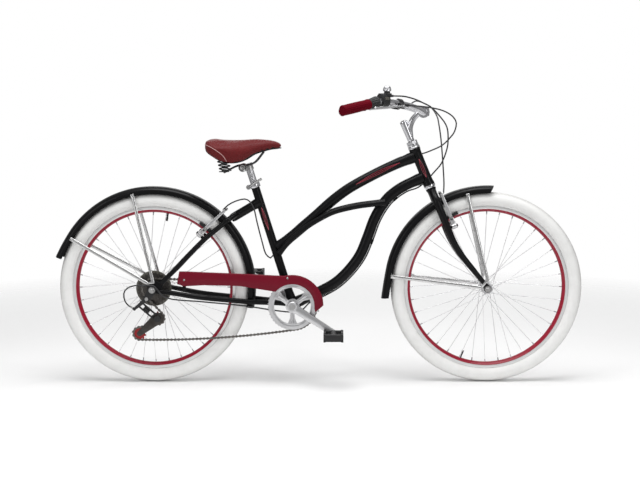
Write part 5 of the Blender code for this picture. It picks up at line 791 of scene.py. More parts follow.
# %% [markdown]
# The frame's three arched tubes are curves with measured bows. Each centre line is a function,
# because the cables run along two of them.

# %% Centre lines of the main tubes
HEAD_BASE = at(0.38152, 0.0, 0.69257)
STEER_UP = at(-0.38268, 0.0, 0.92388)
STEER_OUT = at(0.92388, 0.0, 0.38268)
CRANK_AXLE = at(-0.096, 0.0, 0.275)
SEAT_UP = at(-0.29904, 0.0, 0.95424)
SEAT_TOP = CRANK_AXLE + SEAT_UP * 0.442
TOP_TUBE_RADIUS = 0.018
DOWN_TUBE_RADIUS = 0.0185
LATERAL_RADIUS = 0.0095
LATERAL_OFFSETS = (0.0283, 0.0244)
CABLE_GAP = 0.0006


def on_steerer(up, out, y=0.0):
    """A point given from the head tube's foot, along the steering axis."""
    return HEAD_BASE + STEER_UP * up + STEER_OUT * out + LEFT * y


def top_tube_route(spacing):
    bows = [(0.15, 0.0185), (0.28, 0.029), (0.42, 0.036), (0.5, 0.0355), (0.58, 0.031),
            (0.69, 0.021), (0.84, 0.009)]
    return smooth_route(bowed(on_steerer(0.11, 0.0), CRANK_AXLE + SEAT_UP * 0.202, bows), spacing)


def down_tube_route(spacing):
    bows = [(0.12, 0.0285), (0.21, 0.0375), (0.28, 0.0325), (0.36, 0.017), (0.45, -0.011),
            (0.55, -0.039), (0.65, -0.0505), (0.75, -0.05), (0.85, -0.0335)]
    return smooth_route(bowed(on_steerer(0.032, 0.0), CRANK_AXLE, bows), spacing)


def beside_tube(route, turn, radius):
    """Cable points along a tube. The turn is 0 on its left side and 90 above it."""
    points = []
    for before, place, after in zip(route, route[1:], route[2:]):
        above = (before - after).normalized().cross(LEFT)
        above = -above if above.z < 0.0 else above
        out = LEFT * math.cos(math.radians(turn)) + above * math.sin(math.radians(turn))
        points.append(place + out * (radius + CABLE_RADIUS + CABLE_GAP))
    return points


# %% Cables
def lay_cable(name, points, nodes, body=None, ties=None):
    """A housed cable. Given ties, it is baked in place; their two heights are not used."""
    route = smooth_route(points, CABLE_SPACING)
    form = Form().tube(route, CABLE_RADIUS, 12)
    piece = form.piece(name, HOUSING_BLACK, body, "cable_housing", *nodes, angle=60.0)
    if ties:
        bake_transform(piece)
    length = distances(route)[-1]
    print(name, "is", round(length, 3), "m long")
    return route


coarse_top = top_tube_route(0.06)
coarse_down = down_tube_route(0.06)
lay_cable(
    "brake_cable_to_rear",
    REAR_BRAKE_ROUTE + beside_tube(coarse_top[:-1], 45.0, TOP_TUBE_RADIUS)
    + beside_tube(coarse_top[-3:], 20.0, TOP_TUBE_RADIUS) + REAR_BRAKE_TAIL,
    ["rear_brake_cable"], ties=(0.925, 0.815))
lay_cable("brake_cable_to_front", FRONT_BRAKE_ROUTE, ["front_brake_cable"], body="steering")
lay_cable(
    "gear_cable",
    SHIFT_LOOP_ROUTE + beside_tube(coarse_down, -90.0, DOWN_TUBE_RADIUS) + SHIFT_TAIL,
    ["shift_cable_loop", "shift_cable"], ties=(0.885, 0.7))

# %% [markdown]
# A tyre is a turned part: one cross-section, carried round the axle. The section here is a real
# casing, round in the air and drawn in at the beads, with small ribs moulded near the rim. The
# rim is turned in the same way, in two pieces, because its brake track is machined to bare
# metal while the rest is painted.


# %% Tyres
CASING_RADIUS = 0.0262
CASING_WALL = 0.0034


def tyre_section():
    """(radius, half width) points of a tyre, from inside the rim round to the crown."""
    middle = TYRE_RADIUS - CASING_RADIUS
    points = [
        (RIM_RADIUS - 0.0046, 0.0112), (RIM_RADIUS - 0.0004, 0.0124), (RIM_RADIUS + 0.0012, 0.0142)
    ]
    for step in range(17):
        turn = math.radians(-50.0 + 140.0 * step / 16.0)
        radius = middle + CASING_RADIUS * math.sin(turn)
        width = TYRE_HALF_WIDTH * math.cos(turn)
        if 0 < step < 16:
            rib = 0.00035 if step in (2, 4) else 0.0
            groove = 0.0007 if step in (11, 13) else 0.0
            radius -= groove * math.sin(turn)
            width += rib - groove * math.cos(turn)
        points.append((radius, width))
    points[-1] = (TYRE_RADIUS, 0.0)
    return points


def make_tyre(end, hub, body, rubber):
    half = tyre_section()
    outside = half + [(radius, -width) for radius, width in reversed(half[:-1])]
    inside = [(radius - CASING_WALL * 0.6, width * 0.8) for radius, width in half[3::3]]
    inner = [(radius, -width) for radius, width in inside] + inside[::-1]
    form = Form().turned(outside + inner, hub, LEFT, 192, loop=True)
    return form.piece(end + "_tyre_casing", rubber, body, "tread_rubber", end + "_tyre", angle=50.0)


# %% Rims
def make_rim(end, hub, body):
    inner = RIM_RADIUS - RIM_DEPTH
    waist = RIM_RADIUS - 0.0095
    half = RIM_HALF_WIDTH
    skin = 0.0012
    painted = [
        (waist, half - 0.0003), (waist - 0.003, half - 0.0018), (inner + 0.0035, half - 0.0075),
        (inner + 0.0008, half - 0.011), (inner, 0.0),
    ]
    outline = painted + [(radius, -width) for radius, width in reversed(painted[:-1])]
    well = mirrored([(waist, -half + skin), (inner + 0.006, -0.007)])
    form = Form().turned(outline + well, hub, LEFT, 144, loop=True)
    rim = form.piece(end + "_rim_body", RIM_RED, body, "rim_finish", end + "_rim", angle=30.0)
    tracks = Form()
    for side in (1.0, -1.0):
        face = [
            (waist - 0.0002, side * (half - skin)), (waist - 0.0002, side * (half - 0.0002)),
            (waist + 0.0004, side * half), (RIM_RADIUS - 0.0005, side * half),
            (RIM_RADIUS, side * (half - 0.0005)), (RIM_RADIUS, side * (half - skin)),
        ]
        tracks.turned(face, hub, LEFT, 144, loop=True)
    bed = [(RIM_RADIUS - 0.0064, half - skin), (RIM_RADIUS - 0.0064, -half + skin),
           (RIM_RADIUS - 0.0074, -half + skin), (RIM_RADIUS - 0.0074, half - skin)]
    tracks.turned(bed, hub, LEFT, 72, loop=True)
    track = tracks.piece(end + "_rim_track", MACHINED, body, "polished_aluminium", angle=30.0)
    return rim, track


for end, hub, rubber in (("rear", REAR, REAR_RUBBER), ("front", FRONT, FRONT_RUBBER)):
    told("wheel", make_tyre(end, hub, end + "_wheel", rubber), *make_rim(end, hub, end + "_wheel"))

# %% [markdown]
# Each wheel has 36 wire spokes in crossing pairs. A spoke leaves a hole in the hub's flange with
# a short bend, and its thread ends in a nipple at the rim. They are built one by one, since the
# crossings are what makes a wheel look like a wheel. The hub is turned, with a waisted barrel.

# %% Spokes, nipples, hubs and valves
SPOKES_A_SIDE = 18
SPOKE_WIRE = 0.001
SPOKE_CROSSING = math.radians(60.0)
SPOKE_STAGGER = 0.0013
SPOKE_HOLE_INSET = 0.003
NIPPLE_LENGTH = 0.011
AXLE_BORE = 0.0056
FLANGE_WIDTH = 0.003
CHAIN_LINE = 0.0465
WHEELS = (
    # end, hub, the flanges' places, their radius, the hub's ends, the barrel, the valve's turn
    ("front", FRONT, (0.034, -0.034), 0.0205, (0.0422, -0.0422), 0.0112, 251.0),
    ("rear", REAR, (0.034, -0.0153), 0.0225, (0.057, -0.0185), 0.0135, 79.0),
)


def make_spokes(end, hub, body, flanges, flange_radius):
    wires = Form()
    nipples = Form()
    tip_radius = RIM_RADIUS - RIM_DEPTH + 0.001
    step = 2.0 * math.pi / SPOKES_A_SIDE
    for side, flange in enumerate(flanges):
        for index in range(SPOKES_A_SIDE):
            turn = (index + side * 0.5) * step
            outward = 1.0 if index % 2 == 0 else -1.0
            beyond = outward * (FLANGE_WIDTH / 2.0 + SPOKE_WIRE * 1.1)
            root = around(hub, flange_radius - SPOKE_HOLE_INSET, turn, flange + beyond)
            head = around(hub, flange_radius - SPOKE_HOLE_INSET, turn, flange - beyond * 1.5)
            aside = math.copysign(0.002, flange) + outward * SPOKE_STAGGER
            tip = around(hub, tip_radius, turn + outward * SPOKE_CROSSING, aside)
            near = root.lerp(tip, 0.012)
            wires.tube([head, root - (root - head) * 0.1, near, tip], SPOKE_WIRE, 8)
            wires.rod(head, head.lerp(root, 0.2), SPOKE_WIRE * 2.0, 8)
            along = (tip - root).normalized()
            nipples.rod(tip - along * NIPPLE_LENGTH, tip, 0.0019, 10, 0.0024)
    wire = wires.piece(
        end + "_spoke_wires", SPOKE_STEEL, body, "bright_steel", end + "_spokes", angle=60.0)
    nipple = nipples.piece(end + "_spoke_nipples", CHROME, body, "chrome_plate")
    return wire, nipple


def make_hub(end, hub, body, flanges, flange_radius, ends, barrel):
    left, right = flanges
    half = FLANGE_WIDTH / 2.0
    profile = [(AXLE_BORE, ends[0]), (barrel + 0.0015, ends[0]), (barrel + 0.0025, ends[0] - 0.001),
               (barrel + 0.0025, left + half + 0.002), (barrel + 0.006, left + half),
               (flange_radius - 0.0006, left + half), (flange_radius, left + half - 0.0006),
               (flange_radius, left - half + 0.0006), (flange_radius - 0.0006, left - half),
               (barrel + 0.0045, left - half), (barrel + 0.0012, left - half - 0.004)]
    span = left - right
    for share in (0.25, 0.5, 0.75):
        profile.append((barrel - 0.0012, left - span * share))
    profile += [(barrel + 0.0012, right + half + 0.004), (barrel + 0.0045, right + half),
                (flange_radius - 0.0006, right + half), (flange_radius, right + half - 0.0006),
                (flange_radius, right - half + 0.0006), (flange_radius - 0.0006, right - half),
                (barrel + 0.006, right - half), (barrel + 0.002, right - half - 0.0008),
                (barrel + 0.002, ends[1]), (AXLE_BORE, ends[1])]
    form = Form().turned(profile, hub, LEFT, 64, loop=True)
    return form.piece(end + "_hub", ALLOY, body, "bright_steel", angle=30.0)


def make_valve(end, hub, body, turn):
    """A capped tyre valve, pointing at the hub."""
    inward = -around(Vector(), 1.0, turn)
    foot = around(hub, RIM_RADIUS - RIM_DEPTH + 0.0004, turn)
    form = Form().rod(foot, foot + inward * 0.022, 0.003, 16)
    form.rod(foot + inward * 0.014, foot + inward * 0.027, 0.004, 12, 0.0036)
    return form.piece(end + "_valve", BLACK_PLASTIC, body, "black_plastic")


for end, hub, flanges, flange_radius, ends, barrel, valve_turn in WHEELS:
    body = end + "_wheel"
    told(end + " wheel", *make_spokes(end, hub, body, flanges, flange_radius),
         make_hub(end, hub, body, flanges, flange_radius, ends, barrel),
         make_valve(end, hub, body, math.radians(valve_turn)))

# %% [markdown]
# The frame is welded from tubes. At a weld a tube opens out a little, so each tube's radii are a
# list that swells towards its ends: one number for the swelling, one for its reach.

# %% Frame: sizes
HEAD_LENGTH = 0.138
UPPER_STACK = 0.027
SEAT_TUBE_RADIUS = 0.0146
SHELL_RADIUS = 0.0205
SHELL_HALF = 0.034
CHAIN_STAY_RADIUS = 0.009
SEAT_STAY_RADIUS = 0.0088
FENDER_RADIUS = 0.357
YOKE_ON_SEAT = 0.378
POST_BORE = 0.0141
WELD_SWELL = 0.002
WELD_REACH = 0.014
DROPOUT_THICKNESS = 0.0055
FRONT_DROPOUT = 0.05275
AXLE_HOLE = 0.0051
REAR_DROPOUT = 0.06775
BRAKE_OFFSET = 0.044
ARM_AHEAD = 0.024
FRONT_BRAKE = (at(0.44346, 0.0, 0.54331), at(-0.3746, 0.0, 0.9272), at(0.9272, 0.0, 0.3746))
REAR_BRAKE = (at(-0.40054, 0.0, 0.50741), at(0.7254, 0.0, 0.6884), at(-0.6884, 0.0, 0.7254))
SIDES = (("right", -1.0), ("left", 1.0))


def welded(route, radius, first=True, last=True, centre_gap=0.0):
    """Radii along a tube that swell at its welds. The gap is what the other tube hides."""
    def swell(distance):
        return math.exp(-(max(0.0, distance - centre_gap) / WELD_REACH) ** 2)

    reach = distances(route)
    return [
        radius + WELD_SWELL * (first * swell(place) + last * swell(reach[-1] - place))
        for place in reach
    ]


def trimmed(route, start, end):
    """A route without its first and last stretches, in metres."""
    reach = distances(route)
    return [p for p, place in zip(route, reach) if start <= place <= reach[-1] - end]


# %% Head tube, headset and main tubes
def ring(form, up, profile, steps=48):
    """Turn a part round the steering axis, at a height up it."""
    form.turned(profile, on_steerer(up, 0.0), STEER_UP, steps, loop=True)


def make_head():
    tube = Form()
    ring(tube, 0.0, [
        (0.0142, 0.0004), (0.0196, 0.0004), (0.02, 0.001), (0.02, 0.0075), (0.019, 0.01),
        (0.0182, 0.018), (0.0179, 0.069), (0.0182, 0.12), (0.019, 0.128), (0.02, 0.1305),
        (0.02, 0.137), (0.0196, 0.1376), (0.0142, 0.1376),
    ])
    head = tube.piece("head_tube_shell", GLOSS_BLACK, "frame", "frame_paint", "head_tube")
    cups = Form()
    ring(cups, 0.0, [
        (0.0135, 0.0002), (0.0204, 0.0002), (0.0206, -0.001), (0.0206, -0.004), (0.0196, -0.0052),
        (0.0188, -0.0094), (0.0135, -0.0094),
    ])
    ring(cups, HEAD_LENGTH, [
        (0.0135, 0.0002), (0.0204, 0.0002), (0.0206, 0.0012), (0.0206, 0.0042), (0.0196, 0.0054),
        (0.019, 0.0095), (0.0135, 0.0095),
    ])
    cup = cups.piece("headset_cups", CHROME, "frame", "chrome_plate")
    top = Form()
    ring(top, HEAD_LENGTH, [
        (0.013, 0.0102), (0.0192, 0.0102), (0.0194, 0.0112), (0.0194, 0.015), (0.018, 0.0158),
        (0.013, 0.0158),
    ])
    six = Form().turned(
        [(0.013, 0.0164), (0.0184, 0.0164), (0.019, 0.017), (0.019, 0.0245), (0.0178, 0.0262),
         (0.013, 0.0262)], on_steerer(HEAD_LENGTH, 0.0), STEER_UP, 8, loop=True)
    locknut = six.piece("headset_locknut", CHROME, "steering", "chrome_plate", angle=20.0)
    return head, cup, top.piece("headset_cap", CHROME, "steering", "chrome_plate"), locknut


def make_main_tubes():
    top = trimmed(top_tube_route(0.01), 0.004, 0.004)
    down = trimmed(down_tube_route(0.01), 0.004, 0.006)
    return (
        Form().tube(top, welded(top, TOP_TUBE_RADIUS, centre_gap=0.016), 36).piece(
            "top_tube_pipe", GLOSS_BLACK, "frame", "frame_paint", "top_tube"),
        Form().tube(down, welded(down, DOWN_TUBE_RADIUS, centre_gap=0.018), 36).piece(
            "down_tube_pipe", GLOSS_BLACK, "frame", "frame_paint", "down_tube"),
    )


def make_laterals():
    """Two thin tubes that arch between the down tube and the seat tube, with a bridge."""
    front = along_route(down_tube_route(0.06), 0.252)
    rear = CRANK_AXLE + SEAT_UP * 0.19 + FORWARD * 0.01
    bows = [(0.1, 0.014), (0.21, 0.0288), (0.325, 0.0408), (0.44, 0.0486), (0.57, 0.0475),
            (0.68, 0.0424), (0.8, 0.0307), (0.9, 0.0184)]
    middle = smooth_route(bowed(front, rear, bows), 0.012)
    form = Form()
    wide, narrow = LATERAL_OFFSETS
    for side in (-1.0, 1.0):
        route = []
        for index, point in enumerate(middle):
            share = max(0.0, index / (len(middle) - 1) - 0.8) / 0.2
            route.append(point + LEFT * side * (wide + (narrow - wide) * share))
        form.tube(route, welded(route, LATERAL_RADIUS), 24)
    form.pin(along_route(middle, 0.42), -wide, wide, 0.005, 16)
    return form.piece("lateral_pipes", GLOSS_BLACK, "frame", "frame_paint", "lateral_tubes")


def along_route(route, share):
    """The point at a share of a route's length."""
    left = share * distances(route)[-1]
    for before, after in zip(route, route[1:]):
        span = (after - before).length
        if left <= span:
            return before.lerp(after, left / span)
        left -= span
    return route[-1]


def make_seat_tube():
    form = Form()
    foot = CRANK_AXLE + SEAT_UP * 0.012
    steps = [foot.lerp(SEAT_TOP, share) for share in even(0.0, 1.0, 40)]
    form.tube(steps, welded(steps, SEAT_TUBE_RADIUS, last=False, centre_gap=0.012), 32)
    form.turned(mirrored([
        (0.0168, SHELL_HALF), (SHELL_RADIUS - 0.0006, SHELL_HALF),
        (SHELL_RADIUS, SHELL_HALF - 0.0006),
    ]), CRANK_AXLE, LEFT, 48, loop=True)
    tube = form.piece("seat_tube_pipe", GLOSS_BLACK, "frame", "frame_paint", "seat_tube")
    cups = Form()
    for side in (1.0, -1.0):
        cups.turned([
            (0.009, side * (SHELL_HALF - 0.006)), (0.0166, side * (SHELL_HALF - 0.006)),
            (0.0166, side * SHELL_HALF), (0.0178, side * (SHELL_HALF + 0.0002)),
            (0.0178, side * (SHELL_HALF + 0.0022)), (0.0168, side * (SHELL_HALF + 0.0028)),
            (0.009, side * (SHELL_HALF + 0.0028)),
        ], CRANK_AXLE, LEFT, 40, loop=True)
    return tube, cups.piece("crank_cups", DARK_STEEL, "frame", "dark_steel", angle=30.0)


told("head", *make_head())
told("tubes", *make_main_tubes(), make_laterals(), *make_seat_tube())

# %% [markdown]
# The stays are thinner tubes that bow out round the wheel, and each is drawn in at one end. They
# meet a flat plate with a hole for the axle: an outline, cut from sheet, with a small bevel.


# %% Stays and dropouts
def rear_dropout(form, side):
    seat_end = REAR + at(0.03, 0.0, 0.02)
    down = around(Vector(), -1.0, math.radians(47.0))
    across = at(-down.z, 0.0, down.x) * 0.008
    lobe = [seat_end - down * 0.004 + across, seat_end - down * 0.004 - across]
    outline = arc(REAR, 0.017, math.radians(150.0), math.radians(320.0), 24)
    outline += [(REAR.x + x, REAR.z + z) for x, z in (
        (0.024, -0.0135), (0.04, -0.012), (0.04, -0.004), (0.033, 0.003))]
    outline += [(point.x, point.z) for point in lobe]
    outline += [(REAR.x + x, REAR.z + z) for x, z in (
        (0.018, 0.03), (0.005, 0.033), (-0.01, 0.0322), (-0.018, 0.029),
        (-0.0215, 0.022), (-0.0205, 0.014))]
    form.plate([outline, hole(REAR, AXLE_HOLE)], side * REAR_DROPOUT, DROPOUT_THICKNESS, 0.0006)


def brake_stud(form, brake, side):
    root, stud = brake[0], brake[2]
    start = root + LEFT * side * BRAKE_OFFSET
    form.rod(start, start + stud * 0.014, 0.007, 24, 0.0058)
    shoulder = start + stud * (ARM_AHEAD + 0.0093)
    form.rod(start, shoulder + stud * 0.001, 0.004, 20)
    form.rod(shoulder, shoulder + stud * 0.0016, 0.0061, 24)
    form.rod(shoulder, shoulder + stud * 0.0036, 0.005, 6)


def drawn_in(radius, loss, count):
    """Radii along a stay that is drawn in at its first end."""
    return [radius - loss * math.exp(-index / 3.0) for index in range(count)]


def make_chain_stays():
    form = Form()
    start = REAR + at(0.026, 0.0, -0.006)
    end = CRANK_AXLE + at(-0.008, 0.0, 0.003)
    bends = [(0.06, 0.062, 0.0), (0.3, 0.052, -0.007), (0.57, 0.045, -0.006),
             (0.715, 0.043, -0.004), (0.83, 0.0315, -0.002), (0.93, 0.027, 0.0)]
    for side in (-1.0, 1.0):
        points = [start + LEFT * side * REAR_DROPOUT]
        points += [start.lerp(end, share) + at(0.0, side * y, rise) for share, y, rise in bends]
        points.append(end + LEFT * side * 0.027)
        route = smooth_route(points, 0.01)
        form.tube(route, drawn_in(CHAIN_STAY_RADIUS, 0.0016, len(route)), 24)
        rear_dropout(form, side)
    form.block(CRANK_AXLE + at(-0.072, 0.0, 0.009), (0.036, 0.06, 0.004), bevel=0.001)
    return form.piece("chain_stay_pipes", GLOSS_BLACK, "frame", "frame_paint", "chain_stays")


def make_seat_stays():
    steps = [(0.3878, 41.6, 0.013), (0.3718, 42.0, 0.03), (0.354, 42.4, 0.0418),
             (0.323, 42.8, 0.0423), (0.251, 43.7, 0.044), (0.1515, 42.9, 0.052),
             (0.1085, 41.4, 0.057)]
    form = Form()
    yoke_end = around(REAR, 0.365, math.radians(41.7))
    yoke_start = CRANK_AXLE + SEAT_UP * YOKE_ON_SEAT
    yoke = [yoke_start.lerp(yoke_end, share) for share in even(0.0, 1.0, 20)]
    radii = welded(yoke, 0.0155, last=False, centre_gap=0.014)
    radii[-2:] = [0.0148, 0.013]
    form.tube(yoke, radii, 28)
    for side in (-1.0, 1.0):
        points = [around(REAR, radius, math.radians(turn), side * y) for radius, turn, y in steps]
        foot = REAR + at(0.03, side * 0.06675, 0.02)
        route = smooth_route(points + [around(foot, 0.0215, math.radians(47.0)), foot], 0.01)
        form.tube(route, drawn_in(SEAT_STAY_RADIUS, 0.001, len(route))[::-1], 24)
        brake_stud(form, REAR_BRAKE, side)
    form.cut(Form().rod(
        CRANK_AXLE + SEAT_UP * 0.33, CRANK_AXLE + SEAT_UP * 0.45, POST_BORE, 40))
    return form.piece("seat_stay_pipes", GLOSS_BLACK, "frame", "frame_paint", "seat_stays")


told("stays", make_chain_stays(), make_seat_stays())

# %% [markdown]
# Fenders are rolled sheet: an arch for a cross-section, swept round the hub. Flattened bars hold
# them. Each bar ends in a small block on the fender's edge, and in an eyelet under a bolt at the
# dropout. The chain guard is pressed sheet too, with rolled edges.

# %% Fenders
FENDER_HALF_WIDTH = 0.03
FENDER_RISE = 0.026
FENDER_SHEET = 0.001
STAY_HALF_WIDTH = 0.0056
STAY_FLATNESS = 0.46
FOOT_INSET = 0.024
FOOT_OFFSET = 0.0331


def fender_section(widen, lift):
    """Points across a fender, outside and then inside, from one edge to the other."""
    half = FENDER_HALF_WIDTH + widen
    edge = FENDER_RADIUS - FENDER_RISE + lift
    arch = [
        (FENDER_RADIUS - 0.0165 + lift + 0.0165 * math.sin(turn), -math.cos(turn) * half)
        for turn in even(0.0, math.pi, 12)
    ]
    inner_half = half * (1.0 - FENDER_SHEET / FENDER_HALF_WIDTH)
    inside = [(radius - FENDER_SHEET, y * 0.965) for radius, y in reversed(arch)]
    return [(edge, -half), *arch, (edge, half), (edge, inner_half), *inside, (edge, -inner_half)]


def make_fender(end, hub, body, sections, tip_slant=0.0):
    rows = []
    for index, (angle, lift, widen) in enumerate(sections):
        slant = tip_slant if index == 0 else 0.0
        row = []
        for radius, y in fender_section(widen, lift):
            turn = math.radians(angle + slant * (FENDER_RADIUS - radius) / FENDER_RISE)
            row.append(around(hub, radius, turn, y))
        rows.append(row)
    return Form().skin(rows).piece(
        end + "_fender_sheet", GLOSS_BLACK, body, "frame_paint", end + "_fender", angle=40.0)


rear_sections = [(angle, 0.0, 0.0) for angle in even(-11.7, 147.0, 64)]
rear_sections += [(147.0 + 15.2 * t, 0.0065 * t * t, 0.001 * t * t) for t in even(0.1, 1.0, 9)]
front_sections = [(angle, 0.0, 0.0) for angle in (86.3, 89.0, *even(91.0, 170.0, 34))]
front_sections += [(170.0 + 16.0 * t, 0.0125 * t ** 1.9, 0.0) for t in even(0.1, 1.0, 9)]
told("fenders", make_fender("rear", REAR, "frame", rear_sections),
     make_fender("front", FRONT, "steering", front_sections, 2.2))


# %% Fender stays
def make_fender_stays(end, hub, label, side, plate_y, eyes, feet, body):
    form = Form()
    middle = side * plate_y
    turns = [2.0 * math.pi * step / 20 for step in range(20)]
    strip = [(math.cos(turn) * STAY_FLATNESS, math.sin(turn)) for turn in turns]
    first, second = [hub + at(x, middle, z) for x, z in eyes]
    along = (second - first).normalized()
    form.block((first + second) / 2.0, ((second - first).length + 0.005, 0.002, 0.0086), along,
               along.cross(LEFT), 0.0008)
    for eye, angle in zip((first, second), feet):
        turn = math.radians(angle)
        foot = around(hub, FENDER_RADIUS - FOOT_INSET, turn, side * FOOT_OFFSET)
        start = eye + LEFT * side * 0.0026
        form.turned([(0.002, -0.0008), (0.0046, -0.0008), (0.0046, 0.0008), (0.002, 0.0008)],
                    eye + LEFT * side * 0.0006, LEFT, 24, loop=True)
        tip = foot.lerp(start, 0.004)
        bar = [start, start.lerp(foot, 0.02), start.lerp(foot, 0.5), tip]
        form.tube(bar, STAY_HALF_WIDTH, section=strip)
        radial = around(Vector(), 1.0, turn)
        form.block(foot - radial * 0.01, (0.029, 0.005, 0.013), radial, radial.cross(LEFT), 0.0014)
        form.pin(foot, 0.0, side * 0.003, 0.0026, 16)
    return form.piece(f"{end}_stay_wires_{label}", STAY_STEEL, body, "bright_steel",
                      f"{end}_fender_stays_{label}")


for label, side in SIDES:
    told(
        label + " stays",
        make_fender_stays("rear", REAR, label, side, 0.0719, ((0.005, 0.027), (-0.015, 0.024)),
                          (101.8, 148.5), "frame"),
        make_fender_stays("front", FRONT, label, side, 0.06265, ((-0.002, 0.033), (-0.024, 0.006)),
                          (102.1, 172.9), "steering"),
    )


# %% Chain guard
GUARD_FACE = -0.06
GUARD_DEPTH = 0.01
GUARD_SHEET = 0.0014
RING_RADIUS = 0.08497


def guard_row(low, top):
    """Points across the pressing at one place, from its lower edge to its upper one."""
    rise = (top - low).normalized()

    def place(share, depth, more=0.0):
        return low.lerp(top, share) + rise * more + LEFT * (GUARD_FACE + depth)

    return [
        place(0.0, 0.0016, 0.0004), place(0.0, 0.0, 0.0018), place(0.5, -0.0006),
        place(1.0, 0.0, -0.0034), place(1.0, 0.001, -0.001), place(1.0, 0.0034),
        place(1.0, GUARD_DEPTH), place(1.0, GUARD_DEPTH, -GUARD_SHEET),
        place(1.0, 0.0036, -GUARD_SHEET), place(1.0, 0.0024, -0.0034), place(0.5, GUARD_SHEET),
        place(0.0, GUARD_SHEET + 0.0004, 0.0018),
    ]


def make_chain_guard():
    outer, inner = RING_RADIUS + 0.024, RING_RADIUS - 0.008
    upper = [(-0.488, 0.397), (-0.464, 0.397), (-0.4, 0.394), (-0.277, 0.389)]
    upper += arc(CRANK_AXLE, outer, math.radians(104.0), math.radians(12.0), 28)
    upper.append((0.0125, 0.278))
    lower = [(-0.496, 0.353), (-0.472, 0.345), (-0.4, 0.349), (-0.277, 0.3455)]
    lower += arc(CRANK_AXLE, inner, math.radians(139.0), math.radians(-6.0), 28)
    lower.append((-0.016, 0.254))
    form = Form().skin([
        guard_row(at(low_x, 0.0, low_z), at(top_x, 0.0, top_z))
        for (low_x, low_z), (top_x, top_z) in zip(lower, upper)
    ])
    guard = form.piece(
        "guard_pressing", GUARD_RED, "frame", "guard_paint", "chain_guard", angle=50.0)
    screws = Form()
    for x, z in ((-0.471, 0.368), (-0.112, 0.374)):
        screws.rod(at(x, GUARD_FACE + 0.0004, z), at(x, GUARD_FACE - 0.0016, z), 0.0036, 24)
        screws.rod(at(x, GUARD_FACE, z), at(x, GUARD_FACE - 0.0026, z), 0.002, 6)
    screws.pin(
        CRANK_AXLE + at(0.09, 0.0, -0.016), GUARD_FACE + 0.001, GUARD_FACE - 0.002, 0.004, 6)
    strap = Form().block(at(-0.471, GUARD_FACE + 0.002, 0.34), (0.012, 0.0022, 0.03), bevel=0.0006)
    return (guard, screws.piece("guard_screws", STEEL, "frame", "bright_steel"),
            strap.piece("guard_hanger", GLOSS_BLACK, "frame", "frame_paint"))


told("chain guard", *make_chain_guard())

# %% [markdown]
# The fork's blades leave a crown under the head tube, bow out round the tyre and rake forward.
# Above it the stem's neck reaches to the bar. The bar is one bent tube, so everything on it is
# placed from its bends: the grips at its ends, then the shifter, the brackets and the levers.


# %% Fork
FORK_LENGTH = 0.408
FORK_RAKE = 0.048
CROWN_RACE = -0.012


def make_fork():
    race, length, rake = CROWN_RACE, FORK_LENGTH, FORK_RAKE
    form = Form()
    form.turned([(0.01, race - 0.03), (0.015, race - 0.024), (0.0158, race - 0.01),
                 (0.0176, race - 0.006), (0.018, race - 0.0052), (0.018, race - 0.0004),
                 (0.0172, race), (0.0128, race), (0.0128, 0.154), (0.01, 0.154)],
                on_steerer(0.0, 0.0), STEER_UP, 40, loop=True)
    for side in (-1.0, 1.0):
        steps = [
            (race - 0.012, 0.0, 0.006, 0.0145), (race - 0.023, 0.0, 0.022, 0.014),
            (race - 0.039, 0.0, 0.039, 0.0135), (race - 0.064, 0.0, 0.047, 0.0135),
            (-0.33 * length, 0.0, 0.048, 0.013), (-0.5 * length, 0.0, 0.0485, 0.012),
            (-0.64 * length, 0.17 * rake, 0.05, 0.0108),
            (-0.8 * length, 0.56 * rake, 0.05175, 0.0096),
            (-0.946 * length, 0.93 * rake, FRONT_DROPOUT, 0.008),
        ]
        knots = [on_steerer(step[0], step[1], side * step[2]) for step in steps]
        route = smooth_route(knots, 0.008)
        form.tube(route, resample(knots, [step[3] for step in steps], route), 28)
        foot = knots[-1] + (knots[-1] - knots[-2]).normalized() * 0.002
        ahead = bearing(FRONT, foot)
        outline = arc(FRONT, 0.013, ahead + math.radians(75.0), ahead + math.radians(285.0), 24)
        outline += arc(foot, 0.0076, ahead - math.radians(80.0), ahead + math.radians(80.0), 10)
        form.plate(
            [outline, hole(FRONT, AXLE_HOLE)], side * FRONT_DROPOUT, DROPOUT_THICKNESS, 0.0006)
        brake_stud(form, FRONT_BRAKE, side)
    return form.piece("fork_blades", GLOSS_BLACK, "steering", "frame_paint", "fork", angle=40.0)


# %% Stem and bar
BAR_CENTRE = at(0.36, 0.0, 0.94495)
BAR_BENDS = ((0.0, 0.022, 0.0), (-0.007, 0.036, 0.001), (-0.029, 0.065, 0.012),
             (-0.063, 0.11, 0.022), (-0.1075, 0.163, 0.0305), (-0.165, 0.2215, 0.032),
             (-0.281, 0.33, 0.004))
BAR_RADIUS = 0.0111
CLAMP_HALF = 0.019


def bar_point(index, side):
    x, y, z = BAR_BENDS[index]
    return BAR_CENTRE + at(x, side * y, z)


def leg_point(side, from_end):
    """A point on the grip's leg of the bar, measured from its end."""
    end = bar_point(6, side)
    return end + (bar_point(5, side) - end).normalized() * from_end


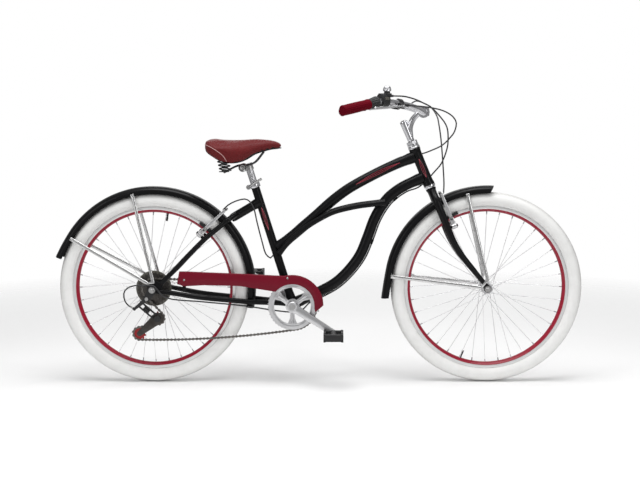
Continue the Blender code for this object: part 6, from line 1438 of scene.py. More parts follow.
def make_stem():
    form = Form()
    top = HEAD_LENGTH + UPPER_STACK
    form.turned([(0.0, 0.24), (0.0085, 0.24), (0.0118, 0.239), (0.0134, 0.2362), (0.0133, 0.23),
                 (0.013, 0.214), (0.0121, 0.19), (0.0116, 0.173), (0.0116, top + 0.001),
                 (0.0111, top + 0.0002), (0.0111, top - 0.02), (0.0, top - 0.02)],
                on_steerer(0.0, 0.0), STEER_UP, 40)
    knots = [on_steerer(0.178, 0.002), on_steerer(0.209, 0.0123), on_steerer(0.2308, 0.03145),
             on_steerer(0.2424, 0.05522), BAR_CENTRE]
    neck = smooth_route(knots, 0.006)
    form.tube(neck[:-2], resample(knots, [0.0104, 0.0106, 0.0102, 0.01, 0.012], neck)[:-2], 28)
    form.turned(mirrored([(0.0129, -CLAMP_HALF), (0.019, -CLAMP_HALF),
                          (0.02, -CLAMP_HALF + 0.0012), (0.02, -0.003), (0.0196, -0.0024)]),
                BAR_CENTRE, LEFT, 48, loop=True)
    stem = form.piece("stem_forging", CHROME, "steering", "polished_aluminium", "stem")
    bolts = Form()
    crown = on_steerer(0.2402, 0.0)
    bolts.rod(crown - STEER_UP * 0.001, crown + STEER_UP * 0.0016, 0.0064, 24)
    for side in (1.0, -1.0):
        for lean in (0.62, -0.55):
            out = FORWARD * math.cos(lean) + UP * math.sin(lean)
            seat = BAR_CENTRE + out * 0.0195 + LEFT * side * 0.0115
            bolts.rod(seat - out * 0.001, seat + out * 0.0022, 0.0034, 20)
    bolt = bolts.piece("stem_bolts", DARK_STEEL, "steering", "dark_steel")
    return stem, bolt


def make_bar():
    half = smooth_route([bar_point(index, -1.0) for index in range(len(BAR_BENDS))], 0.008)
    route = half[::-1] + [at(p.x, -p.y, p.z) for p in half]
    sleeves = [min(1.0, max(0.0, (0.035 - abs(point.y)) / 0.006)) for point in route]
    radii = [BAR_RADIUS + 0.0016 * sleeve for sleeve in sleeves]
    return Form().tube(route, radii, 28).piece(
        "bar_tube", CHROME, "steering", "polished_aluminium", "handlebar", angle=60.0)


told("fork", make_fork())
told("stem and bar", *make_stem(), make_bar())

# %% [markdown]
# The grips are turned round the bar's legs. Lines of small ribs run along them, so the profile
# is turned with a wavy radius. The twist grip widens towards the shifter and has deep flutes.

# %% Grips
GRIP_LENGTH = 0.12
GRIP_RADIUS = 0.0163
GRIP_OVERHANG = 0.0035
SHIFT_LENGTH = 0.037


def fluted(form, foot, along, profile, count, depth, flat, steps):
    """Turn a profile whose radius dips between its flutes. Rows are (height, radius, share)."""
    first, second = frame_of(along, UP)
    rows = []
    for height, radius, share in profile:
        row = []
        for step in range(steps):
            turn = 2.0 * math.pi * step / steps
            wave = max(0.0, math.cos(count * turn) - flat) / (1.0 - flat)
            out = first * math.cos(turn) + second * math.sin(turn)
            row.append(foot + along * height + out * (radius - depth * share * wave))
        rows.append(row)
    return form.skin(rows)


def make_grip(label, side):
    end = leg_point(side, -GRIP_OVERHANG)
    along = (leg_point(side, 0.1) - end).normalized()
    profile = [
        (0.0, 0.011, 0.0), (0.0006, 0.0146, 0.0), (0.003, 0.0168, 0.0), (0.006, 0.0172, 0.0)]
    for share in even(0.0, 1.0, 16):
        swell = 0.0007 * math.sin(math.pi * share)
        ribs = min(1.0, 8.0 * share, 8.0 - 8.0 * share)
        profile.append((0.0075 + 0.101 * share, GRIP_RADIUS + swell, ribs))
    profile += [
        (0.1105, 0.016, 0.0), (0.112, 0.0162, 0.0), (0.114, 0.0175, 0.0), (0.118, 0.0175, 0.0),
        (GRIP_LENGTH, 0.0168, 0.0), (GRIP_LENGTH, 0.0113, 0.0)]
    form = fluted(Form(), end, along, profile, 18, 0.0008, -0.2, 144)
    return form.piece("grip_rubber_" + label, GRIP_RED, "steering", "grip_rubber", "grip_" + label)


def make_shift_grip():
    start = leg_point(-1.0, GRIP_LENGTH - GRIP_OVERHANG + 0.0006)
    along = (leg_point(-1.0, 0.2) - start).normalized()
    profile = [(0.0, 0.012, 0.0), (0.0004, 0.0146, 0.0), (0.002, 0.0154, 0.0)]
    for share in even(0.0, 1.0, 10):
        profile.append((0.003 + 0.027 * share, 0.0162 + 0.0036 * share, min(1.0, 5.0 * share)))
    profile += [(0.0312, 0.0204, 0.3), (0.033, 0.0205, 0.0), (0.0362, 0.0203, 0.0),
                (SHIFT_LENGTH, 0.0196, 0.0), (SHIFT_LENGTH, 0.012, 0.0)]
    form = fluted(Form(), start, along, profile, 16, 0.0014, -0.3, 144)
    return form.piece("twist_grip", BLACK_PLASTIC, "gear_grip", "black_plastic", "shift_grip")


told("grips", make_grip("right", -1.0), make_grip("left", 1.0), make_shift_grip())


# %% Shifter and bell
SQUARENESS = 0.62
SHELL_WIDE = 0.017
SHELL_TALL = 0.0205


def make_shifter():
    bend = bar_point(5, -1.0)
    inward = (bar_point(4, -1.0) - bend).normalized()
    centre = bend + inward * 0.027
    across = UP.cross(inward).normalized()
    upright = inward.cross(across)
    rows = []
    for place, scale in ((-0.017, 0.9), (-0.016, 0.98), (-0.012, 1.0), (0.012, 1.0),
                         (0.016, 0.95), (0.017, 0.86)):
        row = []
        for step in range(40):
            turn = 2.0 * math.pi * step / 40.0
            wide, tall = math.cos(turn), math.sin(turn)
            u = math.copysign(abs(wide) ** SQUARENESS, wide) * SHELL_WIDE * scale
            v = math.copysign(abs(tall) ** SQUARENESS, tall) * SHELL_TALL * scale
            row.append(centre + UP * 0.0065 + inward * place + across * u + upright * v)
        rows.append(row)
    form = Form().skin(rows)
    mouth = Vector(SHIFT_LOOP_ROUTE[0])
    barrel = (Vector(SHIFT_LOOP_ROUTE[1]) - mouth).normalized()
    form.rod(mouth - barrel * 0.02, mouth - barrel * 0.006, 0.0052, 20, 0.0044)
    form.rod(mouth - barrel * 0.007, mouth - barrel * 0.0004, 0.0038, 12)
    shell = form.piece(
        "shifter_shell", BLACK_PLASTIC, "steering", "black_plastic", "shifter_housing")
    face = centre + UP * 0.012 - across * 0.0169
    window = Form().block(face, (0.02, 0.0012, 0.009), inward, upright, 0.0005)
    gear_window = window.piece("gear_window", SMOKED, "steering", "black_plastic")
    foot = centre + UP * (0.0055 + SHELL_TALL) + inward * 0.005 + FORWARD * 0.008
    base = Form().turned([(0.0, -0.002), (0.0112, -0.002), (0.0112, 0.003), (0.01, 0.005),
                          (0.01, 0.01), (0.0, 0.01)], foot, UP, 36)
    base.block(foot - FORWARD * 0.007 - UP * 0.001, (0.044, 0.022, 0.008), bevel=0.002)
    bell_foot = base.piece("bell_foot", BLACK_PLASTIC, "steering", "black_plastic")
    rows = [
        (0.0104, 0.0132, 0.0), (0.0112, 0.0138, 0.0), (0.0135, 0.0138, 0.3),
        (0.0175, 0.0134, 1.0), (0.0215, 0.0122, 1.0), (0.0245, 0.0105, 0.8),
        (0.0268, 0.0084, 0.3), (0.0283, 0.0058, 0.0), (0.0291, 0.003, 0.0), (0.0293, 0.0004, 0.0)]
    dome = fluted(Form(), foot, UP, rows, 20, 0.0006, -0.5, 120)
    bell = dome.piece("bell_dome", CHROME, "steering", "chrome_plate")
    return shell, gear_window, bell_foot, bell


told("shifter", *make_shifter())


# %% Brackets and levers
def lever_pivot(side):
    return BAR_CENTRE + at(-0.08, side * 0.173, 0.019)


def make_bracket(label, side):
    inner, outer = bar_point(3, side), bar_point(4, side)
    along = (outer - inner).normalized()
    centre = inner.lerp(outer, 0.66)
    form = Form().turned(mirrored([(0.0113, -0.008), (0.0154, -0.008), (0.0162, -0.007)]),
                         centre, along, 40, loop=True)
    pivot = lever_pivot(side)
    reach = pivot - centre
    flat = at(reach.x, reach.y, 0.0)
    form.block(centre + reach * 0.42 - along * 0.002,
               (reach.length * 0.62, 0.016, 0.015), reach, bevel=0.003)
    for sign in (1.0, -1.0):
        near = pivot + UP * sign * 0.0054
        form.rod(near, near + UP * sign * 0.0028, 0.0069, 28)
        form.block(near + UP * sign * 0.0014 - flat * 0.25,
                   (flat.length * 0.5, 0.012, 0.0028), flat, bevel=0.0006)
        form.rod(near, near + UP * sign * 0.004, 0.0034, 6)
    end = BAR_CENTRE + at(-0.057, side * 0.139, 0.021)
    start = centre + reach * 0.45
    turn = (end - start).normalized()
    form.rod(start, end - turn * 0.008, 0.0044, 20)
    form.rod(end - turn * 0.01, end - turn * 0.004, 0.0054, 10)
    form.rod(end - turn * 0.004, end, 0.0036, 16)
    return form.piece("lever_bracket_" + label, BLACK_PLASTIC, "steering", "dark_steel",
                      "brake_bracket_" + label)


def make_lever(label, side):
    pivot = lever_pivot(side)
    form = Form().turned(mirrored([(0.0022, -0.0049), (0.0056, -0.0049), (0.0061, -0.0044)]),
                         pivot, UP, 28, loop=True)
    knots = [pivot] + [BAR_CENTRE + at(x, side * y, z) for x, y, z in (
        (-0.096, 0.201, 0.0175), (-0.137, 0.258, 0.0145), (-0.18, 0.316, 0.012))]
    route = smooth_route(knots, 0.006)
    turns = even(0.0, 2.0 * math.pi * 23.0 / 24.0, 23)
    flat = [(math.cos(turn) * 0.62, math.sin(turn)) for turn in turns]
    size = [0.0044] * (len(route) - 3) + [0.0046, 0.004, 0.0018]
    form.tube(route, size, section=flat, side=UP)
    form.turned([(0.0, 0.004), (0.0022, 0.0036), (0.0038, 0.002), (0.0042, 0.0),
                 (0.0038, -0.002), (0.0022, -0.0036), (0.0, -0.004)], route[-2], UP, 20)
    return form.piece("lever_blade_" + label, ALLOY, label + "_lever", "polished_aluminium",
                      "brake_lever_" + label)


for label, side in SIDES:
    told(label + " brake lever", make_bracket(label, side), make_lever(label, side))

# %% [markdown]
# The drive is where the detail lies. A chain is one outer link and one inner link, stamped along
# a closed path: round the ring, over a sprocket and past two pulleys. The path is worked out
# from the wheels themselves. `tangent` finds where the chain leaves one wheel for the next.

# %% The chain's path
CHAIN_PITCH = 0.0127
COG_RADIUS = 0.03657
PULLEY_RADIUS = 0.02254
CHAIN_SAG = 0.011
GUIDE_AXLE = REAR + at(0.016, 0.0, -0.102)
TENSION_AXLE = REAR + at(-0.049, 0.0, -0.156)
CHAIN_WHEELS = ((CRANK_AXLE, RING_RADIUS, 1.0), (REAR, COG_RADIUS, 1.0),
                (GUIDE_AXLE, PULLEY_RADIUS, -1.0), (TENSION_AXLE, PULLEY_RADIUS, 1.0))


def tangent(first, second):
    """Where a chain leaves one wheel and meets the next. A wheel is (centre, radius, sense)."""
    centre_a, radius_a, sense_a = first
    centre_b, radius_b, sense_b = second
    gap = centre_b - centre_a
    lean = math.acos((sense_a * radius_a - sense_b * radius_b) / gap.length)
    out = around(Vector(), 1.0, math.atan2(gap.z, gap.x) - lean)
    return centre_a + out * sense_a * radius_a, centre_b + out * sense_b * radius_b


def first_gap(index):
    """The turn at which the chain meets one of its wheels."""
    wheel = CHAIN_WHEELS[index]
    return bearing(wheel[0], tangent(CHAIN_WHEELS[index - 1], wheel)[1])


def chain_path():
    """The chain's closed centre line, from where it meets the ring below."""
    path = []
    for index, wheel in enumerate(CHAIN_WHEELS):
        centre, radius, sense = wheel
        leaves, next_meets = tangent(wheel, CHAIN_WHEELS[(index + 1) % 4])
        start, end = first_gap(index), bearing(centre, leaves)
        while (end - start) * sense < 0.0:
            end += 2.0 * math.pi * sense
        path += [around(centre, radius, turn) for turn in even(start, end, 30)]
        if index == 3:
            for step in range(1, 40):
                share = step / 40.0
                sag = 4.0 * CHAIN_SAG * share * (1.0 - share)
                path.append(leaves.lerp(next_meets, share) - UP * sag)
    return path


def link_outline(first, first_radius, second, second_radius, steps=10):
    """(x, z) points round two circles, as a belt over them would lie."""
    gap = second - first
    turn = math.atan2(gap.z, gap.x)
    lean = math.acos((first_radius - second_radius) / gap.length)
    outline = arc(second, second_radius, turn - lean, turn + lean, steps)
    return outline + arc(first, first_radius, turn + lean, turn - lean + 2.0 * math.pi, steps)


def make_link(plate_y, thickness, pins):
    """One link at the origin, lying along X."""
    form = Form()
    ends = (at(-CHAIN_PITCH / 2.0, 0.0, 0.0), at(CHAIN_PITCH / 2.0, 0.0, 0.0))
    outline = []
    for sign, end in ((1.0, ends[1]), (-1.0, ends[0])):
        start = 0.0 if sign > 0.0 else math.pi
        outline += arc(end, 0.0043, start - math.radians(125.0), start + math.radians(125.0), 9)
        outline.append((0.0, 0.0021 * sign))
    for side in (1.0, -1.0):
        form.plate([outline], side * plate_y, thickness, 0.0001)
    for end in ends:
        if pins:
            form.pin(end, -0.0032, 0.0032, 0.0017, 10)
        else:
            form.pin(end, -0.0016, 0.0016, 0.0036, 12)
    return form


def make_chain():
    path = chain_path()
    closed = [*path, path[0]]
    links = 2 * round(distances(closed)[-1] / CHAIN_PITCH / 2.0)
    pins = [along_route(closed, index / links) for index in range(links)]
    outer, inner = make_link(0.00285, 0.0007, True), make_link(0.00205, 0.0007, False)
    form = Form()
    for index, pin in enumerate(pins):
        after = pins[(index + 1) % links]
        along = (after - pin).normalized()
        turn = Matrix.Rotation(-math.atan2(along.z, along.x), 4, "Y")
        place = Matrix.Translation((pin + after) / 2.0 - LEFT * CHAIN_LINE)
        form.add((outer if index % 2 else inner).shape, place @ turn)
    print("chain links", links)
    return form.piece("roller_chain", CHAIN_STEEL, "frame", "dark_steel", "chain")


# %% Sprockets
def toothed(centre, teeth, phase, steps=8):
    """(x, z) points of a sprocket's edge. Its first gap is at the phase."""
    pitch_radius = CHAIN_PITCH / (2.0 * math.sin(math.pi / teeth))
    points = []
    for index in range(teeth * steps):
        turn = phase + 2.0 * math.pi * index / (teeth * steps)
        share = 0.5 - 0.5 * math.cos(2.0 * math.pi * index / steps)
        radius = pitch_radius - 0.004 + 0.0058 * share ** 1.3
        points.append(spot(centre, radius, turn))
    return points


def make_freewheel():
    cogs = Form()
    for index, teeth in enumerate((14, 16, 18, 20, 22, 24, 28)):
        rings = [toothed(REAR, teeth, first_gap(1)), hole(REAR, 0.015, 32)]
        cogs.plate(rings, -0.0565 + 0.005 * index, 0.0019, 0.0003)
    cogs.turned([(0.0118, -0.0235), (0.0182, -0.0235), (0.0182, -0.057), (0.015, -0.0584),
                 (0.0118, -0.0584)], REAR, LEFT, 48, loop=True)
    stack = cogs.piece("sprockets", DARK_STEEL, "freewheel", "dark_steel", "freewheel", angle=30.0)
    disc = Form().turned([(0.02, -0.0232), (0.0615, -0.0232), (0.0625, -0.0227), (0.0625, -0.0222),
                          (0.0615, -0.0217), (0.02, -0.0217)], REAR, LEFT, 96, loop=True)
    return stack, disc.piece("spoke_guard", SMOKED, "freewheel", "dark_steel")


def make_ring():
    outlines = [toothed(CRANK_AXLE, 42, first_gap(0))]
    turns = (35.0, 145.0, 270.0)
    outer, inner, middle = 0.06397, 0.0245, 0.044
    lean_outer, lean_inner = math.asin(0.016 / outer), math.asin(0.009 / inner)
    form = Form()
    for first, last in zip(turns, (*turns[1:], turns[0] + 360.0)):
        start, end = math.radians(first), math.radians(last)
        window = arc(CRANK_AXLE, outer, start + lean_outer, end - lean_outer, 24)
        window.append(spot(CRANK_AXLE, middle, end - 0.19))
        window += arc(CRANK_AXLE, inner, end - lean_inner, start + lean_inner, 8)
        window.append(spot(CRANK_AXLE, middle, start + 0.19))
        outlines.append(window)
        raised = [around(CRANK_AXLE, radius, start) for radius in (0.026, 0.06)]
        form.tube([p - LEFT * (CHAIN_LINE + 0.0016) for p in raised], [0.0034, 0.005], 16)
    form.plate(outlines, -CHAIN_LINE, 0.0028, 0.0005)
    band = [(0.0712, 0.0), (0.0716, -0.0016), (0.0832, -0.0016), (0.0838, -0.001), (0.0838, 0.0)]
    form.turned(band, CRANK_AXLE - LEFT * (CHAIN_LINE + 0.0034), LEFT, 96, loop=True)
    lip = outer + 0.0012
    profile = [
        (lip - 0.0012, 0.0), (lip - 0.001, -0.0012), (lip + 0.001, -0.0012), (lip + 0.0012, 0.0)]
    form.turned(profile, CRANK_AXLE - LEFT * (CHAIN_LINE + 0.0012), LEFT, 96, loop=True)
    return form.piece("chainring_plate", ALLOY, "cranks", "polished_aluminium", angle=30.0)


# %% Cranks and pedals
CRANK_TURN = math.radians(-32.7)
CRANK_LENGTH = 0.17
PEDAL_OFFSET = 0.13
PEDAL_HALF_WIDTH = 0.0475
PEDAL_HALF_HEIGHT = 0.0135


def crank_end(side, y=0.0):
    """Where a crank's pedal axle lies, in the middle plane or out at y."""
    turn = CRANK_TURN if side < 0.0 else CRANK_TURN + math.pi
    return around(CRANK_AXLE, CRANK_LENGTH, turn) + LEFT * side * y


def make_crank(label, side):
    end = crank_end(side)
    outline = link_outline(CRANK_AXLE, 0.015, end, 0.011, 20)
    form = Form().plate([outline], side * 0.0715, 0.012, 0.003)
    inner = 0.045 if side < 0.0 else 0.04
    form.turned([(0.0082, side * inner), (0.018, side * inner), (0.019, side * (inner + 0.001)),
                 (0.019, side * 0.065), (0.0178, side * 0.0775), (0.0165, side * 0.0785),
                 (0.0118, side * 0.0785), (0.0114, side * 0.0765), (0.0082, side * 0.0765)],
                CRANK_AXLE, LEFT, 48, loop=True)
    form.pin(end, side * 0.0655, side * 0.079, 0.0075, 6)
    form.pin(end, side * 0.0675, side * 0.17, 0.0044, 20)
    crank = form.piece(
        "crank_arm_" + label, ALLOY, "cranks", "polished_aluminium", "crank_" + label)
    caps = Form().pin(CRANK_AXLE, side * 0.074, side * 0.0778, 0.0112, 32)
    caps.pin(CRANK_AXLE, side * 0.077, side * 0.0784, 0.0066, 6)
    if side > 0.0:
        caps.pin(CRANK_AXLE, -0.0738, 0.0738, 0.0078, 24)
    return crank, caps.piece("crank_cap_" + label, STEEL, "cranks", "bright_steel")


def make_pedal(label, side):
    centre = crank_end(side, PEDAL_OFFSET)
    quarter = Matrix.Translation(centre) @ Matrix.Rotation(math.pi / 2.0, 4, "Z")
    half_width, half_height = PEDAL_HALF_WIDTH, PEDAL_HALF_HEIGHT
    notches = [
        (middle + math.cos(turn) * 0.0085, half_height - math.sin(turn) * 0.005)
        for middle in (0.0235, -0.0235) for turn in even(0.0, math.pi, 10)
    ]
    top = [(half_width, half_height), *notches, (-half_width, half_height)]
    low = [(-u, -v) for u, v in top]
    form = Form()
    for place in (0.03, -0.03):
        form.plate([top + low], place, 0.0078, 0.001, quarter)
    for end in (1.0, -1.0):
        form.block(centre + LEFT * end * 0.041, (0.056, 0.013, 0.025), bevel=0.003)
    form.turned(mirrored([(0.0048, -0.036), (0.012, -0.036), (0.011, -0.012)]),
                centre, LEFT, 32, loop=True)
    for end in (1.0, -1.0):
        form.block(centre + LEFT * end * 0.018, (0.054, 0.003, 0.01), bevel=0.0008)
    return form.piece("pedal_cage_" + label, BLACK_PLASTIC, label + "_pedal", "black_plastic",
                      "pedal_" + label)


told("chain", make_chain())
told("freewheel and ring", *make_freewheel(), make_ring())
for label, side in SIDES:
    told(label + " crank", *make_crank(label, side), make_pedal(label, side))

# %% Derailleur
MOUNT_BOLT = REAR + at(-0.019, 0.0, -0.031)
LINK_TOP = REAR + at(-0.044, 0.0, -0.05)
LINK_OFFSET = 0.062


def make_bracket_of_derailleur():
    hanger = link_outline(REAR, 0.015, MOUNT_BOLT, 0.011, 20)
    form = Form().plate([hanger, hole(REAR, AXLE_HOLE)], -0.0723, 0.0029, 0.0005)
    form.pin(MOUNT_BOLT, -0.056, -0.076, 0.0089, 32)
    arm = link_outline(MOUNT_BOLT, 0.0085, MOUNT_BOLT.lerp(LINK_TOP, 0.53), 0.007, 12)
    form.plate([arm], -LINK_OFFSET, 0.0118, 0.0016)
    along = at(0.861, 0.0, -0.509)
    mouth = Vector(SHIFT_TAIL[-1]) + at(0.0003, 0.0, -0.0002)
    form.rod(mouth, mouth + along * 0.011, 0.0047, 20)
    web = link_outline(MOUNT_BOLT, 0.008, mouth + along * 0.006, 0.0045, 12)
    form.plate([web], -0.0715, 0.0029, 0.0006)
    body = form.piece(
        "derailleur_body", BLACK_PLASTIC, "frame", "dark_steel", "derailleur_bracket")
    shiny = Form().pin(MOUNT_BOLT, -0.0755, -0.077, 0.0062, 28)
    shiny.pin(MOUNT_BOLT, -0.0755, -0.0772, 0.0032, 6)
    shiny.rod(mouth - along * 0.01, mouth - along * 0.0005, 0.0036, 20)
    return body, shiny.piece("derailleur_bolts", STEEL, "frame", "bright_steel")


def make_moving_derailleur():
    along = (GUIDE_AXLE - LINK_TOP).normalized()
    start, end = LINK_TOP - LEFT * LINK_OFFSET, GUIDE_AXLE - along * 0.0185 - LEFT * LINK_OFFSET
    across = at(-along.z, 0.0, along.x)
    link = Form()
    for side in (1.0, -1.0):
        offset = across * side * 0.0085
        link.block((start + end) / 2.0 + offset,
                   ((end - start).length, 0.0124, 0.0046), along, across, 0.0016)
        for place in (start, end):
            link.rod(place + offset - across * 0.0023, place + offset + across * 0.0023, 0.0061, 24)
    for place in (start, end):
        link.rod(place - across * 0.0114, place + across * 0.0114, 0.0024, 16)
    middle = (start + end) / 2.0
    link.rod(middle - along * 0.012, middle + along * 0.012, 0.0052, 20)
    arm = link.piece(
        "parallelogram", BLACK_PLASTIC, "derailleur_arm", "dark_steel", "derailleur_link")
    pivot = Form().pin(GUIDE_AXLE, -0.0536, -0.0664, 0.0109, 36)
    pivot.pin(GUIDE_AXLE, -0.06, -0.0669, 0.004, 6)
    knuckle = pivot.piece(
        "lower_pivot", BLACK_PLASTIC, "lower_knuckle", "dark_steel", "derailleur_knuckle")
    plates = Form()
    for side in (1.0, -1.0):
        upper = 0.01 if side > 0.0 else 0.0205
        outline = link_outline(GUIDE_AXLE, upper, TENSION_AXLE, 0.009, 20)
        plates.plate([outline], -CHAIN_LINE + side * 0.00575, 0.0014, 0.0003)
    for centre in (GUIDE_AXLE, TENSION_AXLE):
        plates.pin(centre, -CHAIN_LINE - 0.0066, -CHAIN_LINE + 0.0066, 0.0024, 16)
    cage = plates.piece("pulley_cage", DARK_STEEL, "cage", "dark_steel", "derailleur_cage")
    return arm, knuckle, cage


def make_pulley(name, body, node, index):
    """One of the two pulleys. The index is its place in CHAIN_WHEELS."""
    centre = CHAIN_WHEELS[index][0]
    rings = [toothed(centre, 11, first_gap(index)), hole(centre, 0.003, 16)]
    form = Form().plate(rings, -CHAIN_LINE, 0.0022, 0.0004)
    half = [(0.0028, 0.0043), (0.0064, 0.0043), (0.0076, 0.0013), (0.015, 0.0012), (0.0155, 0.0009)]
    form.turned(mirrored(half), centre - LEFT * CHAIN_LINE, LEFT, 40, loop=True)
    return form.piece(name, PULLEY_RED, body, "red_plastic", node)


told("derailleur", *make_bracket_of_derailleur(), *make_moving_derailleur(),
     make_pulley("jockey_upper", "upper_pulley", "guide_pulley", 2),
     make_pulley("jockey_lower", "lower_pulley", "tension_pulley", 3))

# %% [markdown]
# The brakes are linear-pull arms: flat plates on studs that the frame and the fork carry. Each
# pad sits where the plate crosses the rim's track. A bent steel pipe leads the cable into one
# arm, and the bare wire goes through a bellows to the other.

# %% Brake arms
ARM_LENGTH = 0.121
PAD_CENTRE_Y = 0.0208
RIM_TRACK = 0.281


def make_brake_arm(end, hub, brake, label, side):
    root, arm, stud = brake
    body = f"{end}_{label}_arm"
    start = root + stud * ARM_AHEAD - hub
    base = root + stud * ARM_AHEAD + LEFT * side * BRAKE_OFFSET
    top = base + arm * ARM_LENGTH
    along = start.dot(arm)
    rise = -along + math.sqrt(along ** 2 - start.length_squared + RIM_TRACK ** 2)
    crossing = base + arm * rise
    form = Form()
    form.plate([link_outline(base, 0.0098, crossing, 0.0066, 12)],
               side * (BRAKE_OFFSET - 0.0002), 0.0074, 0.0016)
    form.plate([link_outline(crossing - arm * 0.006, 0.0064, top, 0.0042, 12)],
               side * (BRAKE_OFFSET + 0.0006), 0.0058, 0.0014)
    form.turned(mirrored([(0.0043, -0.009), (0.008, -0.009), (0.009, -0.008)]),
                base, stud, 28, loop=True)
    plate = form.piece(f"{end}_brake_plate_{label}", ALLOY, body, "bright_steel",
                       f"{end}_brake_arm_{label}")
    centre = at(crossing.x, side * PAD_CENTRE_Y, crossing.z)
    radial = centre - hub
    radial.y = 0.0
    radial.normalize()
    pads = Form().block(centre, (0.06, 0.0078, 0.0098), radial.cross(LEFT), radial, 0.0016)
    outer = crossing + LEFT * side * 0.0036
    pads.rod(centre + LEFT * side * 0.003, outer, 0.004, 20)
    pads.pin(crossing, side * -0.0065, side * -0.004, 0.0072, 28)
    pad = pads.piece(f"{end}_pad_{label}", BLACK_PLASTIC, body, "black_plastic")
    bolts = Form().pin(outer, 0.0, side * 0.0014, 0.0068, 28)
    bolts.pin(outer, side * 0.001, side * 0.0058, 0.0048, 6)
    anchor = top - arm * 0.0015
    bolts.rod(anchor - stud * 0.0052, anchor + stud * 0.0052, 0.0036, 6)
    spring = [base + LEFT * side * -0.0062 + stud * -0.002,
              base + arm * 0.02 + LEFT * side * -0.0056,
              crossing - arm * 0.006 + LEFT * side * -0.0046]
    bolts.tube(smooth_route(spring, 0.004), 0.0009, 8)
    return plate, pad, bolts.piece(f"{end}_arm_bolts_{label}", STEEL, body, "bright_steel")


for end, hub, brake in (("front", FRONT, FRONT_BRAKE), ("rear", REAR, REAR_BRAKE)):
    for label, side in SIDES:
        told(f"{end} {label} brake arm", *make_brake_arm(end, hub, brake, label, side))


# %% Axles
def make_axle(end, hub, locknut_y, nut_left, nut_right, body):
    """An axle with locknuts inside the dropouts, and washers and nuts outside."""
    form = Form().pin(hub, nut_left + 0.004, -nut_right - 0.004, 0.0047, 24)
    for side, face in ((1.0, nut_left), (-1.0, nut_right)):
        form.pin(hub, side * (face - 0.0095), side * face, 0.0096, 6)
        form.turned([(0.005, side * (face - 0.0108)), (0.0112, side * (face - 0.0108)),
                     (0.0112, side * (face - 0.0094)), (0.005, side * (face - 0.0094))],
                    hub, LEFT, 28, loop=True)
        form.pin(hub, side * (locknut_y - 0.005), side * locknut_y, 0.0084, 6)
    return form.piece(f"{end}_axle_nuts", STEEL, body, "bright_steel", f"{end}_axle")


told("axles", make_axle("front", FRONT, 0.0498, 0.0655, 0.0655, "steering"),
     make_axle("rear", REAR, 0.0648, 0.081, 0.0836, "frame"))

# %% Noodles
REAR_NOODLE = [(-0.334, -0.041, 0.611), (-0.3335, -0.046, 0.609), (-0.3315, -0.0455, 0.6074),
               (-0.3304, -0.0395, 0.6071), (-0.3304, -0.031, 0.6071)]
FRONT_NOODLE = [(0.428, -0.039, 0.668), (0.4262, -0.045, 0.666), (0.4232, -0.0455, 0.6636),
                (0.421, -0.0395, 0.6631), (0.4209, -0.031, 0.6631)]


def make_noodle(end, brake, route, body, wire_side):
    """The bent pipe rides with the arm it is hooked into; the wire too."""
    form = Form().tube(smooth_route(route, 0.003), 0.0024, 14)
    mouth = Vector(route[-1])
    along = (mouth - Vector(route[-2])).normalized()
    form.rod(mouth - along * 0.008, mouth, 0.0036, 18)
    pipe = form.piece(f"{end}_noodle", STEEL, body, "bright_steel")
    root, arm, stud = brake
    far = root + stud * ARM_AHEAD + arm * (ARM_LENGTH - 0.0015) + LEFT * wire_side * BRAKE_OFFSET
    middle = mouth.lerp(far, 0.45)
    spine = [mouth.lerp(middle, share) for share in even(0.0, 1.0, 24)]
    folds = [0.0043 if step % 2 else 0.003 for step in range(25)]
    bellows = Form().tube(spine, folds, 18).piece(
        f"{end}_boot", BLACK_PLASTIC, body, "black_plastic")
    wire = Form().rod(middle, far, 0.0008, 8)
    return pipe, bellows, wire.piece(f"{end}_inner_wire", STEEL, body, "bright_steel")


told("noodles", *make_noodle("rear", REAR_BRAKE, REAR_NOODLE, "rear_right_arm", 1.0),
     *make_noodle("front", FRONT_BRAKE, FRONT_NOODLE, "front_right_arm", 1.0))

# %% [markdown]
# The saddle gets its own pass. Its cover is drawn as rings from the tail to the nose, a little
# small, and then blown up as cloth. The underside is pinned, so the top swells and the skirts
# stay drawn in. The result is applied, and the piping is laid on the finished surface.

# %% The saddle's cover
POST_TOP = at(-0.24971, 0.0, 0.76548)
SADDLE_REAR = -0.1438
SADDLE_LENGTH = 0.2605
SADDLE_HALF_WIDTH = 0.1015
COVER_INSET = 0.0022
SWELL_LIMIT = 0.0045
CLOTH_FRAMES = 20
TAIL_TO_NOSE = 0.9999
SADDLE_SECTIONS = (
    # share of length, top, share of half width, skirt, roof: heights from the post's top
    (0.0, 0.0845, 0.64, 0.05, 0.056), (0.03, 0.0882, 0.83, 0.042, 0.05),
    (0.085, 0.0888, 0.94, 0.0325, 0.044), (0.186, 0.0848, 1.0, 0.017, 0.03),
    (0.342, 0.083, 0.97, 0.007, 0.0345), (0.5, 0.0835, 0.71, 0.013, 0.0405),
    (0.65, 0.0858, 0.44, 0.035, 0.053), (0.85, 0.086, 0.27, 0.051, 0.0625),
    (0.955, 0.0795, 0.21, 0.0545, 0.0605), (1.0, 0.0715, 0.13, 0.057, 0.059),
)


def by_post(x, y, z):
    return POST_TOP + at(x, y, z)


def section_at(share):
    """The section at a share of the length, on a smooth curve through the table."""
    last = len(SADDLE_SECTIONS) - 1
    index = max(i for i in range(last) if SADDLE_SECTIONS[i][0] <= share)
    near = [SADDLE_SECTIONS[max(0, min(last, index + step))] for step in (-1, 0, 1, 2)]
    before, low, high, after = near
    span = high[0] - low[0]
    part = (share - low[0]) / span
    values = []
    for column in range(1, 5):
        rise_low = (high[column] - before[column]) / (high[0] - before[0]) * span
        rise_high = (after[column] - low[column]) / (after[0] - low[0]) * span
        values.append(hermite(part, low[column], high[column], rise_low, rise_high))
    return values


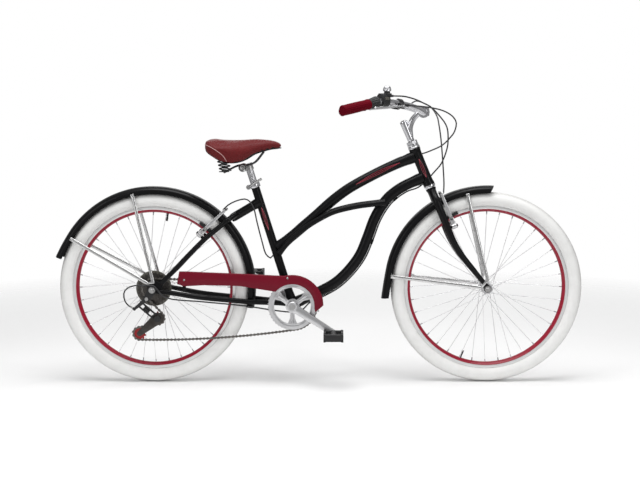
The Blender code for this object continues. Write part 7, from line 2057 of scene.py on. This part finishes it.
def saddle_rows(half_section, inset, steps=56):
    """Rings from tail to nose. half_section gives (y, z) points from the top down."""
    rows = []
    for step in range(steps):
        share = min(step / (steps - 1.0), TAIL_TO_NOSE)
        top, wide, skirt, roof = section_at(share)
        x = SADDLE_REAR + 0.3 * inset + share * (SADDLE_LENGTH - 0.3 * inset)
        half = half_section(top - inset, wide * SADDLE_HALF_WIDTH - inset, skirt, roof)
        ring = half + [(-y, z) for y, z in reversed(half)]
        rows.append([by_post(x, y, z) for y, z in ring])
    return rows


def cover_half(top, width, skirt, roof):
    height = top - skirt
    points = [(0.004, top), (0.22 * width, top - 0.004 * height),
              (0.45 * width, top - 0.018 * height), (0.68 * width, top - 0.06 * height),
              (0.86 * width, top - 0.145 * height),
              (0.965 * width, top - 0.27 * height), (width, top - 0.42 * height),
              (0.99 * width, top - 0.62 * height), (0.965 * width, top - 0.82 * height),
              (0.93 * width, skirt + 0.06 * height), (0.9 * width, skirt + 0.01 * height),
              (0.85 * width, skirt + 0.02 * height), (0.78 * width, roof), (0.4 * width, roof)]
    return points + [(0.004, roof)]


def blown_up(form, voxel, pressure, limit, pinned):
    """The form's shape as cloth under pressure. No point moves more than the limit."""
    item = placed("cover_start", mesh_of(form.shape, "cover_start"))
    remesh = item.modifiers.new("Remesh", "REMESH")
    remesh.mode = "VOXEL"
    remesh.voxel_size = voxel
    item.data = from_modifiers(item)
    item.modifiers.clear()
    start = [vertex.co.copy() for vertex in item.data.vertices]
    group = item.vertex_groups.new(name="pinned")
    group.add([index for index, point in enumerate(start) if pinned(point)], 1.0, "REPLACE")
    cloth = item.modifiers.new("Cloth", "CLOTH")
    cloth.settings.use_pressure = True
    cloth.settings.uniform_pressure_force = pressure
    cloth.settings.effector_weights.gravity = 0.0
    cloth.settings.vertex_group_mass = group.name
    cloth.point_cache.frame_start = 1
    cloth.point_cache.frame_end = CLOTH_FRAMES
    for frame_number in range(1, CLOTH_FRAMES + 1):
        bpy.context.scene.frame_set(frame_number)
    swollen = from_modifiers(item)
    furthest = 0.0
    for vertex, point in zip(swollen.vertices, start):
        move = vertex.co - point
        furthest = max(furthest, move.length)
        if move.length > limit:
            vertex.co = point + move * (limit / move.length)
    print("cloth points", len(start), "furthest", round(furthest * 1000.0, 1), "mm")
    bpy.data.objects.remove(item)
    bpy.context.scene.frame_set(1)
    return swollen


def rounded(mesh, passes):
    """Even a mesh out and divide it once."""
    form = Form()
    form.shape.from_mesh(mesh)
    for _ in range(passes):
        bmesh.ops.smooth_vert(form.shape, verts=form.shape.verts, factor=0.5,
                              use_axis_x=True, use_axis_y=True, use_axis_z=True)
    item = placed("cover_even", mesh_of(form.shape, "cover_even"))
    divide = item.modifiers.new("Divide", "SUBSURF")
    divide.levels = 1
    form.shape.clear()
    form.shape.from_mesh(from_modifiers(item))
    bpy.data.objects.remove(item)
    return form


def is_underside(point):
    share = min(max((point.x - POST_TOP.x - SADDLE_REAR) / SADDLE_LENGTH, 0.0), TAIL_TO_NOSE)
    return point.z - POST_TOP.z < section_at(share)[2] + 0.006


start_form = Form().skin(saddle_rows(cover_half, COVER_INSET))
cover_form = rounded(blown_up(start_form, 0.0045, 4.0, SWELL_LIMIT, is_underside), 3)
cover_tree = BVHTree.FromBMesh(cover_form.shape)
cover = cover_form.piece(
    "vinyl_cover", VINYL, "saddle", "saddle_cover", "saddle_cushion", angle=60.0)
print("cover faces", len(cover.data.polygons))


# %% Piping, and the pan below the cover
PIPING_PATH = ((0.012, 0.07), (0.05, 0.0672), (0.12, 0.0583), (0.203, 0.044), (0.258, 0.0312),
               (0.291, 0.017), (0.308, 0.008))


def on_cover(point, lift=0.0004):
    """The nearest place on the cover, a little above it."""
    place, normal = cover_tree.find_nearest(point)[:2]
    return place + normal * lift


def seen_from(points, direction):
    """The places on the cover that lie in a direction from some points."""
    hits = [cover_tree.ray_cast(point, direction)[0] for point in points]
    return [on_cover(place) for place in hits if place]


def make_piping():
    sides = []
    for side in (-1.0, 1.0):
        path = [by_post(SADDLE_REAR + share * SADDLE_LENGTH, side * 0.13, z)
                for share, z in PIPING_PATH]
        sides.append(seen_from(smooth_route(path, 0.003), -LEFT * side))
    right, left = sides
    behind = [right[0].lerp(left[0], share) - FORWARD * 0.03 for share in even(0.0, 1.0, 40)]
    route = right[::-1] + seen_from(behind[1:-1], FORWARD) + left
    form = Form().tube(smooth_route(route[::3], 0.003), 0.0012, 10)
    return form.piece("cover_piping", PIPING, "saddle", "saddle_cover")


def pan_half(_top, width, skirt, roof):
    return [(0.004, roof - 0.0004), (0.4 * width, roof - 0.0004), (0.77 * width, roof - 0.0008),
            (0.84 * width, skirt + 0.001), (0.86 * width, skirt - 0.0006),
            (0.82 * width, skirt - 0.0006), (0.75 * width, roof - 0.0034),
            (0.4 * width, roof - 0.003), (0.004, roof - 0.003)]


def make_pan():
    form = Form().skin(saddle_rows(pan_half, 0.006, 40))
    form.block(by_post(0.0537, 0.0, 0.0535), (0.015, 0.026, 0.017), bevel=0.002)
    for side in (-1.0, 1.0):
        foot = by_post(-0.0873, side * 0.045, 0.0202)
        form.rod(foot, foot + UP * 0.026, 0.0172, 28, 0.015)
    return form.piece("saddle_pan", BLACK_PLASTIC, "saddle", "black_plastic")


told("saddle trim", make_piping(), make_pan())


# %% Rails and clamp
RAIL_OFFSET = 0.022
RAIL_RADIUS = 0.0035
SPRING_OFFSET = 0.045
SPRING_FOOT = (-0.0793, -0.0185)
SPRING_HEAD = (-0.0873, 0.0175)
SPRING_WIRE = 0.0024


def make_rails():
    form = Form()
    foot_x, foot_z = SPRING_FOOT
    bar_z = foot_z - SPRING_WIRE - 0.0043
    steps = (
        (foot_x + 0.001, RAIL_OFFSET, bar_z), (-0.0363, RAIL_OFFSET, -0.0045),
        (0.0017, RAIL_OFFSET, -0.001), (0.0257, RAIL_OFFSET, 0.0085), (0.0537, 0.015, 0.0415))
    for side in (-1.0, 1.0):
        route = [by_post(x, side * y, z) for x, y, z in steps]
        form.tube(smooth_route(route, 0.004), RAIL_RADIUS, 16)
        seat = by_post(foot_x, side * SPRING_OFFSET, foot_z - SPRING_WIRE - 0.0004)
        form.rod(seat - UP * 0.003, seat, 0.0178, 28)
    for x, z, reach in ((foot_x + 0.001, bar_z, SPRING_OFFSET), (0.0537, 0.0415, 0.0185)):
        form.rod(by_post(x, -reach, z), by_post(x, reach, z), RAIL_RADIUS, 16)
    return form.piece("wire_rails", HOUSING_BLACK, "saddle_mast", "dark_steel", "saddle_rails")


def make_clamp():
    centre = by_post(-0.0168, 0.0, -0.0105)
    half = [(0.0125, -0.0315), (0.0143, -0.0298), (0.0143, -0.012), (0.0118, -0.01)]
    form = Form().turned(mirrored(half), centre, LEFT, 40)
    for side in (1.0, -1.0):
        form.turned([(0.006, side * 0.0318), (0.006, side * 0.0324), (0.0098, side * 0.0324),
                     (0.0098, side * 0.0308), (0.006, side * 0.0308)], centre, LEFT, 32, loop=True)
        form.pin(centre, side * 0.031, side * 0.0352, 0.0052, 6)
    form.rod(POST_TOP - SEAT_UP * 0.02, POST_TOP + SEAT_UP * 0.0036, 0.0158, 32, 0.015)
    return form.piece("rail_clamp_discs", STEEL, "saddle_mast", "bright_steel")


told("rails and clamp", make_rails(), make_clamp())


# %% Seat post and collar
POST_RADIUS = 0.0126


def make_post():
    foot = SEAT_TOP - SEAT_UP * 0.07
    tall = (POST_TOP - foot).length
    flutes = ((0.0, 0.0), (0.076, 0.0), (0.084, 1.0), (tall - 0.026, 1.0), (tall - 0.018, 0.0),
              (tall - 0.0005, 0.0))
    profile = [(height, POST_RADIUS, share) for height, share in flutes]
    form = fluted(Form(), foot, SEAT_UP, profile, 12, 0.0011, 0.35, 96)
    return form.piece("fluted_post", CHROME, "saddle_mast", "chrome_plate", "seat_post")


def make_collar():
    low = SEAT_TOP - SEAT_UP * 0.012
    back = at(-SEAT_UP.z, 0.0, SEAT_UP.x)
    profile = [
        (0.016, 0.0), (0.0186, 0.0), (0.0192, 0.001), (0.0192, 0.014), (0.0186, 0.015),
        (0.0136, 0.015), (0.0136, 0.0126), (0.016, 0.0124)]
    form = Form().turned(profile, low, SEAT_UP, 48, loop=True)
    middle = low + SEAT_UP * 0.0075 + back * 0.0225
    for side in (1.0, -1.0):
        form.block(middle + LEFT * side * 0.0046, (0.0115, 0.0056, 0.0142), back, SEAT_UP, 0.0016)
    return form.piece("collar_band", CHROME, "frame", "chrome_plate", "seat_collar")


def make_collar_lever():
    bolt = at(-0.24918, 0.0, 0.68547)
    form = Form().pin(bolt, -0.015, 0.0126, 0.0025, 16)
    form.pin(bolt, -0.016, -0.008, 0.0062, 24)
    route = smooth_route([bolt + at(x, y, z) for x, y, z in (
        (0.0, -0.014, 0.0), (0.01, -0.0219, 0.006), (0.025, -0.0254, 0.018),
        (0.048, -0.0284, 0.031))], 0.003)
    form.tube(route, even(0.0032, 0.0044, len(route) - 1), 16)
    lever = form.piece(
        "collar_cam_lever", STEEL, "collar_lever", "bright_steel", "quick_release_lever")
    knob = Form().turned([(0.0026, 0.0082), (0.0078, 0.0082), (0.0084, 0.009), (0.0084, 0.0128),
                          (0.0074, 0.0136), (0.0026, 0.0136)], bolt, LEFT, 28, loop=True)
    return lever, knob.piece("collar_nut_knob", BLACK_PLASTIC, "collar_lever", "dark_steel")


told("post and collar", make_post(), make_collar(), *make_collar_lever())


# %% Springs of the saddle
SPRING_RADIUS = 0.015
SPRING_TURNS = 3.0


def make_spring(label, side):
    """A coil between the mast and the saddle, baked in place on no body."""
    foot, head = [by_post(x, side * SPRING_OFFSET, z) for x, z in (SPRING_FOOT, SPRING_HEAD)]
    route = []
    for share in even(0.0, 1.0, 60):
        turn = 2.0 * math.pi * SPRING_TURNS * share
        out = at(SPRING_RADIUS * math.cos(turn), side * SPRING_RADIUS * math.sin(turn), 0.0)
        route.append(foot.lerp(head, share) + out)
    coil = Form().tube(route, SPRING_WIRE, 12).piece(
        "coil_" + label, HOUSING_BLACK, None, "dark_steel", "saddle_spring_" + label)
    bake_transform(coil)
    return coil


for label, side in SIDES:
    told(label + " spring", make_spring(label, side))

# %% [markdown]
# Small things come last: two cable stops below the down tube with the bare wire between them,
# and thin red stripes on the frame. The stripes are plain lines and stand for the painted
# ornament, which isn't copied.

# %% Cable stops and stripes
STOP_SHARES = (0.2, 0.47)
STRIPE_RADIUS = 0.0008
HEAD_SHELL_RADIUS = 0.018


def part_of(route, start, end):
    """The points of a route between two shares of it."""
    steps = max(8, int((end - start) * 120))
    return [along_route(route, share) for share in even(start, end, steps)]


def below_line(along):
    """The unit vector square to a line in the middle plane, on its lower side."""
    below = at(along.z, 0.0, -along.x)
    return -below if below.z > 0.0 else below


def make_stops():
    route = down_tube_route(0.006)
    form = Form()
    for share in STOP_SHARES:
        here, after = along_route(route, share), along_route(route, share + 0.01)
        along = (after - here).normalized()
        below = below_line(along)
        foot = here + below * (DOWN_TUBE_RADIUS + 0.0022)
        form.block(foot, (0.013, 0.0066, 0.006), along, below, 0.0014)
        mouth = foot + below * 0.001
        form.rod(mouth - along * 0.009, mouth + along * 0.009, 0.0032, 16)
    stops = form.piece("cable_stops", GLOSS_BLACK, "frame", "frame_paint")
    between = part_of(route, *STOP_SHARES)
    wire = [
        before + below_line((after - before).normalized()) * (DOWN_TUBE_RADIUS + 0.0034)
        for before, after in zip(between, between[1:])
    ]
    return stops, Form().tube(wire, 0.0008, 8).piece(
        "bare_shift_wire", STEEL, "frame", "bright_steel")


def make_stripes():
    """Two crossing lines on each side of a tube: a plain lens with a centre line."""
    form = Form()
    seat = [CRANK_AXLE + SEAT_UP * height for height in even(0.2, 0.442, 60)]
    head = [on_steerer(height, 0.0) for height in even(0.016, 0.12, 40)]
    tubes = (
        (top_tube_route(0.006), TOP_TUBE_RADIUS, 0.1, 0.4), (seat, SEAT_TUBE_RADIUS, 0.3, 0.66),
        (head, HEAD_SHELL_RADIUS, 0.12, 0.8))
    for route, radius, start, end in tubes:
        piece = part_of(route, start, end)
        skin = radius - CABLE_RADIUS - CABLE_GAP
        for middle in (0.0, 180.0):
            for swing in (-16.0, 0.0, 16.0):
                line = []
                for index in range(1, len(piece) - 1):
                    share = (index - 1) / (len(piece) - 3.0)
                    turn = middle + swing * math.sin(math.pi * share)
                    line += beside_tube(piece[index - 1:index + 2], turn, skin)
                form.tube(line, STRIPE_RADIUS, 8)
    return form.piece("frame_stripes", ACCENT_RED, "frame", "frame_paint")


told("small parts", *make_stops(), make_stripes())

# %% [markdown]
# All the pieces are built. The visual has to stay inside that box.

# %% The end
print("all pieces built")
